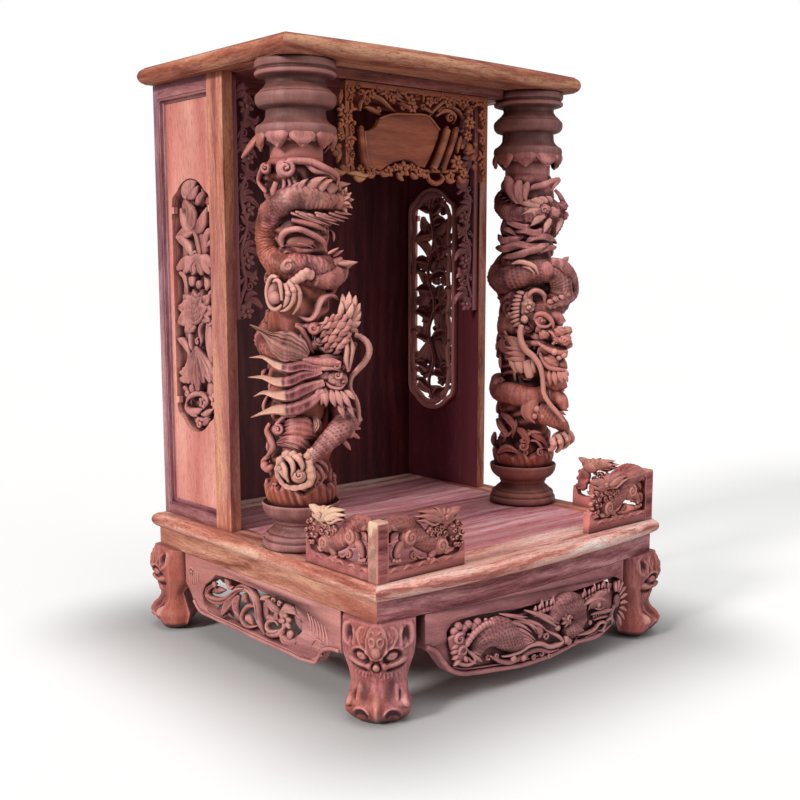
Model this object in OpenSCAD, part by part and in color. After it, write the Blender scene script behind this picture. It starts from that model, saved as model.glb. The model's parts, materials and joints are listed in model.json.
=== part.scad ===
// Carved hardwood wealth god altar: a raised base on four lion-mask legs, an open
// cabinet with pierced side panels, and a roof carried in front by two dragon columns.
// Frame: +Z up, +X to the viewer's right, front face towards -Y, floor at z = 0.

/* [Overall] */
// Height from the floor to the top of the roof
total_h = 1070; // [1000:1:1200]
// Half of the width of the base slab
slab_hw = 354; // [345:1:365]
// Depth of the base slab at its sides
slab_d = 691; // [680:1:700]
// How far the front of the base bows out beyond its corners
bow = 25; // [15:1:30]

/* [Base] */
// Height of the top of the base slab
deck_z = 226; // [220:1:232]
// Thickness of the base slab
slab_t = 26; // [22:1:30]
// Bottom of the frieze, where the legs and aprons start
frieze_z = 164; // [158:1:170]
// How far the frieze sits in from the slab's edge
frieze_in = 12; // [8:1:16]
// Thickness of the frieze and of the aprons
board_t = 24; // [18:1:28]
// Width of the slab's front and side frame members
member_w = 66; // [56:1:70]
// Width of the slab's back frame member
member_wb = 85; // [66:1:90]

/* [Cabinet] */
// Half of the outer width of the cabinet
cab_hw = 325; // [315:1:335]
// Thickness of the cabinet's side frames
wall_t = 21; // [18:1:24]
// Depth of the cabinet from its back to the front of its posts
cab_d = 239; // [225:1:250]
// How far the side panels are set in from the face of their frames
recess = 13; // [8:1:15]

/* [Roof] */
// Thickness of the roof
roof_t = 30; // [24:1:34]
// Depth of the roof at its sides
roof_d = 472; // [460:1:480]
// How far the front of the roof bows out beyond its corners
roof_bow = 18; // [10:1:22]

/* [Columns] */
// Distance of each column's axis from the middle
col_x = 281; // [275:1:285]
// Radius of the turned rings at both ends of a column
col_r = 67.5; // [60:0.5:70]
// Radius of the solid core under the dragon
core_r = 41; // [34:1:46]

/* [Hidden] */

yb = 351.74;                      // back edge of the slab
yf = yb - slab_d;                 // front corners of the slab
roof_z = total_h - roof_t;        // underside of the roof
wall_out = cab_hw;
wall_in = cab_hw - wall_t;
panel_x = cab_hw - recess;        // face of a side panel
cab_b = yb - 6;                   // back of the cabinet
cab_f = cab_b - cab_d;            // front of the cabinet's posts
stile_f = cab_f + 50;             // back edge of the front post
stile_b = cab_b - 16;             // front edge of the back stile
rf = yb - roof_d;                 // front corners of the roof
frz_hw = slab_hw - frieze_in;
frz_f = yf + frieze_in;
frz_b = yb - frieze_in;
col_y = yb - 401;
rail_z = deck_z;

rosewood = [0.62, 0.36, 0.32];
tan_edge = [0.82, 0.60, 0.44];
frieze_tan = [0.78, 0.62, 0.42];
mauve = [0.58, 0.38, 0.38];
salmon = [0.80, 0.55, 0.46];
orange_brown = [0.76, 0.46, 0.30];
dark_red = [0.36, 0.16, 0.15];
carving = [0.64, 0.36, 0.30];

function bow_r(half, sag) = (half * half + sag * sag) / (2 * sag);

// ---------- shared shapes ----------

// Cross-section of a board with a round nose: from x = 0 to x = w, thickness t
module nosed(w, t, r) {
    union() {
        square([w - r, t]);
        translate([w - r, t / 2]) intersection() {
            scale(1) circle(r = t / 2, $fn = 64);
            square([2 * r, t + 1], center = true);
        }
        translate([w - r - 1, 0]) square([1 + r * 0.35, t]);
    }
}

// A straight member along +Y whose nose points to +X, length len
module straight_member(w, t, len) {
    translate([-w, 0, 0]) rotate([90, 0, 0]) mirror([0, 0, 1])
        linear_extrude(height = len) nosed(w, t, t / 2);
}

// A member that follows the bow: its nose runs on a long arc through both corners
module bowed_member(w, t, half, front_y, sag) {
    r = bow_r(half, sag);
    a = asin((half + 12) / r);
    translate([0, front_y - sag + r, 0]) rotate([0, 0, 270 - a])
        rotate_extrude(angle = 2 * a, $fn = 720)
            translate([r - w, 0]) nosed(w, t, t / 2);
}

// A plain bowed board standing on edge
module bowed_board(w, h, half, front_y, sag) {
    r = bow_r(half, sag);
    a = asin((half + 12) / r);
    translate([0, front_y - sag + r, 0]) rotate([0, 0, 270 - a])
        rotate_extrude(angle = 2 * a, $fn = 720)
            translate([r - w, 0]) square([w, h]);
}

// Plan of one member of a mitred frame: hw half width, w member width, ws side members' width
module mitre_front(hw, y0, w, ws, h) {
    linear_extrude(height = h) polygon([[-hw - 60, y0 - 60 * w / ws], [hw + 60, y0 - 60 * w / ws], [hw - ws, y0 + w], [-hw + ws, y0 + w]]);
}
module mitre_back(hw, y1, w, ws, h) {
    linear_extrude(height = h) polygon([[-hw - 60, y1 + 60 * w / ws], [-hw + ws, y1 - w], [hw - ws, y1 - w], [hw + 60, y1 + 60 * w / ws]]);
}
module mitre_side(hw, y0, y1, wf, wb, ws, h) {
    linear_extrude(height = h) polygon([[hw + 60, y0 - 60 * wf / ws], [hw + 60, y1 + 60 * wb / ws], [hw - ws, y1 - wb], [hw - ws, y0 + wf]]);
}

module frame_front(hw, y0, w, ws, t, sag) {
    intersection() {
        bowed_member(w + sag + 14, t, hw, y0, sag);
        mitre_front(hw, y0, w, ws, t);
        translate([-hw, y0 - 60, 0]) cube([2 * hw, 200, t]);
    }
}
module frame_back(hw, y1, w, ws, t) {
    intersection() {
        translate([hw + 5, y1, 0]) rotate([0, 0, 90]) straight_member(w, t, 2 * hw + 10);
        mitre_back(hw, y1, w, ws, t);
        translate([-hw, y1 - w - 1, 0]) cube([2 * hw, w + 2, t]);
    }
}
module frame_side(hw, y0, y1, wf, wb, ws, t) {
    intersection() {
        translate([hw, y0 - 5, 0]) straight_member(ws, t, y1 - y0 + 10);
        mitre_side(hw, y0, y1, wf, wb, ws, t);
        translate([hw - ws - 1, y0 - 1, 0]) cube([ws + 2, y1 - y0 + 1, t]);
    }
}

// A leaf outline from the origin along +X: length l, width w, curved by bend
function leaf(l, w, bend = 0, n = 8) = concat(
    [for (i = [0:n]) let(t = i / n) [l * t, bend * sin(180 * t) + w / 2 * pow(sin(180 * t), 0.8)]],
    [for (i = [n - 1:-1:1]) let(t = i / n) [l * t, bend * sin(180 * t) - w / 2 * pow(sin(180 * t), 0.8)]]);

// A curved strip: centre line p(t) given as points, width w
function strip(pts, w) = let(n = len(pts)) concat(
    [for (i = [0:n - 1]) pts[i] + normal2(pts, i) * w / 2],
    [for (i = [n - 1:-1:0]) pts[i] - normal2(pts, i) * w / 2]);
function normal2(p, i) = let(
    a = p[max(i - 1, 0)], b = p[min(i + 1, len(p) - 1)], d = b - a, l = norm(d))
    [-d[1] / l, d[0] / l];

// A scroll: starts at radius r0, winds in to r1 through the angle sweep
function scroll(r0, r1, a0, sweep, n = 14) =
    [for (i = [0:n]) let(t = i / n, r = r0 + (r1 - r0) * t, a = a0 + sweep * t) [r * cos(a), r * sin(a)]];

module flower(r, petals = 6) {
    circle(r = r * 0.45, $fn = 24);
    for (i = [0:petals - 1]) rotate(i * 360 / petals) translate([r * 0.62, 0]) circle(r = r * 0.40, $fn = 20);
}

// ---------- base ----------

// Section of a leg on its diagonal: u is outwards from the slab's corner
leg_side = [[-17, 164], [3, 159], [10, 146], [13, 126], [8, 104], [-3, 84], [-9, 66], [-4, 52], [11, 43], [15, 34], [11, 23], [-3, 11],
    [-18, 0], [-62, 0], [-80, 11], [-84, 34], [-76, 56], [-70, 76], [-84, 92], [-99, 104], [-99, 164]];
// Half of a leg's outline seen along the diagonal
leg_face = [[65, 164], [67, 130], [64, 106], [55, 84], [50, 66], [54, 46], [62, 32], [60, 16], [46, 6], [30, 0]];
// Plan of the leg's upper block, in diagonal coordinates (t across, u outwards)
leg_plan = [[-65, -82], [-65, -47], [-58, -40], [-9, 9], [-4, 13], [4, 13], [9, 9], [58, -40], [65, -47], [65, -82], [48, -99], [-48, -99]];

// local: across = X, outwards = +Y
module leg_local() {
    intersection() {
        translate([-80, 0, 0]) rotate([90, 0, 90]) linear_extrude(height = 160) polygon(leg_side);
        translate([0, 110, 0]) rotate([90, 0, 0]) linear_extrude(height = 240)
            polygon(concat(leg_face, [for (i = [len(leg_face) - 1:-1:0]) [-leg_face[i][0], leg_face[i][1]]]));
        linear_extrude(height = 170) polygon(leg_plan);
    }
}
module leg_front_left() { color(mauve) translate([-slab_hw, yf, 0]) rotate([0, 0, 135]) leg_local(); }
module leg_front_right() { color(mauve) translate([slab_hw, yf, 0]) rotate([0, 0, -135]) leg_local(); }
module leg_back_left() { color(mauve) translate([-slab_hw, yb, 0]) rotate([0, 0, 45]) leg_local(); }
module leg_back_right() { color(mauve) translate([slab_hw, yb, 0]) rotate([0, 0, -45]) leg_local(); }

// Lower edge of a side apron, from back to front, measured along the side
side_edge = [[0, 104], [14, 92], [30, 72], [52, 57], [90, 55], [170, 54], [250, 52], [330, 52], [372, 51], [398, 53],
    [414, 56], [424, 68], [436, 82], [456, 90], [480, 92], [496, 96], [507, 104]];
// Foliage that fills a side apron's opening
module apron_leaves(l, h) {
    translate([0, h / 2]) {
        polygon(strip([for (i = [0:16]) [l * i / 16, 0.30 * h * sin(360 * i / 16)]], 11));
        for (i = [0:3]) translate([l * (0.14 + 0.24 * i), 0]) mirror([0, i % 2, 0]) {
            translate([0, 2]) polygon(strip(scroll(h * 0.44, h * 0.10, -90, 330), 9));
            rotate(50) polygon(leaf(h * 0.52, 16, 3));
        }
        translate([l * 0.92, 0]) flower(h * 0.36, 5);
    }
}
module side_apron(len) {
    h = frieze_z;
    intersection() {
        linear_extrude(height = board_t) difference() {
            polygon(concat([[0, h], [0, side_edge[0][1]]], side_edge, [[len, side_edge[len(side_edge) - 1][1]], [len, h]]));
            difference() {
                translate([72, 64]) union() {
                    translate([12, 0]) square([296, 80]);
                    translate([0, 12]) square([320, 56]);
                }
                translate([72, 62]) apron_leaves(320, 84);
            }
        }
        cube([len, h, board_t]);
    }
}
side_len = slab_d - 2 * frieze_in - 184;
module apron_left() {
    color(rosewood) translate([-frz_hw, frz_b - 92, 0]) rotate([90, 0, -90]) mirror([0, 0, 1])
        side_apron(side_len);
}
module apron_right() {
    color(rosewood) translate([frz_hw - board_t, frz_b - 92, 0]) rotate([90, 0, -90]) mirror([0, 0, 1])
        side_apron(side_len);
}

// Lower edge of the front apron, from the middle outwards
front_edge = [[0, 27], [40, 28], [95, 34], [148, 40], [180, 46], [202, 58], [216, 74], [230, 92], [250, 104]];
module front_outline(hw) {
    n = len(front_edge);
    polygon(concat([[hw, frieze_z]], [[hw, front_edge[n - 1][1]]],
        [for (i = [n - 1:-1:0]) [front_edge[i][0] * hw / 250, front_edge[i][1]]],
        [for (i = [1:n - 1]) [-front_edge[i][0] * hw / 250, front_edge[i][1]]],
        [[-hw, front_edge[n - 1][1]], [-hw, frieze_z]]));
}
// Raised dragon on the front apron, as a wavy body with a head, on the bowed face
module apron_dragon(hw) {
    polygon(strip([for (i = [0:28]) let(x = -190 + 380 * i / 28) [x, 92 + 20 * sin(x * 2.1)]], 34));
    translate([205, 96]) circle(r = 30, $fn = 32);
    translate([-205, 104]) circle(r = 18, $fn = 32);
    for (s = [-1, 1]) translate([s * 90, 74]) circle(r = 26, $fn = 32);
}
module apron_front() {
    color(rosewood) union() {
        intersection() {
            bowed_board(board_t, frieze_z, frz_hw, frz_f + 1, bow - 2);
            translate([0, 0, 0]) rotate([90, 0, 0]) translate([0, 0, -yf - 200]) linear_extrude(height = 400)
                difference() {
                    front_outline(250);
                    // pierced gap along the top of the carving
                    polygon(concat([for (i = [0:12]) let(x = -200 + 400 * i / 12) [x, 146]],
                        [for (i = [12:-1:0]) let(x = -200 + 400 * i / 12) [x, 132 + 6 * sin(x * 4.2)]]));
                }
        }
        intersection() {
            bowed_board(board_t, frieze_z, frz_hw, frz_f - 10, bow - 2);
            rotate([90, 0, 0]) translate([0, 0, -yf - 200]) linear_extrude(height = 400)
                apron_dragon(250);
        }
    }
}
module apron_back() {
    color(rosewood) translate([0, frz_b, 0]) rotate([90, 0, 0]) linear_extrude(height = board_t) front_outline(250);
}

module frieze_side() {
    translate([0, 0, frieze_z]) frame_plain_side(frz_hw, frz_f, frz_b, board_t, deck_z - slab_t - frieze_z);
}
module frame_plain_side(hw, y0, y1, w, h) {
    intersection() {
        translate([hw - w, y0, 0]) cube([w, y1 - y0, h]);
        mitre_side(hw, y0, y1, w, w, w, h);
    }
}
module frieze_left() { color(frieze_tan) mirror([1, 0, 0]) frieze_side(); }
module frieze_right() { color(frieze_tan) frieze_side(); }
module frieze_front() {
    color(rosewood) translate([0, 0, frieze_z]) intersection() {
        bowed_board(board_t, deck_z - slab_t - frieze_z, frz_hw, frz_f, bow - 2);
        mitre_front(frz_hw, frz_f, board_t + 6, board_t + 6, 60);
        translate([-frz_hw, frz_f - 40, 0]) cube([2 * frz_hw, 100, 60]);
    }
}
module frieze_back() {
    color(rosewood) translate([0, 0, frieze_z]) intersection() {
        translate([-frz_hw, frz_b - board_t, 0]) cube([2 * frz_hw, board_t, deck_z - slab_t - frieze_z]);
        mitre_back(frz_hw, frz_b, board_t, board_t, 60);
    }
}

module base_frame_front() { color(tan_edge) translate([0, 0, deck_z - slab_t]) frame_front(slab_hw, yf, member_w, member_w, slab_t, bow); }
module base_frame_back() { color(tan_edge) translate([0, 0, deck_z - slab_t]) frame_back(slab_hw, yb, member_wb, member_w, slab_t); }
module base_frame_right() { color(tan_edge) translate([0, 0, deck_z - slab_t]) frame_side(slab_hw, yf, yb, member_w, member_wb, member_w, slab_t); }
module base_frame_left() { color(tan_edge) mirror([1, 0, 0]) translate([0, 0, deck_z - slab_t]) frame_side(slab_hw, yf, yb, member_w, member_wb, member_w, slab_t); }
// Boards let into the frame, flush with its top
module floor_boards() {
    color(rosewood) translate([-slab_hw + member_w, yf + member_w, deck_z - 18])
        cube([2 * (slab_hw - member_w), slab_d - member_w - member_wb, 18]);
}

// ---------- cabinet ----------

// Section of a side frame's edge with its moulding stepping down to the panel;
// from the outer edge (0) inwards, w wide, then the moulding m wide
module edge_section(w, m) {
    polygon([[0, 0], [w, 0], [w, wall_t - recess], [w + m, wall_t - recess], [w + m * 0.8, wall_t - recess + 3],
        [w + m * 0.45, wall_t - recess + 4], [w + m * 0.4, wall_t - 3], [w + 1, wall_t - 2], [w, wall_t], [0, wall_t]]);
}
module back_stile() {
    translate([wall_in, cab_b, deck_z]) mirror([0, 1, 0]) rotate([0, 0, 90]) mirror([0, 1, 0])
        linear_extrude(height = roof_z - deck_z) edge_section(16, 6);
}
module front_post() {
    translate([wall_in, cab_f, deck_z]) rotate([0, 0, 90]) mirror([0, 1, 0])
        linear_extrude(height = roof_z - deck_z) edge_section(50, 6);
}
module rail_blank(w, m) {
    translate([wall_in, cab_f, 0]) rotate([0, -90, -90])
        linear_extrude(height = cab_d) edge_section(w, m);
}
module bottom_rail() {
    difference() {
        translate([0, 0, deck_z]) rail_blank(17, 13);
        back_stile();
        front_post();
    }
}
module top_rail() {
    difference() {
        translate([0, 0, roof_z]) mirror([0, 0, 1]) rail_blank(25, 10);
        back_stile();
        front_post();
    }
}
// Outline of the opening in a side panel: straight sides with a lobe at each end
cut_w = 136;
cut_z0 = 395;
cut_z1 = 866;
function lobe(up) = [for (i = [0:16]) let(a = 180 * i / 16)
    [cut_w / 2 * cos(a) * (i < 3 || i > 13 ? 1 : 0.84), up * (sin(a) * 50)]];
module cut_outline() {
    translate([0, cut_z1 - 50]) polygon(lobe(1));
    translate([0, cut_z0 + 50]) polygon(lobe(-1));
    translate([-cut_w / 2, cut_z0 + 62]) square([cut_w, cut_z1 - cut_z0 - 124]);
    translate([-cut_w / 2 + 8, cut_z0 + 49]) square([cut_w - 16, cut_z1 - cut_z0 - 98]);
}
panel_c = (stile_f + stile_b) / 2;
module side_panel() {
    translate([panel_x, panel_c, 0]) rotate([90, 0, -90]) linear_extrude(height = panel_x - wall_in) difference() {
        translate([-(stile_b - stile_f) / 2, deck_z + 17]) square([stile_b - stile_f, roof_z - 25 - deck_z - 17]);
        cut_outline();
    }
}
// Lotus in a side panel's opening: stem, leaves, a large bloom and buds, with a rim
module lotus_shape() {
    h = cut_z1 - cut_z0;
    translate([0, cut_z0]) {
        polygon(strip([for (i = [0:20]) [24 * sin(i * 27), h * i / 20]], 13));
        polygon(strip([for (i = [0:14]) [-30 + 10 * sin(i * 40), h * (0.12 + 0.7 * i / 14)]], 9));
        for (p = [[0, 0.50, 46], [22, 0.18, 30], [-24, 0.10, 24]]) translate([p[0], h * p[1]]) flower(p[2], 8);
        for (p = [[-30, 0.30, 30], [10, 0.36, 150], [-34, 0.66, 160], [34, 0.68, 20], [-20, 0.80, 60], [30, 0.84, 110], [-10, 0.92, 80]])
            translate([p[0] * 0.9, h * p[1]]) rotate(p[2]) translate([-26, 0]) polygon(leaf(54, 30, 4));
        for (s = [-1, 1]) for (z = [0.14, 0.24, 0.42, 0.60, 0.76, 0.88]) translate([s * 66, h * z]) rotate(s > 0 ? 180 : 0) translate([-4, 0]) polygon(leaf(62, 20, 3));
    }
}
module lotus_carving() {
    translate([panel_x - 1, panel_c, 0]) rotate([90, 0, -90]) linear_extrude(height = panel_x - wall_in - 2)
        intersection() {
            cut_outline();
            union() {
                lotus_shape();
                difference() {
                    cut_outline();
                    translate([0, (cut_z0 + cut_z1) / 2]) scale(0.9) translate([0, -(cut_z0 + cut_z1) / 2]) cut_outline();
                }
            }
        }
}
module front_post_right() { color(orange_brown) front_post(); }
module front_post_left() { color(orange_brown) mirror([1, 0, 0]) front_post(); }
module back_stile_right() { color(rosewood) back_stile(); }
module back_stile_left() { color(rosewood) mirror([1, 0, 0]) back_stile(); }
module top_rail_right() { color(mauve) top_rail(); }
module top_rail_left() { color(mauve) mirror([1, 0, 0]) top_rail(); }
module bottom_rail_right() { color(mauve) bottom_rail(); }
module bottom_rail_left() { color(mauve) mirror([1, 0, 0]) bottom_rail(); }
module side_panel_right() { color(salmon) side_panel(); }
module side_panel_left() { color(salmon) mirror([1, 0, 0]) side_panel(); }
module lotus_carving_right() { color(carving) lotus_carving(); }
module lotus_carving_left() { color(carving) mirror([1, 0, 0]) lotus_carving(); }

// Back wall of vertical boards, let in between the two sides
module back_boards() {
    color(dark_red) translate([-wall_in, cab_b - 14, deck_z]) cube([2 * wall_in, 12, roof_z - deck_z]);
}

// ---------- roof ----------

roof_m = 60;
module roof_frame_front() { color(tan_edge) translate([0, 0, roof_z]) frame_front(slab_hw, rf, roof_m, roof_m, roof_t, roof_bow); }
module roof_frame_back() { color(tan_edge) translate([0, 0, roof_z]) frame_back(slab_hw, yb, roof_m, roof_m, roof_t); }
module roof_frame_right() { color(tan_edge) translate([0, 0, roof_z]) frame_side(slab_hw, rf, yb, roof_m, roof_m, roof_m, roof_t); }
module roof_frame_left() { color(tan_edge) mirror([1, 0, 0]) translate([0, 0, roof_z]) frame_side(slab_hw, rf, yb, roof_m, roof_m, roof_m, roof_t); }
module roof_panel() {
    color(rosewood) translate([-slab_hw + roof_m, rf + roof_m, roof_z])
        cube([2 * (slab_hw - roof_m), roof_d - 2 * roof_m, roof_t - 4]);
}

// ---------- hanging carvings ----------

module header_rail() {
    color(rosewood) translate([-212, col_y + 2, roof_z - 16]) cube([424, 26, 16]);
}
// Pierced fret: a plain tablet with rolled ends among foliage and flowers
module fret_shape() {
    h = 166;
    for (s = [-1, 1]) {
        translate([s * 167 - 5, 0]) square([10, h]);
        translate([s * 146 - 4, 4]) square([8, h - 8]);
        for (i = [0:4]) translate([s * 150, 19 + i * 31]) flower(20, 6);
        translate([s * 92, 84]) rotate(s * 8) square([20, 92], center = true);
        for (i = [0:3]) translate([s * (150 - 9 * i), 30 + 31 * i]) rotate(s > 0 ? 160 : 20) translate([-6, 0]) polygon(leaf(48, 18, 3));
        for (i = [0:3]) translate([s * (20 + 34 * i), 137]) flower(21, 5);
    }
    translate([-172, h - 8]) square([344, 8]);
    translate([-86, 42]) square([172, 84]);
    translate([-160, 126]) square([320, 8]);
    for (i = [-4:4]) translate([i * 30, 36 - 16 * cos(i * 20)]) flower(21, 6);
    translate([-140, 34]) square([280, 10]);
}
module hanging_fret() {
    color(orange_brown) translate([0, col_y + 20, roof_z - 16 - 166]) rotate([90, 0, 0]) linear_extrude(height = 16)
        fret_shape();
}
// A drop beside the cabinet's opening: a straight strip with foliage on its inner side
module drop_shape() {
    h = 429;
    square([16, h]);
    for (i = [0:11]) translate([8, h * (0.05 + 0.079 * i)]) rotate(i % 2 == 0 ? 24 : -20) polygon(leaf(44, 22, 4));
    for (i = [0:5]) translate([30, h * (0.10 + 0.17 * i)]) flower(19, 6);
    polygon(strip([for (i = [0:8]) [8 + 14 * sin(i * 22), 8 + i * 5]], 10));
}
module side_drop_left() {
    color(carving) translate([-wall_in, cab_f + 20, roof_z - 429]) rotate([90, 0, 0]) linear_extrude(height = 16)
        intersection() { drop_shape(); translate([0, 0]) square([60, 429]); }
}
module side_drop_right() { mirror([1, 0, 0]) side_drop_left(); }

// ---------- dragon columns ----------

col_bottom = [[0, 0], [66, 0], [67.5, 5], [67, 13], [63, 17], [62.5, 24], [58, 27], [55, 31], [48, 36], [45, 42], [46, 47], [51, 51],
    [61, 58], [66, 67], [67.5, 78], [67, 92], [62, 100], [54, 106], [46, 112], [0, 112]];
col_top = [[0, 655], [40, 655], [41, 670], [50, 676], [62, 682], [66, 700], [67.5, 709], [64, 716], [52, 721], [46, 726], [47, 733],
    [60, 737], [67, 743], [67.5, 748], [66, 754], [58, 762], [49, 768], [47.5, 776], [52, 781], [64, 784], [67.5, 790], [64, 796], [60, 799],
    [64, 801], [67.5, 807], [66, 812], [60, 814], [0, 814]];

// Ring of a tube: centre c, axis direction d, radius r, n sides
function ring(c, d, r, n) = let(
    w = d / norm(d), u0 = cross(w, abs(w[2]) > 0.9 ? [1, 0, 0] : [0, 0, 1]), u = u0 / norm(u0), v = cross(w, u))
    [for (i = [0:n - 1]) c + r * (cos(360 * i / n) * u + sin(360 * i / n) * v)];
module tube(pts, rad, n = 10) {
    m = len(pts);
    rings = [for (i = [0:m - 1]) ring(pts[i], pts[min(i + 1, m - 1)] - pts[max(i - 1, 0)], rad[i], n)];
    polyhedron(points = [for (r = rings) for (p = r) p],
        faces = concat([[for (i = [0:n - 1]) i]], [[for (i = [n - 1:-1:0]) (m - 1) * n + i]],
            [for (k = [0:m - 2]) for (i = [0:n - 1]) [k * n + i, (k + 1) * n + i, (k + 1) * n + (i + 1) % n, k * n + (i + 1) % n]]),
        convexity = 8);
}
coil_n = 46;
function coil(turns, z0, z1, a0) = [for (i = [0:coil_n]) let(t = i / coil_n, a = a0 + turns * 360 * t)
    [46 * cos(a), 46 * sin(a), z0 + (z1 - z0) * t]];
module dragon_column() {
    rotate_extrude($fn = 96) polygon(col_bottom);
    translate([0, 0, 110]) cylinder(r = core_r, h = 547, $fn = 72);
    rotate_extrude($fn = 96) polygon(col_top);
    // body of the dragon wound around the core
    tube(coil(1.7, 128, 640, 250), [for (i = [0:coil_n]) 10 + 13 * sin(180 * (i + 2) / (coil_n + 6))]);
    // head, in front
    translate([6, -50, 370]) rotate([0, 0, -20]) hull() {
        translate([0, 6, 14]) sphere(r = 22, $fn = 24);
        translate([12, -4, -22]) sphere(r = 14, $fn = 24);
    }
    // claw that holds a pearl
    for (p = [[-34, -44, 420], [-30, -46, 200]]) translate(p) sphere(r = 17, $fn = 24);
}
module dragon_column_left() { color(rosewood) translate([-col_x, col_y, deck_z]) dragon_column(); }
module dragon_column_right() { color(rosewood) translate([col_x, col_y, deck_z]) dragon_column(); }

// ---------- corner rails ----------

// One arm of a corner rail: a strip with a pierced lion dragon above it, seen from outside
module rail_arm_shape(l) {
    square([l, 22]);
    square([20, 97]);
    translate([20, 20]) polygon(strip([for (i = [0:16]) let(t = i / 16) [(l - 44) * t, 26 + 14 * sin(t * 360)]], 34));
    translate([l - 30, 62]) circle(r = 27, $fn = 32);
    translate([l - 40, 20]) square([28, 40]);
    translate([l - 34, 80]) rotate(70) polygon(leaf(22, 14, 2));
    for (i = [0:2]) translate([34 + i * 34, 22]) circle(r = 17, $fn = 24);
    translate([30, 74]) circle(r = 14, $fn = 24);
}
module corner_rail() {
    // arm along the front
    translate([-342, -327.5, rail_z]) translate([0, 12, 0]) rotate([90, 0, 0]) linear_extrude(height = 14)
        intersection() { rail_arm_shape(186); square([186, 100]); }
    // arm along the side
    translate([-342, -329.5, rail_z]) rotate([90, 0, 90]) linear_extrude(height = 14)
        intersection() { rail_arm_shape(186); square([186, 100]); }
    translate([-342, -329.5, rail_z]) cube([22, 22, 97]);
}
module corner_rail_left() { color(carving) corner_rail(); }
module corner_rail_right() { color(carving) mirror([1, 0, 0]) corner_rail(); }

leg_front_left();
leg_front_right();
leg_back_left();
leg_back_right();
apron_front();
apron_back();
apron_left();
apron_right();
frieze_front();
frieze_back();
frieze_left();
frieze_right();
base_frame_front();
base_frame_back();
base_frame_left();
base_frame_right();
floor_boards();
front_post_left();
back_stile_left();
top_rail_left();
bottom_rail_left();
side_panel_left();
lotus_carving_left();
front_post_right();
back_stile_right();
top_rail_right();
bottom_rail_right();
side_panel_right();
lotus_carving_right();
back_boards();
roof_frame_front();
roof_frame_back();
roof_frame_left();
roof_frame_right();
roof_panel();
header_rail();
hanging_fret();
side_drop_left();
side_drop_right();
dragon_column_left();
dragon_column_right();
corner_rail_left();
corner_rail_right();
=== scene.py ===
import json
import math
import bpy
import numpy as np
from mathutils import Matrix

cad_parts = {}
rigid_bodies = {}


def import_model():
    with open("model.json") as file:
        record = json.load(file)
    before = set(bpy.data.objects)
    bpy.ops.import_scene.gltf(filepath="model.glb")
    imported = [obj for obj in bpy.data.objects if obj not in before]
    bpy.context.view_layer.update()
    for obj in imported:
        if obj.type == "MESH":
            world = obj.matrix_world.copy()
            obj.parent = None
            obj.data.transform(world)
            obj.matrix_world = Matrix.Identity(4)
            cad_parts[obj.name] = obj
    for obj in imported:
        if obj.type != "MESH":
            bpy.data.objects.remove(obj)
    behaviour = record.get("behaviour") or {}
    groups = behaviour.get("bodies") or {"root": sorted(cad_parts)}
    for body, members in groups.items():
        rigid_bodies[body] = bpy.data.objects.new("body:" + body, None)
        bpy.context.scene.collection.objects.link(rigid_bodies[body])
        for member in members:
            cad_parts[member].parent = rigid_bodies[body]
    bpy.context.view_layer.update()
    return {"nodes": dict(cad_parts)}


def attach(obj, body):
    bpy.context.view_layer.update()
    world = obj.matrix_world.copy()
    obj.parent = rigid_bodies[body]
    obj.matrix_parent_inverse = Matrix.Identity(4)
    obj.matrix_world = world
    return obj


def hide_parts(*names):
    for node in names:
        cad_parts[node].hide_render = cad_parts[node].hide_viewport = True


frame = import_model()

NODES = frame["nodes"]
SCENE = bpy.context.scene
RNG = np.random.default_rng(447)

# ------------------------------------------------------------------ camera
# Yaw, pitch and lens were solved from the object's straight edges.
YAW = math.radians(41.038)
PITCH = math.radians(8.4407)
cam_data = bpy.data.cameras.new("camera")
cam_data.sensor_width = 36.0
cam_data.lens = 50.88
cam_data.shift_x = -0.0022
cam_data.shift_y = 0.036
cam_data.clip_start = 0.05
cam_data.clip_end = 120.0
camera = bpy.data.objects.new("camera", cam_data)
camera.location = (-1.41187, -1.61461, 0.71573)
camera.rotation_euler = (math.pi / 2 - PITCH, 0.0, -YAW)
SCENE.collection.objects.link(camera)
SCENE.camera = camera

SCENE.view_settings.view_transform = "Standard"
SCENE.view_settings.look = "None"
SCENE.view_settings.exposure = 0.0
SCENE.view_settings.gamma = 1.0

# ------------------------------------------------------------------ carving tools (millimetres)
def unit(v):
    v = np.asarray(v, float)
    n = np.linalg.norm(v, axis=-1, keepdims=True)
    return v / np.where(n < 1e-9, 1.0, n)


def hash3(i, j, k, seed):
    h = (i * 374761393 + j * 668265263 + k * 2147483647 + seed * 974634777) & 0xFFFFFFFF
    h = ((h ^ (h >> 13)) * 1274126177) & 0xFFFFFFFF
    return ((h ^ (h >> 16)) & 0xFFFF) / 65535.0


def noise(p, scale, seed=0):
    """Smooth value noise from -1 to 1 at points p, with cells of the given size."""
    q = np.asarray(p, float) / scale
    b = np.floor(q).astype(np.int64)
    f = q - b
    f = f * f * (3 - 2 * f)
    out = np.zeros(len(q))
    for dx in (0, 1):
        for dy in (0, 1):
            for dz in (0, 1):
                w = (f[:, 0] if dx else 1 - f[:, 0]) * (f[:, 1] if dy else 1 - f[:, 1]) * (f[:, 2] if dz else 1 - f[:, 2])
                out += w * hash3(b[:, 0] + dx, b[:, 1] + dy, b[:, 2] + dz, seed)
    return out * 2 - 1


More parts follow.
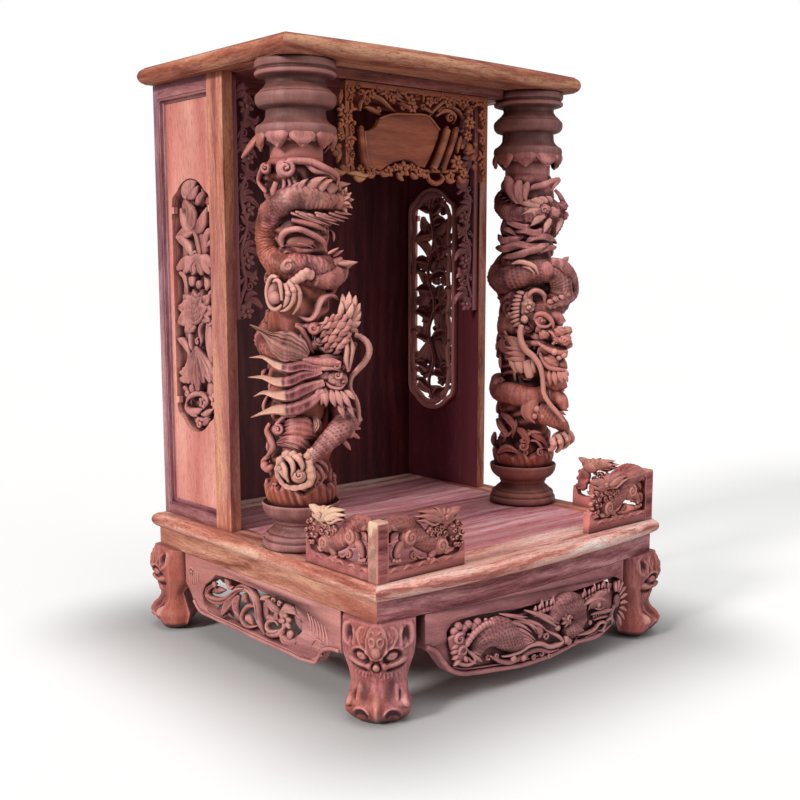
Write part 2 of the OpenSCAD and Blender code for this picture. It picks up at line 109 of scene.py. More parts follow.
def catmull(P, n, closed=False):
    """n points evenly spaced along a smooth curve through P."""
    P = np.asarray(P, float)
    if len(P) == 2:
        t = np.linspace(0, 1, n)[:, None]
        return P[0] * (1 - t) + P[1] * t
    A = np.vstack([2 * P[0] - P[1], P, 2 * P[-1] - P[-2]])
    out = []
    for i in range(1, len(A) - 2):
        p0, p1, p2, p3 = A[i - 1], A[i], A[i + 1], A[i + 2]
        t = np.linspace(0, 1, 24, endpoint=False)[:, None]
        out.append(0.5 * ((2 * p1) + (-p0 + p2) * t + (2 * p0 - 5 * p1 + 4 * p2 - p3) * t ** 2 + (-p0 + 3 * p1 - 3 * p2 + p3) * t ** 3))
    out.append(A[-2][None])
    C = np.vstack(out)
    s = np.concatenate([[0], np.cumsum(np.linalg.norm(np.diff(C, axis=0), axis=1))])
    g = np.linspace(0, s[-1], n)
    return np.stack([np.interp(g, s, C[:, k]) for k in range(P.shape[1])], 1)


def spread(vals, n):
    """Values given at equal steps, read smoothly at n points."""
    vals = np.atleast_1d(np.asarray(vals, float))
    if len(vals) == 1:
        return np.full(n, vals[0])
    return np.interp(np.linspace(0, 1, n), np.linspace(0, 1, len(vals)), vals)


FINE = 0.90        # one setting for how finely all carvings are divided


class Carving:
    """Collects closed shells, then writes them as one mesh piece."""

    def __init__(self):
        self.V, self.F, self.tone, self.hollow, self.n = [], [], [], [], 0

    def shell(self, v, faces, tone=0.0, hollow=0.0):
        v = np.asarray(v, float)
        faces = np.asarray(faces, np.int64)
        # a closed shell whose signed volume is negative is turned inside out
        a, b, c = v[faces[:, 0]], v[faces[:, 1]], v[faces[:, 2]]
        vol = np.einsum("ij,ij->i", a, np.cross(b, c)).sum()
        q = faces[:, 3] != faces[:, 2]
        d = v[faces[:, 3]]
        vol += np.einsum("ij,ij->i", a, np.cross(c, d))[q].sum()
        if vol < 0:
            faces = np.where(q[:, None], faces[:, ::-1], faces[:, [1, 0, 2, 2]])
        self.V.append(v)
        self.F.append(faces + self.n)
        self.tone.append(np.broadcast_to(np.asarray(tone, float), (len(v),)).copy())
        self.hollow.append(np.broadcast_to(np.asarray(hollow, float), (len(v),)).copy())
        self.n += len(v)

    def rings(self, R, tone=0.0, hollow=0.0, bulge=(0.3, 0.3)):
        """Skins k rings of m points and closes both ends."""
        R = np.asarray(R, float)
        k, m = R.shape[:2]
        i = np.arange(k - 1)[:, None]
        j = np.arange(m)[None]
        jn = (j + 1) % m
        quads = np.stack([i * m + j, i * m + jn, (i + 1) * m + jn, (i + 1) * m + j], -1).reshape(-1, 4)
        c0, c1 = R[0].mean(0), R[-1].mean(0)
        d0, d1 = c0 - R[1].mean(0), c1 - R[-2].mean(0)
        r0 = np.linalg.norm(R[0] - c0, axis=1).mean()
        r1 = np.linalg.norm(R[-1] - c1, axis=1).mean()
        v = np.vstack([R.reshape(-1, 3), c0 + unit(d0) * r0 * bulge[0], c1 + unit(d1) * r1 * bulge[1]])
        a, b = k * m, k * m + 1
        jj = np.arange(m)
        jjn = (jj + 1) % m
        cap0 = np.stack([jjn, jj, np.full(m, a), np.full(m, a)], 1)
        cap1 = np.stack([(k - 1) * m + jj, (k - 1) * m + jjn, np.full(m, b), np.full(m, b)], 1)

        def per(x):
            x = np.asarray(x, float)
            if x.ndim == 0:
                return x
            if x.ndim == 1:
                x = np.repeat(x[:, None], m, 1)
            return np.concatenate([x.reshape(-1), [x[0].mean(), x[-1].mean()]])
        self.shell(v, np.vstack([quads, cap0, cap1]), per(tone), per(hollow))

    def sweep(self, pts, ra, rb=None, n=24, m=12, ref=None, power=1.0, relief=None, tone=0.0, hollow=0.0, twist=0.0,
              bulge=(0.3, 0.3), section=None, smooth=True, pits=0.0):
        """A tube along a curve. ra: half width across, rb: half height along ref. relief(s, a) adds millimetres."""
        n, m = (n if n > 100 else max(5, round(n * FINE))), max(7, round(m * FINE))
        C = catmull(pts, n) if smooth else np.asarray(pts, float)
        n = len(C)
        ra = spread(ra, n)
        rb = ra if rb is None else spread(rb, n)
        T = unit(np.gradient(C, axis=0))
        if ref is None or isinstance(ref, str):
            if ref == "radial":
                up = C * np.array([1.0, 1.0, 0.0])
            else:
                up = np.zeros_like(C)
                t0 = T[0]
                g = np.eye(3)[np.argmin(np.abs(t0))]
                g = unit(g - t0 * g.dot(t0))
                for i in range(n):
                    g = unit(g - T[i] * g.dot(T[i]))
                    up[i] = g
        else:
            ref = np.asarray(ref, float)
            up = np.tile(ref, (n, 1)) if ref.ndim == 1 else np.stack([spread(ref[:, k], n) for k in range(3)], 1)
        N = unit(up - T * np.einsum("ij,ij->i", up, T)[:, None])
        B = np.cross(T, N)
        a = np.arange(m) * 2 * np.pi / m
        s = np.concatenate([[0], np.cumsum(np.linalg.norm(np.diff(C, axis=0), axis=1))])
        tw = np.linspace(0, twist, n)[:, None]
        aa = a[None] + tw
        if section is not None:
            cx, cy = section(np.linspace(0, 1, n)[:, None] + 0 * aa, aa)
        else:
            cx, cy = np.cos(aa), np.sin(aa)
            if power != 1.0:
                cx = np.sign(cx) * np.abs(cx) ** power
                cy = np.sign(cy) * np.abs(cy) ** power
        X, Y = ra[:, None] * cx, rb[:, None] * cy
        if relief is not None:
            h = relief(s[:, None] + 0 * aa, a[None] + 0 * aa)
            L = np.sqrt(X ** 2 + Y ** 2) + 1e-6
            X, Y = X * (1 + h / L), Y * (1 + h / L)
        R = C[:, None] + B[:, None] * X[..., None] + N[:, None] * Y[..., None]
        if callable(tone):
            tone = tone(s[:, None] / s[-1] + 0 * aa, a[None] + 0 * aa)
        if callable(hollow):
            hollow = hollow(s[:, None] / s[-1] + 0 * aa, a[None] + 0 * aa)
        if pits and relief is not None:
            # painted shade: the low places of the relief are dark
            q = np.clip(1.0 - (h - h.min()) / (0.42 * (h.max() - h.min()) + 1e-6), 0, 1) * pits
            hollow = np.maximum(q, hollow)
        self.rings(R, tone, hollow, bulge)
        return C, T, N, B

    def spike(self, p, d, length, w, th=None, up=(0, 0, 1), bend=0.0, n=7, m=8, tone=0.0, hollow=0.0):
        """A tapered, slightly bent tooth, fin or claw from p along d."""
        p, d, up = np.asarray(p, float), unit(d), unit(up)
        th = w * 0.5 if th is None else th
        t = np.linspace(0, 1, 5)[:, None]
        C = p + d * length * t + up * (bend * length) * t ** 2
        prof = np.array([0.72, 1.0, 0.92, 0.62, 0.04])
        side = np.cross(d, up)
        if np.linalg.norm(side) < 1e-3:
            side = np.cross(d, (1, 0, 0))
        self.sweep(C, prof * w, prof * th, n=n, m=m, ref=unit(np.cross(side, d)), tone=tone, hollow=hollow, bulge=(0.4, 0.6))

    def ball(self, c, r, n=12, m=16, axes=None, relief=None, tone=0.0, hollow=0.0):
        n, m = max(5, round(n * FINE)), max(7, round(m * FINE))
        r = np.asarray([r] * 3 if np.isscalar(r) else r, float)
        A = np.eye(3) if axes is None else np.asarray(axes, float)
        th = np.linspace(0.12, np.pi - 0.12, n)[:, None]
        ph = (np.arange(m) * 2 * np.pi / m)[None]
        U = np.stack([np.sin(th) * np.cos(ph), np.sin(th) * np.sin(ph), np.cos(th) + 0 * ph], -1)
        S = U * r
        if relief is not None:
            S = S + U * relief(U)[..., None]
        self.rings(np.asarray(c, float) + S @ A, tone, hollow, bulge=(0.05, 0.05))

    def curl(self, c, r, u, v, turns=1.4, start=0.0, w=None, th=None, n=40, m=10, rise=0.0, tail=None, tone=0.0, hollow=0.0,
             shrink=0.12, eye=True):
        """A volute in the plane u, v that winds in to its centre, with an optional tail point that it grows from."""
        c, u, v = np.asarray(c, float), unit(u), unit(v)
        nrm = unit(np.cross(u, v))
        w = r * 0.30 if w is None else w
        th = w if th is None else th
        t = np.linspace(0, 1, 22)
        a = start + np.sign(turns) * 2 * np.pi * abs(turns) * t
        rad = (r - w) * (1 - t) ** 0.85 + (r * shrink) * t
        P = c + rad[:, None] * (np.cos(a)[:, None] * u + np.sin(a)[:, None] * v) + nrm * (rise * t)[:, None]
        prof = np.interp(t, [0, 0.15, 0.8, 1], [0.95, 1.0, 0.72, 0.5])
        if tail is not None:
            tail = np.atleast_2d(np.asarray(tail, float))
            P = np.vstack([tail, P])
            prof = np.concatenate([np.linspace(0.35, 0.9, len(tail)), prof])
        self.sweep(P, prof * w, prof * th, n=n, m=m, ref=nrm, tone=tone, hollow=hollow)
        if eye:
            self.ball(c + nrm * rise * 0.9, [r * 0.2] * 3, n=7, m=10, tone=tone, hollow=hollow)

    def blade(self, pts, w, th, ref, n=22, m=14, rib=0.35, lobes=0, lobe=0.18, flutes=0, tone=0.0, hollow=0.0, profile=None):
        """A leaf, petal or lock: flat section with a rib or flutes on its face and an optional lobed edge."""
        prof = np.array([0.35, 0.75, 1.0, 0.98, 0.82, 0.5, 0.05]) if profile is None else np.asarray(profile, float)
        W = spread(prof, n) * w
        t = np.linspace(0, 1, n)
        if lobes:
            W = W * (1 - lobe + lobe * np.abs(np.sin(np.pi * lobes * t)) ** 0.7 * 1.6)
        H = (0.35 + 0.65 * np.sin(np.pi * np.clip(t * 0.9 + 0.05, 0, 1)) ** 0.6) * th

        def section(tt, a):
            x, y = np.cos(a), np.sin(a)
            x = np.sign(x) * np.abs(x) ** 0.8
            g = 1.0 - rib * np.exp(-((x / 0.16) ** 2)) if not flutes else 1.0 - rib * (0.5 + 0.5 * np.cos(np.pi * flutes * (x + 1)))
            y = np.where(y > 0, y * g, y)
            return x, y
        self.sweep(pts, W, H, n=n, m=m, ref=ref, section=section, tone=tone, hollow=hollow, bulge=(0.2, 0.4))

    def place(self, M, t):
        """Moves everything collected so far."""
        M, t = np.asarray(M, float), np.asarray(t, float)
        self.V = [v @ M.T + t for v in self.V]
        if np.linalg.det(M) < 0:
            self.F = [np.where((f[:, 3] != f[:, 2])[:, None], f[:, ::-1], f[:, [1, 0, 2, 2]]) for f in self.F]
        return self

    def absorb(self, other, M=None, t=(0, 0, 0)):
        M = np.eye(3) if M is None else np.asarray(M, float)
        flip = np.linalg.det(M) < 0
        for v, f, a, b in zip(other.V, other.F, other.tone, other.hollow):
            f = f.copy()
            if flip:
                f = np.where((f[:, 3] != f[:, 2])[:, None], f[:, ::-1], f[:, [1, 0, 2, 2]])
            self.V.append(v @ M.T + np.asarray(t, float))
            self.F.append(f + self.n)
            self.tone.append(a)
            self.hollow.append(b)
        self.n = sum(len(v) for v in self.V)

    def mesh(self, name, hand=0.35, sharp=62.0):
        V = np.vstack(self.V)
        F = np.vstack(self.F)
        if hand:
            V = V + hand * np.stack([noise(V, 21.0, 5), noise(V, 21.0, 6), noise(V, 21.0, 7)], 1)
        me = bpy.data.meshes.new(name)
        tri = F[:, 3] == F[:, 2]
        cnt = np.where(tri, 3, 4)
        loops = F.reshape(-1)[np.repeat(np.arange(4)[None], len(F), 0).reshape(-1) < np.repeat(cnt, 4)]
        me.vertices.add(len(V))
        me.vertices.foreach_set("co", (V / 1000.0).astype(np.float32).reshape(-1))
        me.loops.add(len(loops))
        me.loops.foreach_set("vertex_index", loops.astype(np.int32))
        me.polygons.add(len(F))
        st = np.concatenate([[0], np.cumsum(cnt)[:-1]])
        me.polygons.foreach_set("loop_start", st.astype(np.int32))
        me.polygons.foreach_set("loop_total", cnt.astype(np.int32))
        me.polygons.foreach_set("use_smooth", np.ones(len(F), bool))
        me.update(calc_edges=True)
        me.validate()
        me.set_sharp_from_angle(angle=math.radians(sharp))
        for nm, vals in (("tone", self.tone), ("hollow", self.hollow)):
            at = me.attributes.new(nm, "FLOAT", "POINT")
            at.data.foreach_set("value", np.concatenate(vals).astype(np.float32))
        return me

    def piece(self, name, mat, slot, nodes, hand=0.35):
        me = self.mesh(name, hand)
        o = bpy.data.objects.new(name, me)
        me.materials.append(mat)
        SCENE.collection.objects.link(o)
        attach(o, "root")
        if nodes:
            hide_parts(*nodes)
        print(name, "triangles", sum(len(p.vertices) - 2 for p in me.polygons) if len(me.polygons) < 400000 else "many")
        return o


def scales(pitch, around, depth, s0=0.0):
    """Relief of overlapping scales for sweep(): pitch along, count around, depth of a scale's lip."""
    def f(s, a):
        u = (s + s0) / pitch
        v = a / (2 * np.pi) * around
        best = np.full(s.shape, -1.0)
        for row in (-1, 0, 1):
            rr = np.floor(u) + row
            off = 0.5 * (np.mod(rr, 2))
            cu = u - rr
            cv = v + off - np.floor(v + off) - 0.5
            d2 = (cu / 1.25) ** 2 + (cv / 0.56) ** 2
            h = np.where((d2 < 1.0) & (cu >= -0.02), 0.25 + 0.75 * cu / 1.25 - 0.5 * (cv / 0.56) ** 2 * 0.4, -1.0)
            best = np.maximum(best, h)
        return np.where(best > -0.9, best, 0.0) * depth
    return f


def lathe(c, prof, m=80, tone=0.0, hollow=0.0, relief=None, steps=3.0, crisp=False):
    """A turned solid: prof is [[radius, z], ...] from bottom to top. crisp keeps each edge of the profile."""
    P = np.asarray(prof, float)
    if crisp:
        G = [P[0]]
        for p0, p1, p2 in zip(P[:-2], P[1:-1], P[2:]):
            for q, w in ((p0, 1), (p2, 1)):
                L = np.linalg.norm(q - p1) + 1e-9
                G.append(p1 + (q - p1) / L * min(0.9, 0.33 * L))
        G.append(P[-1])
        G = np.array(G)
        r2, z2 = G[:, 0], G[:, 1]
    else:
        seg = np.linalg.norm(np.diff(P, axis=0), axis=1)
        s = np.concatenate([[0], np.cumsum(seg)])
        g = np.linspace(0, s[-1], max(8, int(s[-1] / steps)))
        r2, z2 = np.interp(g, s, P[:, 0]), np.interp(g, s, P[:, 1])
    a = np.arange(m) * 2 * np.pi / m
    rr = np.maximum(r2, 0.5)[:, None] + 0 * a[None]
    if relief is not None:
        rr = rr + relief(a[None] + 0 * rr, z2[:, None] + 0 * rr)
    R = np.stack([rr * np.cos(a), rr * np.sin(a), z2[:, None] + 0 * rr], -1)
    if callable(tone):
        tone = tone(z2)
    c.rings(R, tone, hollow, bulge=(0.0, 0.0))


def to_path(t, z, P, closed=False):
    """Distance from each point (t, z) to a line through P, and how far along it the nearest point is, 0 to 1."""
    P = catmull(np.asarray(P, float), max(8, 6 * len(P))) if len(P) > 2 else np.asarray(P, float)
    q = np.stack([t, z], -1)
    best = np.full(t.shape, 1e9)
    along = np.zeros(t.shape)
    L = np.linalg.norm(np.diff(P, axis=0), axis=1)
    tot, run = L.sum(), 0.0
    for a, b, l in zip(P[:-1], P[1:], L):
        d = b - a
        s = np.clip(((q - a) @ d) / (d @ d + 1e-12), 0, 1)
        dist = np.linalg.norm(q - a - s[..., None] * d, axis=-1)
        better = dist < best
        best = np.where(better, dist, best)
        along = np.where(better, (run + s * l) / tot, along)
        run += l
    return best, along


def ridge(t, z, P, w, h, taper=True):
    d, s = to_path(t, z, P)
    k = np.clip(np.minimum(s, 1 - s) * 5, 0.25, 1) if taper else 1.0
    return h * np.exp(-((d / (w * k)) ** 2)) * (k if taper else 1.0)


def dome(t, z, t0, z0, rt, rz, h, turn=0.0, edge=2.0):
    c, s = math.cos(math.radians(turn)), math.sin(math.radians(turn))
    u, v = (t - t0) * c + (z - z0) * s, -(t - t0) * s + (z - z0) * c
    r2 = (u / rt) ** 2 + (v / rz) ** 2
    return h * np.clip(1 - r2 ** (edge / 2), 0, 1) ** (1 / edge)


def ring_of(t, z, t0, z0, rt, rz, w, h, turn=0.0):
    c, s = math.cos(math.radians(turn)), math.sin(math.radians(turn))
    u, v = (t - t0) * c + (z - z0) * s, -(t - t0) * s + (z - z0) * c
    r = np.sqrt((u / rt) ** 2 + (v / rz) ** 2) + 1e-6
    return h * np.exp(-(((r - 1) * min(rt, rz) / w) ** 2))


# ------------------------------------------------------------------ pierced and carved boards: a across, b up, d towards the viewer
def grade(pts, d=0.0):
    """2D points (or 3D ones) as 3D, at depth d or graded between two depths."""
    pts = [tuple(p) for p in pts]
    dd = np.linspace(d[0], d[1], len(pts)) if isinstance(d, (tuple, list)) else np.full(len(pts), float(d))
    return np.array([p if len(p) == 3 else (p[0], p[1], k) for p, k in zip(pts, dd)], float)


def ribbon(c, pts, w, th, d=0.0, n=None, m=12, tone=0.0, hollow=0.0, groove=0.0, taper=True, relief=None):
    P = grade(pts, d)
    L = np.linalg.norm(np.diff(P, axis=0), axis=1).sum()
    n = n or int(min(70, max(10, L / 2.2)))
    prof = np.array([0.35, 0.8, 1.0, 1.0, 0.95, 0.75, 0.2]) if taper else np.ones(3)
    if groove:
        def section(t, a):
            x, y = np.cos(a), np.sin(a)
            return x, np.where(y > 0, y * (1 - groove * np.exp(-((x / 0.22) ** 2))), y)
        c.sweep(P, prof * w, prof ** 0.6 * th, n=n, m=max(m, 16), ref=(0, 0, 1), section=section, tone=tone, hollow=hollow)
    else:
        c.sweep(P, prof * w, prof ** 0.6 * th, n=n, m=m, ref=(0, 0, 1), tone=tone, hollow=hollow, relief=relief)


def leaf(c, pts, w, th=4.0, d=0.0, rib=0.55, lobes=0, flutes=0, n=20, m=14, tone=0.0, hollow=0.0, profile=None, tilt=(0, 0, 1)):
    c.blade(grade(pts, d), w, th, np.asarray(tilt, float), n=n, m=m, rib=rib, lobes=lobes, flutes=flutes, tone=tone, hollow=hollow, profile=profile)


def volute(c, p, r, start=0.0, turns=1.3, w=None, th=None, d=0.0, rise=2.0, tail=None, n=36, m=10, tone=0.0, eye=True):
    t3 = None if tail is None else grade(tail, d)
    c.curl((p[0], p[1], d), r, (math.cos(math.radians(start)), math.sin(math.radians(start)), 0), (-math.sin(math.radians(start)), math.cos(math.radians(start)), 0),
           turns=turns, w=w, th=th, n=n, m=m, rise=rise if turns > 0 else -rise, tail=t3, tone=tone, eye=eye)


def knob(c, p, r, d=0.0, flat=0.7, n=10, m=16, tone=0.0, hollow=0.0):
    rr = (r, r) if np.isscalar(r) else r
    c.ball((p[0], p[1], d), (rr[0], rr[1], min(rr) * flat), n=n, m=m, tone=tone, hollow=hollow)


def bloom(c, p, r, n=6, d=0.0, th=3.5, turn=0.0, tone=0.1, squash=1.0, layers=1):
    for k in range(layers):
        rr = r * (1 - 0.32 * k)
        for i in range(n):
            a = math.radians(turn + 180.0 / n * k + 360.0 * i / n)
            q = np.array([math.cos(a), math.sin(a) * squash])
            b = np.array(p, float)
            leaf(c, [tuple(b + q * rr * 0.12), tuple(b + q * rr * 0.55), tuple(b + q * rr)], rr * 1.7 / n + 1.0, th, d=(d + 2.0 * k, d + 1.0 + 2.5 * k), rib=0.5, n=10, m=10, tone=tone,
                 profile=[0.5, 0.95, 1.0, 0.75, 0.2])
    knob(c, p, r * 0.24, d + th * 0.7 + 2 * layers, n=8, m=12, tone=tone + 0.2)


def outline_offset(P, e):
    P = np.asarray(P, float)
    a, b = np.roll(P, 1, 0), np.roll(P, -1, 0)
    t1, t2 = unit(P - a), unit(b - P)
    n1, n2 = np.stack([-t1[:, 1], t1[:, 0]], 1), np.stack([-t2[:, 1], t2[:, 0]], 1)
    k = np.clip(1.0 / np.maximum(0.35, (1 + (n1 * n2).sum(1)) / 2) ** 0.5, 1, 1.6)
    area2 = (P[:, 0] * np.roll(P[:, 1], -1) - np.roll(P[:, 0], -1) * P[:, 1]).sum()
    return P + unit(n1 + n2) * (e * k * (1 if area2 > 0 else -1))[:, None]


def plate(c, outer, holes, d0, d1, soft=1.2, tone=0.0, warp=None, n_in=None):
    """A board from depth d0 to d1 (front) with holes and softened front edges. Outlines are lists of (a, b)."""
    from mathutils.geometry import tessellate_polygon
    from mathutils import Vector
    loops = [np.asarray(outer, float)] + [np.asarray(h, float) for h in holes]
    layers = []
    for (e, d) in ((0.0, d0), (0.0, d1 - soft), (soft * 0.35, d1 - soft * 0.3), (soft, d1)):
        pts = np.vstack([outline_offset(L, e if i == 0 else -e) for i, L in enumerate(loops)])
        layers.append(np.column_stack([pts, np.full(len(pts), d)]))
    n = len(layers[0])
    V = np.vstack(layers)
    if warp is not None:
        V = warp(V)
    F = []
    start = 0
    for L in loops:
        m = len(L)
        i = np.arange(m)
        j = (i + 1) % m
        for k in range(3):
            F.append(np.stack([k * n + start + i, k * n + start + j, (k + 1) * n + start + j, (k + 1) * n + start + i], 1))
        start += m
    # side walls run the other way round on holes and on clockwise outlines
    fixed, s = [], 0
    for q, L in enumerate(loops):
        area2 = (L[:, 0] * np.roll(L[:, 1], -1) - np.roll(L[:, 0], -1) * L[:, 1]).sum()
        good = (area2 > 0) if q == 0 else (area2 < 0)
        for f in F[s:s + 3]:
            fixed.append(f if good else f[:, ::-1])
        s += 3
    for base, up in ((0, False), (3 * n, True)):
        flat = [[Vector((p[0], p[1], 0)) for p in (layers[3] if up else layers[0])[a:b]] for a, b in zip(np.cumsum([0] + [len(L) for L in loops])[:-1], np.cumsum([len(L) for L in loops]))]
        tri = np.array(tessellate_polygon(flat), np.int64)
        P2 = (layers[3] if up else layers[0])[:, :2]
        A = P2[tri[:, 1]] - P2[tri[:, 0]]
        B = P2[tri[:, 2]] - P2[tri[:, 0]]
        ccw = (A[:, 0] * B[:, 1] - A[:, 1] * B[:, 0]) > 0
        want = ccw if up else ~ccw
        tri = np.where(want[:, None], tri, tri[:, ::-1])
        fixed.append(np.column_stack([tri, tri[:, 2]]) + base)
    c.shell(V, np.vstack(fixed), tone=tone)


def rounded(pts, n):
    """A closed smooth outline through pts."""
    P = np.asarray(pts, float)
    Q = np.vstack([P[-2:], P, P[:2]])
    C = catmull(Q, 24 * len(Q))
    a = int(round(24 * len(Q) * 2 / (len(Q) - 1)))
    S = np.linalg.norm(C - P[0], axis=1)
    i0 = int(np.argmin(S[: len(C) // 2]))
    i1 = len(C) // 2 + int(np.argmin(S[len(C) // 2:]))
    C = C[i0:i1]
    return C[np.linspace(0, len(C) - 1, n).astype(int)]
# ------------------------------------------------------------------ materials
def _node(nt, kind, **inputs):
    n = nt.nodes.new(kind)
    for k, v in inputs.items():
        n.inputs[k.replace("_", " ")].default_value = v
    return n


def _ramp(nt, fac, stops, interp="LINEAR"):
    n = nt.nodes.new("ShaderNodeValToRGB")
    n.color_ramp.interpolation = interp
    els = n.color_ramp.elements
    while len(els) < len(stops):
        els.new(0.5)
    for e, (p, c) in zip(els, stops):
        e.position = p
        e.color = (c[0], c[1], c[2], 1.0) if not isinstance(c, (int, float)) else (c, c, c, 1.0)
    nt.links.new(fac, n.inputs["Fac"])
    return n.outputs["Color"]


def _mix(nt, fac, a, b, blend="MIX"):
    n = nt.nodes.new("ShaderNodeMix")
    n.data_type = "RGBA"
    n.blend_type = blend
    for sock, v in ((n.inputs[0], fac), (n.inputs[6], a), (n.inputs[7], b)):
        if hasattr(v, "links"):
            nt.links.new(v, sock)
        elif isinstance(v, (int, float)):
            sock.default_value = v if sock is n.inputs[0] else (v, v, v, 1.0)
        else:
            sock.default_value = (v[0], v[1], v[2], 1.0)
    return n.outputs[2]


def _math(nt, op, a, b=0.0, clamp=False):
    n = nt.nodes.new("ShaderNodeMath")
    n.operation = op
    n.use_clamp = clamp
    for sock, v in ((n.inputs[0], a), (n.inputs[1], b)):
        if hasattr(v, "links"):
            nt.links.new(v, sock)
        else:
            sock.default_value = v
    return n.outputs[0]


def wood(name, dark, mid, light, axis="z", seed=0.0, broad=34.0, stretch=9.0, patch=None, patch_amount=0.45,
         figure=0.35, contrast=1.0, rough=(0.42, 0.62), bump=0.35, carved=False, cream=(0.72, 0.46, 0.34),
         pores=0.55, tilt=(0.0, 0.0, 0.0), wobble=0.05, specular=0.38, amber=(0.42, 0.10, 0.035), dull=(0.125, 0.060, 0.052),
         shade_and_dust=0.6, reach=0.010, inside=None):
    """A procedural wood: long streaks, a wavy figure, pores and slow colour patches, in object metres.
    carved adds the two attributes that the carvings hold: tone (pale sapwood, on some raised relief a painted
    highlight) and hollow (painted shade in the cuts)."""
    m = bpy.data.materials.new(name)
    m.use_nodes = True
    nt = m.node_tree
    nt.nodes.clear()
    out = nt.nodes.new("ShaderNodeOutputMaterial")
    bsdf = nt.nodes.new("ShaderNodeBsdfPrincipled")
    nt.links.new(bsdf.outputs[0], out.inputs["Surface"])
    coord = nt.nodes.new("ShaderNodeTexCoord")
    # slow wobble so that the grain isn't ruled
    wob = _node(nt, "ShaderNodeTexNoise", Scale=3.2, Detail=2.0)
    nt.links.new(coord.outputs["Object"], wob.inputs["Vector"])
    sub = nt.nodes.new("ShaderNodeVectorMath")
    sub.operation = "SUBTRACT"
    nt.links.new(wob.outputs["Color"], sub.inputs[0])
    sub.inputs[1].default_value = (0.5, 0.5, 0.5)
    scl = nt.nodes.new("ShaderNodeVectorMath")
    scl.operation = "SCALE"
    nt.links.new(sub.outputs[0], scl.inputs[0])
    scl.inputs["Scale"].default_value = wobble
    add = nt.nodes.new("ShaderNodeVectorMath")
    add.operation = "ADD"
    nt.links.new(coord.outputs["Object"], add.inputs[0])
    nt.links.new(scl.outputs[0], add.inputs[1])
    mp = nt.nodes.new("ShaderNodeMapping")
    mp.inputs["Location"].default_value = (seed * 0.731, seed * 0.377, seed * 0.519)
    mp.inputs["Rotation"].default_value = tilt
    s = [1.0, 1.0, 1.0]
    s["xyz".index(axis)] = 1.0 / stretch
    mp.inputs["Scale"].default_value = s
    nt.links.new(add.outputs[0], mp.inputs["Vector"])
    v = mp.outputs["Vector"]
    n1 = _node(nt, "ShaderNodeTexNoise", Scale=broad, Detail=6.0, Roughness=0.6, Distortion=0.5)
    nt.links.new(v, n1.inputs["Vector"])
    n2 = _node(nt, "ShaderNodeTexNoise", Scale=broad * 7.0, Detail=5.0, Roughness=0.65)
    nt.links.new(v, n2.inputs["Vector"])
    # figure: rings cut along the grain
    wv = nt.nodes.new("ShaderNodeTexWave")
    wv.wave_type = "RINGS"
    wv.rings_direction = axis.upper()
    wv.inputs["Scale"].default_value = broad * 0.34
    wv.inputs["Distortion"].default_value = 7.0
    wv.inputs["Detail"].default_value = 3.0
    wv.inputs["Detail Scale"].default_value = 1.2
    nt.links.new(v, wv.inputs["Vector"])
    a = _math(nt, "MULTIPLY", n1.outputs["Fac"], 0.62)
    b = _math(nt, "MULTIPLY", n2.outputs["Fac"], 0.38)
    grain = _math(nt, "ADD", a, b)
    fig = _math(nt, "MULTIPLY_ADD", wv.outputs["Fac"], figure * 0.30)
    nt.nodes[-1].inputs[2].default_value = -figure * 0.15
    grain = _math(nt, "ADD", grain, fig)
    h = 0.16 / contrast
    col = _ramp(nt, grain, [(0.5 - h, dark), (0.5 - h * 0.15, mid), (0.5 + h, light)])
    if patch is not None:
        pn = _node(nt, "ShaderNodeTexNoise", Scale=4.5, Detail=3.0, Roughness=0.55)
        pm = nt.nodes.new("ShaderNodeMapping")
        pm.inputs["Location"].default_value = (seed + 3.1, seed * 0.5 + 1.7, 0.9)
        ps = [1.6, 1.6, 1.6]
        ps["xyz".index(axis)] = 0.5
        pm.inputs["Scale"].default_value = ps
        nt.links.new(coord.outputs["Object"], pm.inputs["Vector"])
        nt.links.new(pm.outputs["Vector"], pn.inputs["Vector"])
        pf = _ramp(nt, pn.outputs["Fac"], [(0.40, 0.0), (0.62, patch_amount)])
        col = _mix(nt, pf, col, patch)
    if inside is not None:
        # painted shade: the faces towards the cabinet's inside are darkened, like its back
        gn = nt.nodes.new("ShaderNodeNewGeometry")
        sn = nt.nodes.new("ShaderNodeSeparateXYZ")
        nt.links.new(gn.outputs["True Normal"], sn.inputs[0])
        sp = nt.nodes.new("ShaderNodeSeparateXYZ")
        nt.links.new(gn.outputs["Position"], sp.inputs[0])
        side = _math(nt, "MULTIPLY", sn.outputs["X"], _math(nt, "SIGN", sp.outputs["X"]))
        inside_shade_mask = _ramp(nt, _math(nt, "MULTIPLY", side, -1.0, True), [(0.5, 0.0), (0.8, 1.0)])
        col = _mix(nt, inside_shade_mask, col, _mix(nt, grain, [c * 0.55 for c in inside], [min(1.0, c * 1.5) for c in inside]))
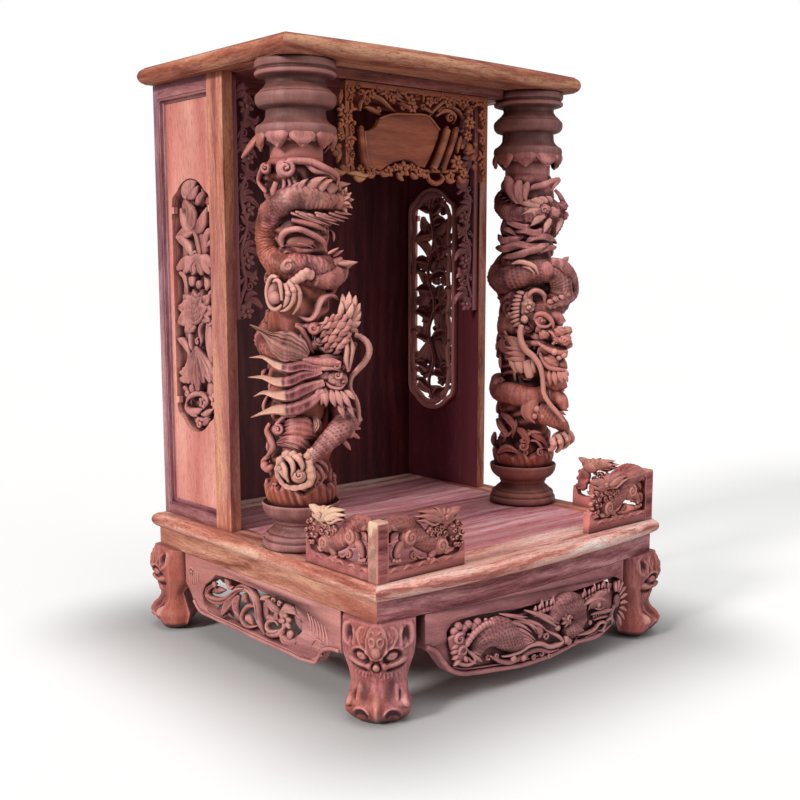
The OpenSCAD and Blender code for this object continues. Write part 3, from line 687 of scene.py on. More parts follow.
    # pores: short dark dashes
    pr = _node(nt, "ShaderNodeTexNoise", Scale=broad * 26.0, Detail=2.0, Roughness=0.7)
    nt.links.new(v, pr.inputs["Vector"])
    pfac = _ramp(nt, pr.outputs["Fac"], [(0.34, pores), (0.47, 0.0)])
    col = _mix(nt, pfac, col, [c * 0.35 for c in dark])
    height = _math(nt, "MULTIPLY", grain, 0.6)
    height = _math(nt, "SUBTRACT", height, _math(nt, "MULTIPLY", pfac, 0.5))
    if carved:
        tone = nt.nodes.new("ShaderNodeAttribute")
        tone.attribute_name = "tone"
        tn = _node(nt, "ShaderNodeTexNoise", Scale=60.0, Detail=4.0)
        nt.links.new(coord.outputs["Object"], tn.inputs["Vector"])
        tv = _math(nt, "MULTIPLY_ADD", tn.outputs["Fac"], 0.9)
        nt.nodes[-1].inputs[2].default_value = -0.45
        tf = _math(nt, "ADD", tone.outputs["Fac"], _math(nt, "MULTIPLY", tv, tone.outputs["Fac"]), True)
        pale = _mix(nt, n2.outputs["Fac"], [c * 0.62 for c in cream], [min(1.0, c * 1.25) for c in cream])
        col = _mix(nt, tf, col, pale)
        # below zero, tone is red-orange heartwood and hollow is a dull, darker skin, which on the capital also stands
        # for painted shade under the roof
        am = _math(nt, "MULTIPLY", tone.outputs["Fac"], -1.0, True)
        col = _mix(nt, _math(nt, "MULTIPLY", am, 0.85), col, _mix(nt, grain, [c * 0.55 for c in amber], [min(1.0, c * 1.6) for c in amber]))
        hol = nt.nodes.new("ShaderNodeAttribute")
        hol.attribute_name = "hollow"
        du = _math(nt, "MULTIPLY", hol.outputs["Fac"], -1.0, True)
        col = _mix(nt, du, col, _mix(nt, grain, [c * 0.6 for c in dull], [min(1.0, c * 2.2) for c in dull]))
        # positive hollow is painted shade: the cuts and low places are darkened
        col = _mix(nt, _math(nt, "MULTIPLY", hol.outputs["Fac"], 1.0, True), col, [c * 0.30 for c in dark])
        # raised edges are paler, as rubbed wear and painted highlight; the cuts are darker, as painted shade with dust
        geo = nt.nodes.new("ShaderNodeNewGeometry")
        wear_and_highlight = _ramp(nt, geo.outputs["Pointiness"], [(0.508, 0.0), (0.575, 0.55)])
        col = _mix(nt, wear_and_highlight, col, [min(1.0, c * 1.25) for c in light])
        cut = _ramp(nt, geo.outputs["Pointiness"], [(0.425, 0.85), (0.493, 0.0)])
        col = _mix(nt, cut, col, [c * 0.32 for c in dark])
        chis = _node(nt, "ShaderNodeTexNoise", Scale=210.0, Detail=3.0, Roughness=0.6)
        nt.links.new(coord.outputs["Object"], chis.inputs["Vector"])
        height = _math(nt, "ADD", height, _math(nt, "MULTIPLY", chis.outputs["Fac"], 0.8))
    # painted shade and dust: ambient occlusion darkens the corners and seams
    ao = nt.nodes.new("ShaderNodeAmbientOcclusion")
    ao.samples = 6
    ao.inputs["Distance"].default_value = reach
    shade_and_dust_fac = _ramp(nt, ao.outputs["AO"], [(0.34, shade_and_dust), (0.95, 0.0)])
    col = _mix(nt, shade_and_dust_fac, col, [c * 0.30 for c in dark])
    rr = _ramp(nt, n1.outputs["Fac"], [(0.3, rough[1]), (0.7, rough[0])])
    nt.links.new(rr, bsdf.inputs["Roughness"])
    nt.links.new(col, bsdf.inputs["Base Color"])
    bsdf.inputs["Specular IOR Level"].default_value = specular
    bp = nt.nodes.new("ShaderNodeBump")
    bp.inputs["Strength"].default_value = bump
    bp.inputs["Distance"].default_value = 0.0012 if carved else 0.0006
    nt.links.new(height, bp.inputs["Height"])
    nt.links.new(bp.outputs["Normal"], bsdf.inputs["Normal"])
    return m


def lin(r, g, b, rich=1.14):
    """An 8-bit display colour as linear light, a little richer than measured: pores and highlights wash it out."""
    m = (r + g + b) / 3.0
    r, g, b = (min(255.0, max(4.0, m + (c - m) * rich)) for c in (r, g, b))
    return tuple((c / 255 / 12.92) if c / 255 <= 0.04045 else ((c / 255 + 0.055) / 1.055) ** 2.4 for c in (r, g, b))


EDGE = dict(dark=lin(126, 68, 52), mid=lin(190, 128, 106), light=lin(238, 190, 160), patch=lin(178, 104, 84), patch_amount=0.55,
            pores=0.6, contrast=1.35)
MAUVE = dict(dark=lin(98, 42, 48), mid=lin(160, 102, 106), light=lin(210, 154, 156), patch=lin(138, 78, 78), patch_amount=0.5, contrast=1.3)
BASE = dict(EDGE, dark=lin(124, 62, 54), mid=lin(202, 138, 124), light=lin(254, 214, 192), patch=lin(194, 122, 100))
# painted highlight: a lighter copy of BASE for the front and back edges of the base
BASE_HIGHLIT = dict(EDGE, dark=lin(152, 86, 78), mid=lin(246, 190, 178), light=lin(255, 250, 240), patch=lin(226, 154, 136))
ROOF = dict(EDGE, dark=lin(108, 54, 42), mid=lin(174, 112, 90), light=lin(228, 176, 144), patch=lin(160, 90, 70))
RED = dict(dark=lin(94, 42, 38), mid=lin(146, 86, 78), light=lin(188, 130, 118), patch=lin(130, 78, 84), patch_amount=0.4, contrast=1.25)

MAT = {
    "roof_edge_x": wood("wood_roof_edge_x", axis="x", seed=1.0, **ROOF),
    "roof_edge_y": wood("wood_roof_edge_y", axis="y", seed=2.0, **ROOF),
    "base_edge_x": wood("wood_base_edge_x", axis="x", seed=3.3, **BASE_HIGHLIT),
    "base_edge_y": wood("wood_base_edge_y", axis="y", seed=4.1, **BASE),
    "roof": wood("wood_roof_panel", axis="x", seed=5.0, **RED),
    "floor": wood("wood_floor", axis="x", seed=6.0, dark=lin(138, 70, 78), mid=lin(226, 154, 162), light=lin(255, 222, 224),
                  patch=lin(158, 92, 88), patch_amount=0.5, broad=52.0, stretch=16.0, rough=(0.36, 0.52), figure=0.22, contrast=1.0),
    "frieze_front": wood("wood_frieze_front", axis="x", seed=7.0, **MAUVE),
    "frieze_side": wood("wood_frieze_side", axis="y", seed=8.2, dark=lin(126, 72, 56), mid=lin(182, 126, 106), light=lin(228, 178, 152),
                        patch=lin(168, 98, 84), patch_amount=0.55, contrast=1.3),
    # inside= paints shade on the faces that look into the cabinet
    "post": wood("wood_post", inside=lin(84, 36, 42), axis="z", seed=9.0, dark=lin(124, 62, 48), mid=lin(192, 124, 102), light=lin(236, 176, 142),
                 patch=lin(168, 112, 116), patch_amount=0.55, contrast=1.25),
    "stile": wood("wood_stile", inside=lin(90, 38, 50), axis="z", seed=10.0, dark=lin(108, 70, 84), mid=lin(160, 120, 134), light=lin(210, 166, 172),
                  patch=lin(186, 132, 120), patch_amount=0.5, contrast=1.2),
    "rail": wood("wood_rail", inside=lin(90, 38, 50), axis="y", seed=11.0, dark=lin(88, 42, 52), mid=lin(138, 88, 94), light=lin(186, 136, 136),
                 patch=lin(166, 106, 96), patch_amount=0.35, contrast=1.2),
    "panel": wood("wood_panel", inside=lin(92, 40, 52), axis="z", seed=12.0, dark=lin(194, 118, 110), mid=lin(222, 152, 140), light=lin(242, 184, 168),
                  patch=lin(196, 124, 114), patch_amount=0.6, broad=16.0, stretch=7.0, figure=0.9, pores=0.45, contrast=0.95),
    # the back boards are very dark: their own dark wood and painted shade inside the cabinet
    "back": wood("wood_back", axis="z", seed=13.0, dark=lin(50, 16, 22), mid=lin(80, 32, 38), light=lin(112, 56, 60),
                 patch=lin(62, 22, 26), patch_amount=0.5),
    "header": wood("wood_header", axis="x", seed=14.0, **RED),
    "back_apron": wood("wood_back_apron", axis="x", seed=15.0, **MAUVE),
    "leg": wood("wood_leg", shade_and_dust=0.96, reach=0.020, axis="z", seed=16.0, carved=True, dark=lin(108, 52, 54), mid=lin(160, 98, 102), light=lin(202, 142, 144),
                patch=lin(176, 98, 74), patch_amount=0.7, contrast=1.2, cream=lin(226, 176, 160)),
    "apron": wood("wood_apron", shade_and_dust=0.9, reach=0.016, axis="y", seed=17.0, carved=True, dark=lin(98, 48, 50), mid=lin(152, 98, 100), light=lin(204, 148, 142),
                  patch=lin(178, 112, 98), patch_amount=0.5, contrast=1.2, cream=lin(226, 176, 158)),
    "apron_front": wood("wood_apron_front", shade_and_dust=0.96, reach=0.020, axis="x", seed=18.0, carved=True, dark=lin(92, 42, 46), mid=lin(150, 94, 98),
                        light=lin(206, 148, 148), patch=lin(140, 80, 80), patch_amount=0.5, contrast=1.2, cream=lin(226, 178, 166)),
    "dragon": wood("wood_dragon", shade_and_dust=0.96, reach=0.020, axis="z", seed=19.0, carved=True, dark=lin(84, 32, 40), mid=lin(148, 86, 90), light=lin(214, 152, 148),
                   patch=lin(166, 88, 58), patch_amount=0.7, contrast=1.2, cream=lin(228, 180, 158)),
    "lotus": wood("wood_lotus", inside=lin(80, 34, 42), shade_and_dust=0.95, reach=0.020, axis="z", seed=20.0, carved=True, dark=lin(88, 38, 44), mid=lin(154, 94, 96), light=lin(212, 152, 146),
                  patch=lin(176, 108, 94), patch_amount=0.5, contrast=1.2, cream=lin(226, 176, 158)),
    "fret": wood("wood_fret", shade_and_dust=0.9, reach=0.016, axis="x", seed=21.0, carved=True, dark=lin(70, 26, 20), mid=lin(126, 62, 46), light=lin(182, 110, 80),
                 patch=lin(114, 60, 58), patch_amount=0.6, contrast=1.25, cream=lin(206, 160, 116)),
    "drop": wood("wood_drop", shade_and_dust=0.95, reach=0.020, axis="z", seed=22.0, carved=True, dark=lin(70, 28, 38), mid=lin(134, 78, 86), light=lin(192, 132, 138),
                 patch=lin(128, 68, 60), patch_amount=0.5, contrast=1.2, cream=lin(216, 164, 144)),
    "rails": wood("wood_corner_rail", shade_and_dust=0.96, reach=0.020, axis="x", seed=23.0, carved=True, dark=lin(80, 28, 32), mid=lin(146, 76, 76), light=lin(212, 142, 134),
                  patch=lin(140, 80, 84), patch_amount=0.5, contrast=1.2, cream=lin(244, 208, 178)),
}


def dress(node, mat):
    o = NODES[node]
    if not o.data.materials:
        o.data.materials.append(mat)
    for i in range(len(o.data.materials)):
        o.data.materials[i] = mat
# ------------------------------------------------------------------ joinery that keeps its CAD shape
for n, k in {
    "frieze_front": "frieze_front", "frieze_back": "frieze_front", "frieze_left": "frieze_side", "frieze_right": "frieze_side",
    "base_frame_front": "base_edge_x", "base_frame_back": "base_edge_x", "base_frame_left": "base_edge_y", "base_frame_right": "base_edge_y",
    "floor_boards": "floor",
    "front_post_left": "post", "front_post_right": "post", "back_stile_left": "stile", "back_stile_right": "stile",
    "top_rail_left": "rail", "top_rail_right": "rail", "bottom_rail_left": "rail", "bottom_rail_right": "rail",
    "side_panel_left": "panel", "side_panel_right": "panel", "back_boards": "back",
    "roof_frame_front": "roof_edge_x", "roof_frame_back": "roof_edge_x", "roof_frame_left": "roof_edge_y", "roof_frame_right": "roof_edge_y",
    "roof_panel": "roof", "header_rail": "header", "apron_back": "back_apron",
    "leg_front_left": "leg", "leg_front_right": "leg", "leg_back_left": "leg", "leg_back_right": "leg",
    "apron_left": "apron", "apron_right": "apron", "apron_front": "apron_front",
    "dragon_column_left": "dragon", "dragon_column_right": "dragon", "lotus_carving_left": "lotus", "lotus_carving_right": "lotus",
    "hanging_fret": "fret", "side_drop_left": "drop", "side_drop_right": "drop", "corner_rail_left": "rails", "corner_rail_right": "rails",
}.items():
    dress(n, MAT[k])

# ------------------------------------------------------------------ dragon columns
DECK = 226.0
COL_BOTTOM = [[0, 0], [62, 0], [66, 1], [67.5, 5], [67, 12], [65.2, 14.5], [63, 15], [63.6, 18], [62.8, 23], [60, 25.5], [56.5, 26], [56, 28], [52, 32], [47, 36],
              [45.4, 39], [45, 43], [47.2, 44], [47.6, 47.5], [50, 50.5], [56, 54], [61.5, 59], [65.5, 66], [67.2, 74], [67.5, 78.5], [65.8, 80], [63.5, 78], [50, 76], [40, 76],
              [41, 112]]
COL_TOP = [[41, 650], [42, 676], [54, 684], [62, 689.5], [66.2, 694], [67.6, 700], [67.0, 706], [64.6, 709.4], [61, 711], [56.5, 714.5], [52.6, 719], [50.8, 724], [50.2, 736], [55, 737.6], [62, 740], [66.4, 745],
           [67.6, 751], [67.2, 756.6], [65.2, 760], [62.8, 760.8], [62.2, 763], [57, 767.5], [52.4, 772], [51.6, 774], [49.6, 775.5], [48.8, 780], [50.4, 784], [55, 786], [62, 787.6], [67.2, 789.2], [67.5, 794], [65.6, 796],
           [64, 797.2], [63.8, 799.8], [66.6, 801.4], [67.6, 805], [67.4, 811], [65.5, 814], [0, 814]]


class Column(Carving):
    """A carving around a vertical axis. Places are given as seen from one side: dx to the right, z up (from the floor), r from the axis."""

    def __init__(self, look_deg):
        super().__init__()
        a = math.radians(look_deg)
        self.look = look_deg
        self.er = np.array([-math.sin(a), math.cos(a), 0.0])
        self.ed = np.array([math.cos(a), math.sin(a), 0.0])

    def at(self, dx, z, d):
        return self.er * dx + self.ed * d + np.array([0, 0, z - DECK])

    def on(self, dx, z, r):
        return self.at(dx, z, math.sqrt(max(r * r - dx * dx, 0.0)))

    def pol(self, phi, z, r):
        p = math.radians(phi)
        return self.at(r * math.sin(p), z, r * math.cos(p))

    def dirv(self, dx, z, d=0.0):
        return unit(self.er * dx + self.ed * d + np.array([0, 0, float(z)]))

    def out(self, p):
        return unit(np.array([p[0], p[1], 0.0]))


def scroll_core(c, seed, plain=(), top=884.0, low=300.0, warm=1.0):
    """The mass that the dragons are cut from: cloud scrolls and flowing folds around the shaft.
    plain: (phi, z, half width, half height) where the knife has only smoothed the wood."""
    rg = np.random.default_rng(seed)
    m, n = 88, 164
    z = np.linspace(low, top, n)[:, None]
    a = (np.arange(m) * 2 * np.pi / m)[None]
    zz, aa = z + 0 * a, a + 0 * z
    R0 = 53.0
    q = np.stack([np.cos(aa) * 30, np.sin(aa) * 30, zz * 0.8], -1).reshape(-1, 3)
    w1 = noise(q, 26.0, seed).reshape(n, m)
    w2 = noise(q, 11.0, seed + 1).reshape(n, m)
    folds = np.sin((zz * 0.16 + 2.6 * np.sin(aa * 2 + seed) + 5.0 * w1))
    h = -3.5 + 2.6 * folds + 2.4 * w1 + 1.0 * w2
    cent = []
    groove = np.clip(-folds, 0, 1) * 0.45
    for k in range(400):
        if len(cent) > 46:
            break
        p = (rg.random() * 2 * np.pi, low + 10 + rg.random() * (top - low - 20))
        if all(math.hypot(((p[0] - o[0] + np.pi) % (2 * np.pi) - np.pi) * R0, p[1] - o[1]) > 29 for o in cent):
            cent.append(p)
    for k, (pa, pz) in enumerate(cent):
        Rk = 15 + 5 * rg.random()
        dx = ((aa - pa + np.pi) % (2 * np.pi) - np.pi) * R0
        dz = zz - pz
        th = np.arctan2(dz, dx) * (1 if k % 2 else -1)
        rho = np.hypot(dx, dz) / Rk
        ridge = np.clip(0.5 + 0.95 * np.cos(th - rho * 1.7 * 2 * np.pi + k), 0, 1)
        hk = 3.4 * np.clip(1 - rho ** 3, -1, 1) - 3.2 + 5.0 * ridge * np.clip(1.5 - rho, 0, 1)
        groove = np.where(rho < 1.0, np.maximum(groove, (1 - ridge) * 0.75), groove)
        h = np.where(rho < 1.05, np.maximum(h * np.clip(rho * 1.6 - 0.7, 0, 1) - 2.0, hk), h)
    for (pp, pz, hw, hz) in plain:
        e = c.er * math.sin(math.radians(pp)) + c.ed * math.cos(math.radians(pp))
        pa = math.atan2(e[1], e[0])
        dx = ((aa - pa + np.pi) % (2 * np.pi) - np.pi) * R0
        t = np.clip(1.5 - np.sqrt((dx / hw) ** 2 + ((zz - pz) / hz) ** 2), 0, 1)
        h = h * (1 - t) + t * (2.0 + 0.8 * w1 + 0.5 * w2)
        groove = groove * (1 - t)
    ends = np.clip(np.minimum(z - low, top - z) / 14.0, 0, 1)
    rr = 43.5 + (R0 - 43.5 + h) * ends ** 0.7
    R = np.stack([rr * np.cos(aa), rr * np.sin(aa), zz - DECK], -1)
    # painted highlight: higher relief gets a slightly paler tone; painted shade: the grooves and low places get hollow
    tone = warm * (-0.55 + 0.5 * np.clip(w1, -0.6, 0.6)) + 0.035 * np.clip(h, -4, 5)
    dark = np.maximum(np.clip((-2.6 - h) / 3.0, 0, 0.9), groove)
    c.rings(R, tone, dark, bulge=(0.0, 0.0))


def turned_ends(c, seed, plain=(), warm=1.0):
    lathe(c, COL_BOTTOM, 72, crisp=True, hollow=-0.62)
    # the capital's dull skin is darker than the foot's: painted shade of the roof over it
    lathe(c, COL_TOP, 72, crisp=True, hollow=-0.75)
    lathe(c, [[40, 76], [44, 110], [44.5, 500], [44, 684]], 56, steps=40.0, tone=-0.6 * warm)
    scroll_core(c, seed, plain, warm=warm)


def petal_ring(c, n, z0, drop, r0, off=0.0, w=22.5, tone=0.05):
    for i in range(n):
        a = 2 * math.pi * (i + off) / n
        o = np.array([math.cos(a), math.sin(a), 0.0])
        zl = z0 - DECK
        lean = 1.0 + 0.06 * math.sin(i * 2.3)
        P = [o * (r0 - 3) + [0, 0, zl + 3], o * (r0 + 1.5) + [0, 0, zl - drop * 0.25], o * (r0 + 1.0) * lean + [0, 0, zl - drop * 0.6],
             o * (r0 - 1.5) * lean + [0, 0, zl - drop * 0.85], o * (r0 + 0.5) * lean + [0, 0, zl - drop]]
        side = np.array([-math.sin(a), math.cos(a), 0.0])

        def section(tt, aa, k=i):
            x, y = np.cos(aa), np.sin(aa)
            x = np.sign(x) * np.abs(x) ** 0.8
            ribs = 0.22 * np.cos(x * 3.1 * np.pi) * np.clip(1.15 - tt, 0, 1)
            edge = 0.30 * np.exp(-((np.abs(x) - 0.93) / 0.10) ** 2)
            y = np.where(y > 0, y * (1 + ribs + edge), y * 0.7)
            return x, y - 0.55 * x * x
        c.sweep(P, np.array([0.86, 1.0, 0.98, 0.82, 0.5, 0.06]) * w, [5.5, 5.5, 5.0, 3.5], n=16, m=24, ref=o, section=section, tone=tone, bulge=(0.1, 0.3))
        # a narrow leaf fills the gap behind two petals, darkened as painted shade
        b = a + math.pi / n
        q = np.array([math.cos(b), math.sin(b), 0.0])
        c.blade([q * (r0 - 5) + [0, 0, zl + 2], q * (r0 - 4) + [0, 0, zl - drop * 0.4], q * (r0 - 7) + [0, 0, zl - drop * 0.62]], 12, 4, q, n=6, m=8, hollow=0.35)


def fin_row(c, path, n0, n1, count, length, w, lean, tone=0.1, jitter=0.25, side=None, seed=1):
    """Flame-shaped fins along part of a body's path; lean mixes outwards and along."""
    rg = np.random.default_rng(seed)
    C, T, N, B, rad = path
    for k in range(count):
        i = int(n0 + (n1 - n0) * (k + 0.5) / count)
        e = side[i] if side is not None else N[i]
        d = unit(e * 1.0 + T[i] * lean)
        L = length * (1 + jitter * (rg.random() - 0.5) * 2)
        c.spike(C[i] + e * rad[i] * 0.72, d, L, w, w * 0.42, up=T[i] * np.sign(lean or 1), bend=0.25, n=7, m=8, tone=tone)


def body(c, pts, rad, n, m=40, pitch=8.2, depth=1.6, ref="radial", tone=0.06, belly=True):
    C0 = catmull(pts, n)
    L = np.linalg.norm(np.diff(C0, axis=0), axis=1).sum()
    sc = scales(pitch, max(10, int(2 * math.pi * np.mean(rad) / (pitch * 0.95))), depth)

    def relief(s, a):
        # scales fade towards both ends of the path and are cut unevenly
        u = noise(np.stack([s * 0.9, np.cos(a) * 16, np.sin(a) * 16], -1).reshape(-1, 3), 13.0, 31).reshape(s.shape)
        return sc(s, a) * np.clip(np.minimum(s, L - s) / 25.0 + 0.3, 0, 1) * np.clip(0.85 + 1.1 * u, 0.15, 1.6) + 0.7 * u
    # painted shade: the side of the body that lies towards the shaft is darkened
    C, T, N, B = c.sweep(pts, rad, None, n=n, m=m, ref=ref, relief=relief, tone=tone if callable(tone) else (lambda t, a: tone + 0 * t),
                         hollow=lambda t, a: 0.45 * np.clip(-np.sin(a), 0, 1), pits=0.7)
    return C, T, N, B, spread(rad, n)


def eye(c, p, out, r, lid=True, up=(0, 0, 1), tone=0.25):
    out = unit(out)
    u = unit(np.cross(up, out))
    v = np.cross(out, u)
    c.ball(np.asarray(p) + out * r * 0.2, r, n=10, m=16, tone=tone)
    # the pupil is a small bead darkened as painted shade
    c.ball(np.asarray(p) + out * r * 1.13, r * 0.22, n=6, m=8, hollow=0.9)
    a = np.linspace(0, 2 * np.pi, 15)[:-1]
    ring_pts = [np.asarray(p) + (u * math.cos(t) + v * math.sin(t)) * r * 1.12 + out * r * 0.25 for t in np.linspace(0.1, 2 * np.pi + 0.1, 15)]
    c.sweep(ring_pts, r * 0.26, n=30, m=8, tone=tone * 0.6)
    if lid:
        brow = [np.asarray(p) + (u * math.cos(t) * 1.65 + v * (math.sin(t) * 1.5 + 0.1)) * r + out * r * 0.35 for t in np.linspace(-0.25, math.pi + 0.25, 9)]
        c.sweep(brow, np.array([0.12, 0.3, 0.4, 0.42, 0.38, 0.28, 0.1]) * r, n=22, m=8, tone=tone)


def claw_hand(c, p, out, right, size, pearl=True, fingers=4, tone=0.95, grip=0.0):
    """A dragon's foot seen from above that holds a pearl: knuckles around it, nails on its rim."""
    p, out, right = np.asarray(p, float), unit(out), unit(right)
    upv = np.cross(out, right)
    if pearl:
        c.ball(p + out * size * 0.25, size * 0.62, n=14, m=20, tone=0.75)
        c.curl(p + out * size * 0.80, size * 0.40, right, upv, turns=1.3, start=grip, w=size * 0.09, th=size * 0.10, n=30, m=8, tone=0.6, eye=False)
        c.ball(p + out * size * 0.84, size * 0.16, n=7, m=10, tone=0.9)
    for k in range(fingers):
        a = grip + math.radians(-70 + 290 * k / max(1, fingers - 1))
        e = right * math.cos(a) + upv * math.sin(a)
        f = right * math.cos(a + 0.55) + upv * math.sin(a + 0.55)
        P = [p + e * size * 1.15 - out * size * 0.75, p + e * size * 1.12 + out * size * 0.10, p + unit(e + f * 0.3) * size * 0.98 + out * size * 0.62,
             p + unit(e + f * 0.8) * size * 0.74 + out * size * 0.88]
        c.sweep(P, np.array([0.26, 0.27, 0.22, 0.25, 0.16]) * size, n=18, m=10, tone=tone)
        tip = P[-1]
        c.spike(tip, unit(f * 0.9 - e * 0.35 + out * 0.15), size * 0.62, size * 0.17, size * 0.13, up=-out, bend=0.22, tone=1.0)
        c.ball(P[1] + e * size * 0.06, size * 0.24, n=8, m=10, tone=tone)


def knot(c, p, r, tone=0.1, seed=0, hollow=0.0):
    """A carved lump: round, with a few turning cuts across it."""
    r = np.asarray([r, r * 0.8, r * 0.88] if np.isscalar(r) else r, float)

    def relief(U):
        w = np.sin(U[..., 0] * 5.0 + U[..., 2] * 6.5 + seed * 1.7) + 0.6 * np.sin(U[..., 2] * 9.0 - U[..., 0] * 4.0 + seed)
        return 0.11 * r.min() * w
    c.ball(p, r, n=14, m=20, axes=np.array([c.er, c.ed, [0, 0, 1]]), relief=relief, tone=tone, hollow=hollow)


def cloud(c, p, out, right, r, turns=1.35, tails=((-1, -0.4),), tone=0.05, w=None, hollow=0.0):
    """A cloud head: one volute with ribbons that stream from it."""
    p, out, right = np.asarray(p, float), unit(out), unit(right)
    upv = np.cross(out, right)
    s = np.sign(turns)
    w = r * 0.30 if w is None else w
    for (tx, ty) in tails:
        e = unit(right * tx + upv * ty)
        sidev = np.cross(out, e) * s
        tail = [p + e * r * 3.1 - out * r * 0.5 + sidev * r * 0.4, p + e * r * 2.1 - out * r * 0.1 + sidev * r * 1.15, p + e * r * 1.0 + sidev * r * 1.05]
        a0 = math.atan2(np.dot(sidev, upv), np.dot(sidev, right))
        c.curl(p, r, right, upv, turns=-turns if s > 0 else -turns, start=a0, w=w, th=w * 1.15, n=30, m=8, rise=r * 0.25, tail=tail, tone=tone, hollow=hollow)


def flame(c, p, out, d, length, w, curl_side=1.0, tone=0.1, th=None):
    """A flame tongue: a blade that curves back at its tip."""
    p, out, d = np.asarray(p, float), unit(out), unit(d)
    s = np.cross(out, d) * curl_side
    P = [p, p + d * length * 0.35 + s * length * 0.10, p + d * length * 0.7 + s * length * 0.05 + out * length * 0.04, p + d * length - s * length * 0.22]
    c.blade(P, w, th or w * 0.55, out, n=14, m=12, rib=0.5, tone=tone, profile=[0.7, 1.0, 0.95, 0.7, 0.4, 0.05])


def waves(c, n, z0, r0, height, seed=3, tone=-0.7, cut=1.7):
    """Breaking waves that stand shoulder to shoulder in the bowl at the column's foot."""
    rg = np.random.default_rng(seed)
    m, k = 144, 15
    a = np.arange(m) * 2 * np.pi / m
    t = np.linspace(0, 1, k)[:, None]
    crest = 0.72 + 0.28 * np.abs(np.sin(a * n / 2 + 0.6 * np.sin(3 * a + seed))) + 0.08 * np.sin(5 * a + seed)
    rib = np.cos(a * n * 3 + 5 * t + 1.5 * np.sin(2 * a)[None]) * (0.75 + 0.35 * np.sin(a * 5 + 2.0 * t))
    zz = z0 - DECK - 5 + (height + 5) * t * crest[None]
    rr = r0 - 2 + 7 * np.sin(t * np.pi * 0.55) + cut * 0.8 * rib * np.clip(t * 3, 0, 1) - 13 * np.clip(t - 0.82, 0, 1) / 0.18 * 0.5
    R = np.stack([rr * np.cos(a)[None], rr * np.sin(a)[None], zz], -1)
    inner = np.stack([(rr[::-1] - 8 - 6 * (1 - t[::-1]))[:6] * np.cos(a)[None], (rr[::-1] - 8 - 6 * (1 - t[::-1]))[:6] * np.sin(a)[None], zz[::-1][:6] - 2.0], -1)
    ring = np.vstack([R, inner])
    # painted shade in the troughs between the ribs and on the inner lip; painted highlight as a paler tone on the upper
    # rib crests
    hol = np.vstack([np.clip(-rib, 0, 1) * 0.32 * cut, np.full((6, m), 0.5)])
    c.rings(ring, np.vstack([np.full((k, m), tone) + 0.45 * (rib > 0.55) * (t > 0.5), np.full((6, m), tone)]), hol, bulge=(0.0, 0.0))
    for i in range(n):
        b = 2 * math.pi * (i + 0.5 + 0.3 * rg.random()) / n
        o = np.array([math.cos(b), math.sin(b), 0.0])
        s = np.array([-math.sin(b), math.cos(b), 0.0]) * (1 if i % 2 else -1)
        zl = z0 - DECK
        c.curl(o * (r0 + 1) + s * 4 + [0, 0, zl + height * (0.8 + 0.25 * rg.random())], 8.0, s, [0, 0, 1], turns=-1.25, start=2.6, w=2.6, th=3.6, n=26, m=8, tone=tone + 0.25)


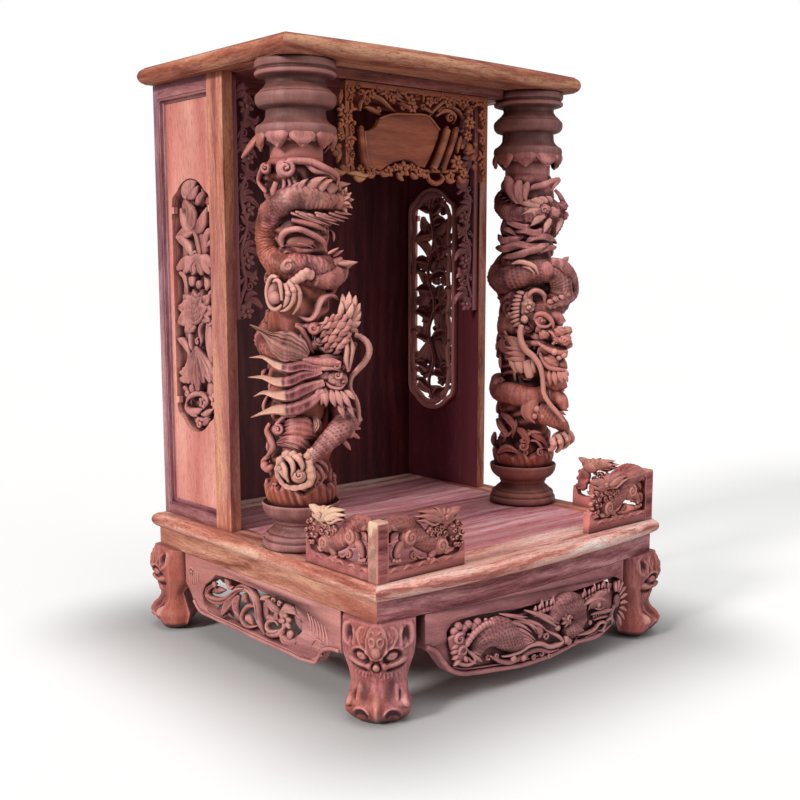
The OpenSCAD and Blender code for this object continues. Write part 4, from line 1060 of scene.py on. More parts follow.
def head(c, M, o, size=1.0, tone=0.12, muzzle=1.0, horns=True, ears=True, beard=(-1, 1), comb=True):
    """A dragon's head in its own axes (x forwards, y to its left, z up), then turned by M's rows and moved to o."""
    h = Carving()
    S = size
    # skull and muzzle
    h.sweep(np.array([[-34, 0, 2], [-20, 0, 6], [-4, 0, 8], [12, 0, 5], [26, 0, 2], [40, 0, 3], [48, 0, 2]]) * S,
            np.array([20, 26, 27, 20, 16, 19, 12]) * S, np.array([18, 21, 20, 14, 10, 12, 7]) * S, n=34, m=30, ref=(0, 0, 1), tone=tone,
            relief=lambda s, a: 1.1 * S * np.cos(a * 6) * np.clip(np.sin(s / (8.0 * S)), 0, 1))
    # nose with nostrils
    h.ball(np.array([44, 0, 8]) * S, np.array([13, 16, 12]) * S, n=12, m=18, tone=tone + 0.1)
    for x, y, z, r in ((30, 0, 14, 10), (18, 9, 17, 8), (18, -9, 17, 8), (32, 11, 5, 8), (32, -11, 5, 8), (6, 17, 6, 10), (6, -17, 6, 10), (-6, 0, 26, 11), (-18, 11, 24, 10), (-18, -11, 24, 10)):
        h.ball(np.array([x, y, z]) * S, np.array([r, r, r * 0.8]) * S, n=8, m=12, tone=tone)
    for y in (-1, 1):
        h.ball(np.array([50, 9.5 * y, 9]) * S, np.array([7, 6.5, 6]) * S, n=10, m=14, tone=tone + 0.2)
        h.curl(np.array([53, 11 * y, 11]) * S, 6.0 * S, (0.2, 0.9 * y, 0.1), (0, 0, 1), turns=1.1 * y, w=1.9 * S, n=24, m=8, tone=tone + 0.2)
        # the nostril is a small bead darkened as painted shade
        h.ball(np.array([55.5, 10 * y, 10]) * S, 2.2 * S, n=6, m=8, hollow=1.0)
        # lip that folds back along the muzzle
        h.sweep(np.array([[52, 6 * y, -1], [42, 17 * y, -3], [24, 20 * y, -8], [8, 23 * y, -12], [-8, 27 * y, -8], [-16, 28 * y, 2]]) * S,
                np.array([3.5, 5, 4.5, 4.5, 4, 2]) * S, n=26, m=10, tone=tone + 0.12)
        # cheek scroll
        h.curl(np.array([-8, 27 * y, -14]) * S, 11 * S, (1, 0.1 * y, 0), (0, 0, 1), turns=-1.4, start=1.2, w=3.4 * S, th=4.6 * S, n=40, m=10, rise=2.0 * y * S, tone=tone)
        # eyes under heavy brows
        eye(h, np.array([15, 15.5 * y, 14]) * S, (0.45, 0.85 * y, 0.35), 6.2 * S, tone=tone + 0.15)
        h.sweep(np.array([[28, 8 * y, 18], [20, 15 * y, 27], [8, 20 * y, 30], [-6, 25 * y, 27], [-16, 29 * y, 30]]) * S,
                np.array([2.4, 5, 6, 5, 1.5]) * S, n=20, m=10, tone=tone + 0.35,
                relief=lambda s, a: 0.7 * S * np.sin(s * 1.5 / S))
        # brow hairs stand as a comb
        for k in range(7 if comb else 0):
            t = k / 6.0
            b = np.array([20 - 34 * t, (14 + 12 * t) * y, 29 + 2 * math.sin(3 * t)]) * S
            h.spike(b, (-0.35 - 0.5 * t, 0.45 * y, 0.85 - 0.3 * t), (17 + 5 * t) * S, 3.6 * S, 2.4 * S, up=(-1, 0, 0), bend=0.25, tone=0.8)
        # horn
        if horns:
          h.sweep(np.array([[-8, 11 * y, 26], [-24, 15 * y, 34], [-44, 17 * y, 36], [-66, 23 * y, 44], [-82, 26 * y, 56]]) * S,
                  np.array([6.5, 5.8, 5.0, 3.6, 1.2]) * S, n=30, m=12, tone=lambda t, a: 0.2 + 0.6 * t,
                relief=lambda s, a: 0.55 * S * np.sin(s * 1.1 / S))
          h.sweep(np.array([[-38, 17 * y, 36], [-46, 23 * y, 46], [-50, 26 * y, 58]]) * S, np.array([3.6, 3, 1]) * S, n=12, m=8, tone=0.7)
        # ear
        if ears:
          h.blade(np.array([[-20, 27 * y, 14], [-34, 35 * y, 18], [-50, 39 * y, 14], [-60, 39 * y, 6]]) * S, 8.5 * S, 4 * S, (0.2, 0.9 * y, 0.4), n=16, m=14,
                rib=0.7, tone=0.3)
        # side fangs and teeth
        h.spike(np.array([40, 13 * y, -6]) * S, (0.12, 0.10 * y, -1), 19 * S, 3.6 * S, 3.4 * S, up=(-1, 0, 0), bend=0.2, tone=1.0)
        for k in range(6):
            h.spike(np.array([32 - 7 * k, (15.5 + 0.9 * k) * y, -8 - 0.5 * k]) * S, (0, 0, -1), (8.0 - 0.5 * k) * S, 2.9 * S, 2.4 * S, up=(1, 0, 0), tone=0.95)
            h.spike(np.array([36 - 7 * k, (11.5 + 1.2 * k) * y, -27 + 1.2 * k]) * S, (0, 0, 1), (7.0 - 0.4 * k) * S, 2.7 * S, 2.2 * S, up=(1, 0, 0), tone=0.95)
        # jaw muscle and beard at the jaw's corner
        h.ball(np.array([-12, 20 * y, -20]) * S, np.array([15, 8, 13]) * S, n=12, m=16, tone=tone)
        for k in range(4 if y in beard else 0):
            t = k / 3.0
            h.blade(np.array([[-4 - 9 * k, 24 * y, -24 + 3 * k], [-14 - 11 * k, 30 * y, -38 + 5 * k], [-28 - 13 * k, 33 * y, -46 + 7 * k], [-42 - 14 * k, 31 * y, -46 + 9 * k]]) * S,
                    6.0 * S, 4.0 * S, (0, y, 0), n=16, m=12, rib=0.45, flutes=3, tone=lambda q, a: 0.15 + 0.75 * np.clip((q - 0.35) * 3, 0, 1))
    # crest between the horns
    for k in range(5 if comb else 0):
        h.spike(np.array([14 - 13 * k, 0, 27 - 0.5 * k * k * 0.4]) * S, (-0.55, 0, 0.85), (15 + k) * S, 5.0 * S, 2.6 * S, up=(-1, 0, 0), bend=0.2, tone=0.45)
    # lower jaw, tongue, beard
    h.sweep(np.array([[-26, 0, -18], [-10, 0, -27], [8, 0, -32], [24, 0, -33], [38, 0, -31], [44, 0, -28]]) * S, np.array([14, 17, 14, 12, 13, 8]) * S,
            np.array([9, 9, 7, 6, 6, 4]) * S, n=26, m=22, ref=(0, 0, 1), tone=tone)
    h.sweep(np.array([[-8, 0, -16], [10, 0, -18], [26, 0, -21], [38, 0, -19], [48, 0, -14], [52, 0, -9]]) * S, np.array([8, 8, 8, 7, 5, 2]) * S, np.array([3, 3, 2.8, 2.6, 2, 1.2]) * S,
            n=22, m=12, ref=(0, 0, 1), tone=0.2)
    # a dark ball in the open mouth: painted shade
    h.ball(np.array([-14, 0, -8]) * S, np.array([12, 14, 12]) * S, n=10, m=14, hollow=0.95)
    for k in range(7):
        y = (k - 3) * 4.2
        h.blade(np.array([[36 - abs(k - 3) * 3.5, y, -34], [32 - abs(k - 3) * 4, y * 1.25, -46], [26 - abs(k - 3) * 5, y * 1.5, -58], [30 - abs(k - 3) * 5, y * 1.6, -70]]) * S,
                3.4 * S, 2.8 * S, (1, 0, 0), n=12, m=10, rib=0.4, tone=0.4)
    h.V = [np.column_stack([np.where(v[:, 0] > 10 * S, 10 * S + (v[:, 0] - 10 * S) * muzzle, v[:, 0]), v[:, 1], v[:, 2]]) for v in h.V]
    c.absorb(h, np.asarray(M, float).T, o)


def pose_axes(c, fdx, fd, fz, roll=0.0):
    """Rows: forwards, left, up, for something that looks along (right, towards the viewer, up)."""
    F = unit(c.er * fdx + c.ed * fd + np.array([0, 0, fz]))
    U = unit(np.array([0, 0, 1.0]) - F * F[2])
    L = np.cross(U, F)
    a = math.radians(roll)
    return np.array([F, L * math.cos(a) + U * math.sin(a), U * math.cos(a) - L * math.sin(a)])


def path_from(c, rows):
    return [c.pol(a, z, r) for a, z, r, _ in rows], [w for *_, w in rows]


def lock(c, pts, w, th=5.5, seam=0.5, tone=0.9):
    """A heavy lock of mane: mauve at the root, a dark seam of painted shade, then a fluted pale tip. Points run from
    the root to the tip.
    """
    C = [np.asarray(p, float) for p in pts]
    ref = [c.out(p) + c.ed * 0.6 for p in C]
    c.blade(C, w, th, np.array([unit(r) for r in ref]), n=34, m=20, rib=0.45, flutes=2,
            tone=lambda t, a: tone * np.clip((t - seam) * 30, 0, 1), hollow=lambda t, a: 0.9 * np.exp(-((t - seam) / 0.022) ** 2),
            profile=[0.55, 0.75, 0.92, 1.0, 1.0, 0.88, 0.62, 0.38, 0.22, 0.06])
def column_left():
    c = Column(-125.85)
    turned_ends(c, 5, plain=((-20, 632, 34, 26), (-8, 892, 40, 16), (-60, 600, 22, 26)))
    petal_ring(c, 9, 923, 25, 62, off=0.08, tone=0.12)
    c.blade([c.pol(-75, 922, 62), c.pol(-82, 908, 72), c.pol(-88, 892, 84), c.pol(-90, 884, 90)], 9, 4, c.out(c.pol(-80, 0, 60)), n=16, m=14, rib=0.6, tone=0.1)
    rows = [(72, 812, 68, 14), (56, 815, 62, 18), (38, 817, 56, 21), (12, 818, 52, 21), (-15, 814, 51, 21), (-42, 802, 50, 21), (-66, 781, 49, 21), (-76, 756, 49, 21),
            (-66, 729, 49, 22), (-40, 711, 50, 23), (-5, 704, 50, 24), (30, 701, 51, 24), (62, 698, 51, 24), (95, 690, 49, 23), (130, 668, 48, 23), (170, 642, 48, 23),
            (210, 618, 48, 23), (250, 596, 48, 24), (285, 580, 48, 25), (315, 569, 48, 26), (340, 566, 48, 26), (365, 568, 44, 24)]
    pts, rad = path_from(c, rows)
    n = 380
    B1 = body(c, pts, rad, n, m=42, pitch=7.0, depth=2.4,
              tone=lambda t, a: np.interp(t, [0, 0.12, 0.2, 0.28, 0.4, 0.46, 0.6, 1.0], [0.22, 0.2, 0.0, -0.7, -0.75, 0.05, 0.08, -0.3]))
    side = B1[3]
    # fins of the back: pointed leaves above the tail, small ones below
    for b, t, w in (((3, 830, 66), (18, 846, 72), 6), ((19, 832, 68), (47, 850, 76), 8), ((35, 831, 70), (58, 846, 80), 8), ((49, 829, 72), (88, 843, 84), 9), ((-8, 827, 64), (5, 841, 68), 5)):
        p0, p1 = c.on(*b), c.on(*t)
        c.blade([p0, (p0 + p1) / 2 + np.array([0, 0, 3.0]), p1], w, w * 0.55, c.ed, n=12, m=12, rib=0.5, flutes=2, tone=0.28, profile=[0.9, 1.0, 0.8, 0.45, 0.06])
    fin_row(c, B1, 70, 150, 12, 10, 4.5, -0.7, side=side, tone=-0.2, seed=3)
    fin_row(c, B1, 150, 225, 14, 9, 4.5, -0.8, side=side, tone=0.1, seed=8)
    fin_row(c, B1, 225, 330, 12, 15, 6.0, -0.8, side=side, tone=0.1, seed=4)
    # tail: a fish-like tuft
    tail = c.at(66, 814, 30)
    c.ball(tail, (15, 12, 15), n=12, m=18, axes=np.array([c.er, c.ed, [0, 0, 1]]), tone=0.2)
    for tip, w in (((70, 838, 34), 6), ((82, 836, 34), 7), ((89, 827, 34), 7.5), ((93, 816, 34), 7.5), ((91, 802, 34), 7.5), ((82, 793, 34), 6.5), ((75, 832, 40), 6), ((86, 820, 42), 6), ((87, 808, 42), 6)):
        q = c.at(*tip)
        s0 = tail * 0.86 + q * 0.14
        c.blade([s0, (s0 + q) / 2 + c.er * 2, q], w, w * 0.6, c.ed, n=12, m=12, rib=0.55, flutes=2, tone=lambda t, a: 0.15 + 0.5 * t ** 2, profile=[0.8, 1.0, 0.85, 0.5, 0.06])
    # long barbs under it
    for k, (b, t) in enumerate((((-10, 793, 62), (45, 774, 70)), ((3, 792, 64), (54, 773, 72)), ((17, 791, 66), (70, 774, 76)), ((31, 789, 70), (66, 780, 75)), ((43, 791, 70), (80, 781, 77)), ((52, 793, 72), (87, 786, 78)),
                              ((61, 796, 72), (92, 793, 78)), ((-3, 795, 62), (32, 786, 68)), ((29, 793, 68), (58, 786, 74)))):
        p0, p1 = c.on(*b), c.on(*t)
        c.spike(p0, unit(p1 - p0), float(np.linalg.norm(p1 - p0)), 2.9, 2.4, up=c.ed, bend=-0.06, tone=(0.5, 0.3)[k % 2], n=9)
    # curls and ribbons above the body
    c.ball(c.on(-49, 865, 58), 10, n=12, m=16, tone=-0.4)
    c.curl(c.on(-48, 865, 64), 12, c.dirv(1, 0, 0.6), (0, 0, 1), turns=1.3, start=2.4, w=4.2, th=7.0, n=36, m=10, rise=3, tail=[c.on(-49, 826, 58), c.on(-61, 847, 62)], tone=-0.35)
    c.ball(c.on(-18, 863, 58), (17, 13, 17), n=12, m=18, tone=0.0)
    c.curl(c.on(-17, 863, 66), 18, c.dirv(1, 0), (0, 0, 1), turns=-1.3, start=1.4, w=6.4, th=8.5, n=48, m=12, rise=5,
           tail=[c.on(66, 838, 74), c.on(65, 854, 74), c.on(44, 865, 70), c.on(21, 874, 64)], tone=0.1)
    c.sweep([c.on(4, 879, 54), c.on(18, 870, 58), c.on(32, 859, 64), c.on(53, 857, 70), c.on(66, 843, 72)], [2, 5, 5.5, 5, 1.5], [3, 6, 6, 5, 2], n=30, m=10, ref="radial", tone=0.12)
    c.sweep([c.on(-33, 842, 60), c.on(-37, 828, 60), c.on(-35, 814, 58)], [5, 6.5, 5], n=14, m=10, tone=-0.5)
    for x in (235, 262, 288):
        c.sweep([c.on(-24, 848, 58) * 0.4 + c.on(x * 0.36 - 103, 853, 58) * 0.6, c.on(x * 0.36 - 105, 836, 59), c.on(x * 0.33 - 103, 822, 60)], [2.5, 4.2, 3.0], n=12, m=8, tone=0.1)
    # the oval hollow between the coils
    c.sweep([c.on(-25, 739, 56), c.on(-26, 754, 60), c.on(-17, 764, 62), c.on(2, 767, 64), c.on(22, 759, 64), c.on(41, 748, 64), c.on(47, 731, 64)], [3, 5.5, 5, 5, 5, 4.5, 2], [3, 6, 6, 6, 6, 5, 2], n=40, m=12, ref="radial", tone=0.05)
    for P, w in (([c.on(-7, 739, 52), c.on(2, 744, 54), c.on(14, 742, 54), c.on(25, 737, 54)], 3.0), ([c.on(8, 750, 52), c.on(19, 747, 54), c.on(31, 738, 54)], 2.6)):
        c.sweep(P, [1, w, w, 1], n=18, m=10, ref="radial", tone=-0.7)
    # a flat dark ball in the hollow: painted shade
    c.ball(c.on(4, 748, 50), (24, 7, 12), n=10, m=14, axes=np.array([c.er, c.ed, [0, 0, 1]]), tone=-0.9, hollow=0.55)
    c.sweep([c.on(-9, 782, 54), c.on(8, 778, 56), c.on(29, 773, 58), c.on(46, 766, 58)], [4, 6, 6, 2], [3, 5, 5, 2], n=24, m=10, ref="radial", tone=-0.6)
    # first arm: shoulder scroll, pale wrist, hand with a hooded pearl
    c.sweep([c.on(60, 714, 66), c.on(68, 698, 72), c.on(50, 684, 74), c.on(26, 684, 76)], [14, 16, 14, 8], n=34, m=26, relief=scales(6.6, 12, 1.8), tone=0.05, pits=0.8)
    c.ball(c.on(-14, 706, 66), (17, 13, 13), n=12, m=18, tone=0.3)
    c.curl(c.on(-16, 708, 78), 12, c.dirv(1, 0), (0, 0, 1), turns=1.3, start=1.0, w=3.6, th=4.0, n=34, m=10, tone=0.45)
    c.sweep([c.on(23, 693, 78), c.on(10, 694, 82), c.on(-2, 686, 82), c.on(-13, 679, 80)], [8, 8.5, 7.5, 7], n=24, m=14, tone=0.85, relief=lambda s, a: 0.5 * np.sin(s * 0.8))
    for q, r in (((14, 698, 84), 7), ((6, 689, 84), 6.5), ((20, 691, 82), 6)):
        c.ball(c.on(*q), r, n=8, m=12, tone=0.9)
    c.spike(c.on(66, 712, 76), c.dirv(1.0, -0.06, 0.0), 33, 8, 6, up=(0, 0, 1), bend=0.12, tone=0.6, n=12, m=12)
    for (dx, z) in [(58, 724), (50, 728), (74, 700)]:
        c.spike(c.on(dx, z, 76), c.dirv(0.9, 0.5), 20, 5, 3, tone=0.2)
    hood = [c.on(*q) for q in ((-33, 689, 82), (-42, 690, 80), (-47, 679, 76), (-49, 661, 74), (-45, 644, 76), (-36, 638, 80), (-26, 646, 84))]
    c.sweep(hood, [3, 4.5, 4.8, 4.8, 4.8, 4.5, 2.5], [4, 6, 7, 7, 7, 6, 3], n=50, m=12, ref="radial", tone=0.9)
    c.ball(c.on(-36, 661, 70), (14, 12, 24), n=14, m=18, axes=np.array([c.er, c.ed, [0, 0, 1]]), tone=0.3)
    c.ball(c.on(-36, 657, 82), 11, n=12, m=16, tone=0.4)
    c.sweep([c.on(-40, 682, 84), c.on(-36, 685, 86), c.on(-30, 682, 86), c.on(-27, 669, 86), c.on(-26, 653, 86)], [2, 3.6, 4, 4, 3], n=28, m=10, tone=0.95)
    for P in ([c.on(-16, 682, 84), c.on(-8, 671, 88), c.on(-9, 653, 86), c.on(-19, 639, 82), c.on(-30, 635, 80)], [c.on(-7, 682, 82), c.on(1, 665, 84), c.on(-0, 646, 80), c.on(-9, 630, 74)],
              [c.on(-20, 679, 84), c.on(-16, 665, 88), c.on(-19, 651, 88), c.on(-24, 642, 84)]):
        c.sweep(P, [5, 5, 4.6, 4.0, 1.4], n=26, m=10, tone=lambda t, a: 0.75 + 0.25 * t)
    for q in ((1, 664, 84), (-8, 670, 90), (-16, 664, 90)):
        c.ball(c.on(*q), 5.6, n=8, m=10, tone=0.9)
    # ribbon under the first arm
    c.sweep([c.on(0, 626, 62), c.on(18, 620, 64), c.on(28, 630, 68), c.on(33, 645, 70), c.on(41, 657, 72), c.on(54, 660, 74), c.on(66, 652, 76)], [1.5, 4.5, 5.0, 4.6, 4.4, 3.6, 1.2],
            [3, 8, 9, 9, 8, 6, 2], n=44, m=12, ref="radial", tone=0.2)
    c.sweep([c.on(-5, 611, 60), c.on(7, 602, 62), c.on(18, 574, 62), c.on(24, 565, 62)], [3, 6, 6, 2], n=24, m=10, ref="radial", tone=-0.8)
    # head and its mane
    head(c, pose_axes(c, 0.84, 0.50, -0.16), c.at(26, 572, 26), size=1.32, horns=False, ears=False, beard=(), muzzle=0.92, tone=0.02, comb=False)
    c.ball(c.at(25, 606, 66), 11, n=12, m=16, tone=-0.7)
    c.curl(c.at(24, 607, 76), 12, c.dirv(1, 0), (0, 0, 1), turns=-1.25, start=0.4, w=4.2, th=5, n=34, m=10, rise=1, tone=-0.65)
    for i, (p, r) in enumerate([((43, 616, 74), 7), ((53, 621, 76), 7), ((62, 623, 78), 7), ((72, 620, 80), 7), ((80, 614, 80), 6), ((39, 608, 74), 7), ((48, 610, 77), 8), ((58, 612, 79), 8), ((67, 611, 81), 8),
                                ((76, 605, 81), 7), ((41, 598, 75), 7), ((51, 601, 78), 8), ((61, 602, 80), 8), ((70, 599, 81), 8), ((79, 593, 79), 6), ((44, 589, 76), 7), ((54, 590, 79), 8), ((64, 589, 80), 8),
                                ((73, 585, 80), 7), ((47, 579, 76), 7), ((57, 579, 79), 7), ((66, 577, 80), 7), ((51, 570, 77), 6), ((61, 568, 79), 6)]):
        q = c.at(*p)
        k = (i * 37 % 11 - 5) * 0.06
        c.blade([q + c.er * r * (1.0 + k) + np.array([0, 0, r * (0.9 - k)]), q + c.ed * 2.0, q - c.er * r * (1.1 - k) - np.array([0, 0, r * (0.7 + 2 * k)])], r * (0.82 + k * 0.6), 5.5, c.ed, n=9, m=12, rib=0.5, flutes=2 if i % 3 else 0,
                tone=(0.45, 0.05, 0.25, -0.1)[i * 5 % 4], hollow=(0.0, 0.15)[i % 2], profile=[0.9, 1.0, 0.85, 0.5, 0.08])
    for b, t, w in (((74, 636, 50), (72, 662, 46), 7), ((79, 633, 52), (84, 665, 46), 8), ((83, 630, 52), (95, 659, 46), 8), ((86, 625, 54), (102, 646, 46), 8), ((87, 618, 54), (103, 632, 48), 8),
                    ((86, 610, 56), (102, 616, 50), 7), ((86, 604, 56), (98, 599, 52), 6), ((69, 629, 56), (70, 650, 50), 6), ((80, 623, 62), (89, 647, 56), 6)):
        p0, p1 = c.at(*b), c.at(*t)
        c.blade([p0, (p0 + p1) / 2 + c.er * 1.5, p1], w, w * 0.7, c.ed, n=12, m=12, rib=0.5, flutes=2, tone=0.75, profile=[0.9, 1.0, 0.95, 0.65, 0.12])
    for P in ([c.at(82, 593, 74), c.at(87, 575, 78), c.at(84, 557, 80), c.at(81, 537, 80)], [c.at(76, 590, 78), c.at(78, 573, 82), c.at(76, 555, 84), c.at(79, 536, 82)]):
        c.sweep(P, [2.5, 4.5, 4.5, 2], n=24, m=10, tone=0.4)
    # snout bar, its curl, and the round cheek
    c.sweep([c.at(3, 558, 74), c.at(18, 554, 82), c.at(36, 553, 88), c.at(54, 552, 90), c.at(66, 548, 88)], [6, 7, 7, 8, 6], n=34, m=14, tone=lambda t, a: 0.8 * np.clip(1 - np.abs(t - 0.08) * 9, 0, 1) + 0.02)
    c.curl(c.at(62, 547, 92), 9, c.dirv(1, 0), (0, 0, 1), turns=1.25, start=1.0, w=3.2, th=4.4, n=30, m=8, tone=0.2)
    knot(c, c.at(59, 523, 74), (20, 14, 19), tone=0.2, seed=2)
    c.curl(c.at(63, 531, 90), 9, c.dirv(1, 0), (0, 0, 1), turns=-1.2, start=0.6, w=2.8, th=3.6, n=28, m=8, tone=0.3)
    # a small dark bead: painted shade in a pit
    c.ball(c.at(72, 520, 86), (4, 3, 3), n=7, m=10, hollow=0.9)
    c.sweep([c.at(40, 521, 84), c.at(51, 512, 88), c.at(66, 509, 86), c.at(75, 516, 82)], [1.5, 3, 3, 1.5], n=22, m=10, tone=0.1)
    c.blade([c.at(22, 541, 84), c.at(39, 543, 88), c.at(54, 543, 90), c.at(66, 538, 88)], 5, 5, c.ed, n=18, m=12, rib=0.4, tone=0.35)
    knot(c, c.at(39, 530, 78), (14, 9, 12), tone=0.12, seed=5)
    # the ear: a broad fluted leaf that ends in a thin point
    # painted shade in the ear's flutes and along a crease across it
    c.blade([c.at(14, 563, 80), c.at(-6, 573, 78), c.at(-25, 579, 72), c.at(-42, 588, 60), c.at(-59, 600, 44), c.at(-79, 610, 26)], 25, 10, c.dirv(-0.35, 0.0, 1.0), n=52, m=52, rib=0.32, flutes=7, lobes=5, lobe=0.10,
            tone=lambda t, a: 0.25 + 0.5 * np.clip(t * 1.6 - 0.6, 0, 1), hollow=lambda t, a: np.clip(0.75 * np.clip(np.cos(np.pi * 7 * (np.cos(a) + 1)), 0, 1) ** 1.5 * np.clip(1.15 - t, 0, 1) + 0.7 * np.exp(-((t - 0.34) / 0.035) ** 2) * (np.cos(a) > 0.1), 0, 0.9), profile=[0.35, 0.75, 1.0, 1.0, 0.85, 0.5, 0.26, 0.14, 0.09, 0.04])
    L = [([(40, 546, 88), (24, 543, 88), (6, 546, 84), (-15, 542, 76), (-37, 547, 62), (-58, 558, 44), (-82, 556, 26)], 9.5, 0.46),
         ([(36, 538, 88), (24, 534, 88), (6, 530, 84), (-15, 520, 76), (-37, 518, 62), (-59, 524, 44), (-84, 523, 26)], 9.5, 0.46),
         ([(40, 519, 88), (23, 514, 88), (5, 506, 84), (-15, 497, 76), (-37, 496, 62), (-59, 499, 46), (-75, 491, 30)], 11.0, 0.47),
         ([(40, 506, 86), (23, 491, 86), (5, 480, 82), (-16, 473, 74), (-38, 472, 62), (-60, 465, 44), (-81, 455, 26)], 11.0, 0.47)]
    for P, w, seam in L:
        lock(c, [c.at(*p) for p in P], w, th=7.5, seam=seam)
    for P, w in ((((36, 514, 84), (31, 504, 86), (25, 491, 84)), 7), (((40, 509, 84), (38, 494, 86), (35, 482, 82)), 7), (((23, 494, 82), (11, 479, 82), (-1, 468, 78)), 7)):
        c.blade([c.at(*p) for p in P], w, 5, c.ed, n=14, m=12, rib=0.5, flutes=2, tone=0.15)
    # beard under the cheek
    for b, t, w in (((42, 509, 84), (43, 480, 84), 7), ((51, 507, 86), (58, 479, 86), 6.5), ((59, 506, 86), (70, 478, 86), 6.5), ((67, 504, 84), (84, 477, 84), 6), ((74, 505, 80), (91, 490, 80), 6),
                    ((72, 493, 76), (90, 459, 76), 5.5), ((63, 493, 80), (72, 459, 80), 6)):
        p0, p1 = c.at(*b), c.at(*t)
        c.blade([p0, (p0 + p1) / 2 + c.ed * 3, p1], w, 4.2, c.ed, n=14, m=12, rib=0.5, flutes=2, tone=0.4)
    # whisker
    c.sweep([c.at(92, 595, 60), c.at(102, 591, 60), c.at(113, 581, 58), c.at(116, 566, 56), c.at(108, 549, 56), c.at(94, 534, 58), c.at(85, 522, 60), c.at(84, 505, 62), c.at(93, 488, 62), c.at(97, 472, 58),
             c.at(97, 452, 54), c.at(89, 438, 52), c.at(85, 424, 52)], [4.5, 5.2, 5.6, 5.6, 5.2, 4.6, 4.2, 4.0, 4.0, 4.0, 4.0, 3.4, 1.5], n=80, m=14, tone=0.5, relief=lambda s, a: 0.35 * np.sin(s * 0.9))
    # second arm and hand
    c.sweep([c.pol(120, 470, 50), c.pol(100, 462, 62), c.pol(80, 448, 80), c.on(90, 460, 92)], [20, 22, 22, 20], n=30, m=30, relief=scales(6.6, 18, 2.0), tone=0.02, pits=0.85)
    c.sweep([c.on(86, 456, 92), c.on(72, 444, 94), c.on(56, 429, 90), c.on(38, 413, 86), c.on(22, 398, 84), c.on(11, 390, 84)], [16, 19, 18, 15, 12, 9], n=56, m=36,
            relief=scales(6.2, 16, 2.2), tone=lambda t, a: 0.12 + 0.8 * np.clip((t - 0.86) * 8, 0, 1), pits=0.85)
    c.ball(c.on(82, 431, 98), 10, n=12, m=16, tone=-0.5)
    for b, t in (((85, 430, 100), (98, 419, 104)), ((89, 438, 98), (103, 429, 100)), ((72, 420, 98), (82, 404, 98))):
        p0, p1 = c.on(*b), c.on(*t)
        c.spike(p0, unit(p1 - p0), float(np.linalg.norm(p1 - p0)) + 6, 6, 4, tone=0.4)
    c.ball(c.on(-9, 367, 68), (28, 15, 26), n=16, m=24, axes=np.array([c.er, c.ed, [0, 0, 1]]), tone=0.75)
    c.sweep([c.on(15, 403, 84), c.on(13, 384, 88), c.on(17, 365, 88), c.on(12, 351, 86), c.on(-6, 345, 88), c.on(-24, 347, 86), c.on(-33, 356, 82), c.on(-38, 369, 78), c.on(-32, 387, 80), c.on(-20, 397, 82), c.on(-8, 396, 84),
             c.on(1, 387, 88)], [6, 8.5, 9, 8, 6, 4.5, 4, 4.5, 6, 7, 7, 4], n=70, m=14, tone=lambda t, a: 0.95 - 0.5 * np.clip((t - 0.35) * 4, 0, 1) * np.clip((0.75 - t) * 6, 0, 1), relief=lambda s, a: 0.9 * np.cos(a * 4) + 0.7 * np.sin(s * 0.5))
    for q, r in (((-32, 390, 86), 8.5), ((-23, 400, 88), 8.5), ((-13, 400, 90), 8), ((-31, 377, 84), 7.5), ((-3, 397, 90), 7), ((18, 404, 86), 8), ((11, 397, 90), 7)):
        knot(c, c.on(*q), r, tone=0.9, seed=r)
    for P in ([c.on(-11, 399, 92), c.on(-2, 393, 96), c.on(3, 382, 96), c.on(1, 373, 94)], [c.on(-22, 397, 90), c.on(-14, 389, 96), c.on(-12, 377, 96), c.on(-15, 367, 94)], [c.on(-30, 387, 86), c.on(-25, 377, 92), c.on(-24, 365, 92), c.on(-20, 355, 90)]):
        c.sweep(P, [5.5, 5.5, 4.5, 2], n=22, m=12, tone=0.9)
    c.ball(c.on(-3, 366, 84), 15, n=16, m=20, tone=0.75)
    c.curl(c.on(-3, 368, 98), 9, c.dirv(1, 0), (0, 0, 1), turns=1.2, start=2.6, w=2.4, th=3.0, n=32, m=10, rise=2, tone=0.85)
    c.blade([c.on(-38, 381, 78), c.on(-31, 375, 84), c.on(-24, 366, 88), c.on(-20, 353, 88)], 8, 6, c.ed, n=18, m=14, rib=0.5, flutes=2, tone=0.95)
    for P in ([c.on(18, 385, 80), c.on(31, 373, 80), c.on(37, 358, 76), c.on(31, 344, 72)], [c.on(19, 376, 78), c.on(27, 363, 78), c.on(25, 346, 74)], [c.on(22, 391, 76), c.on(39, 379, 74), c.on(46, 365, 70)]):
        c.sweep(P, [4.5, 4.5, 3.6, 1.2], n=20, m=10, tone=0.25)
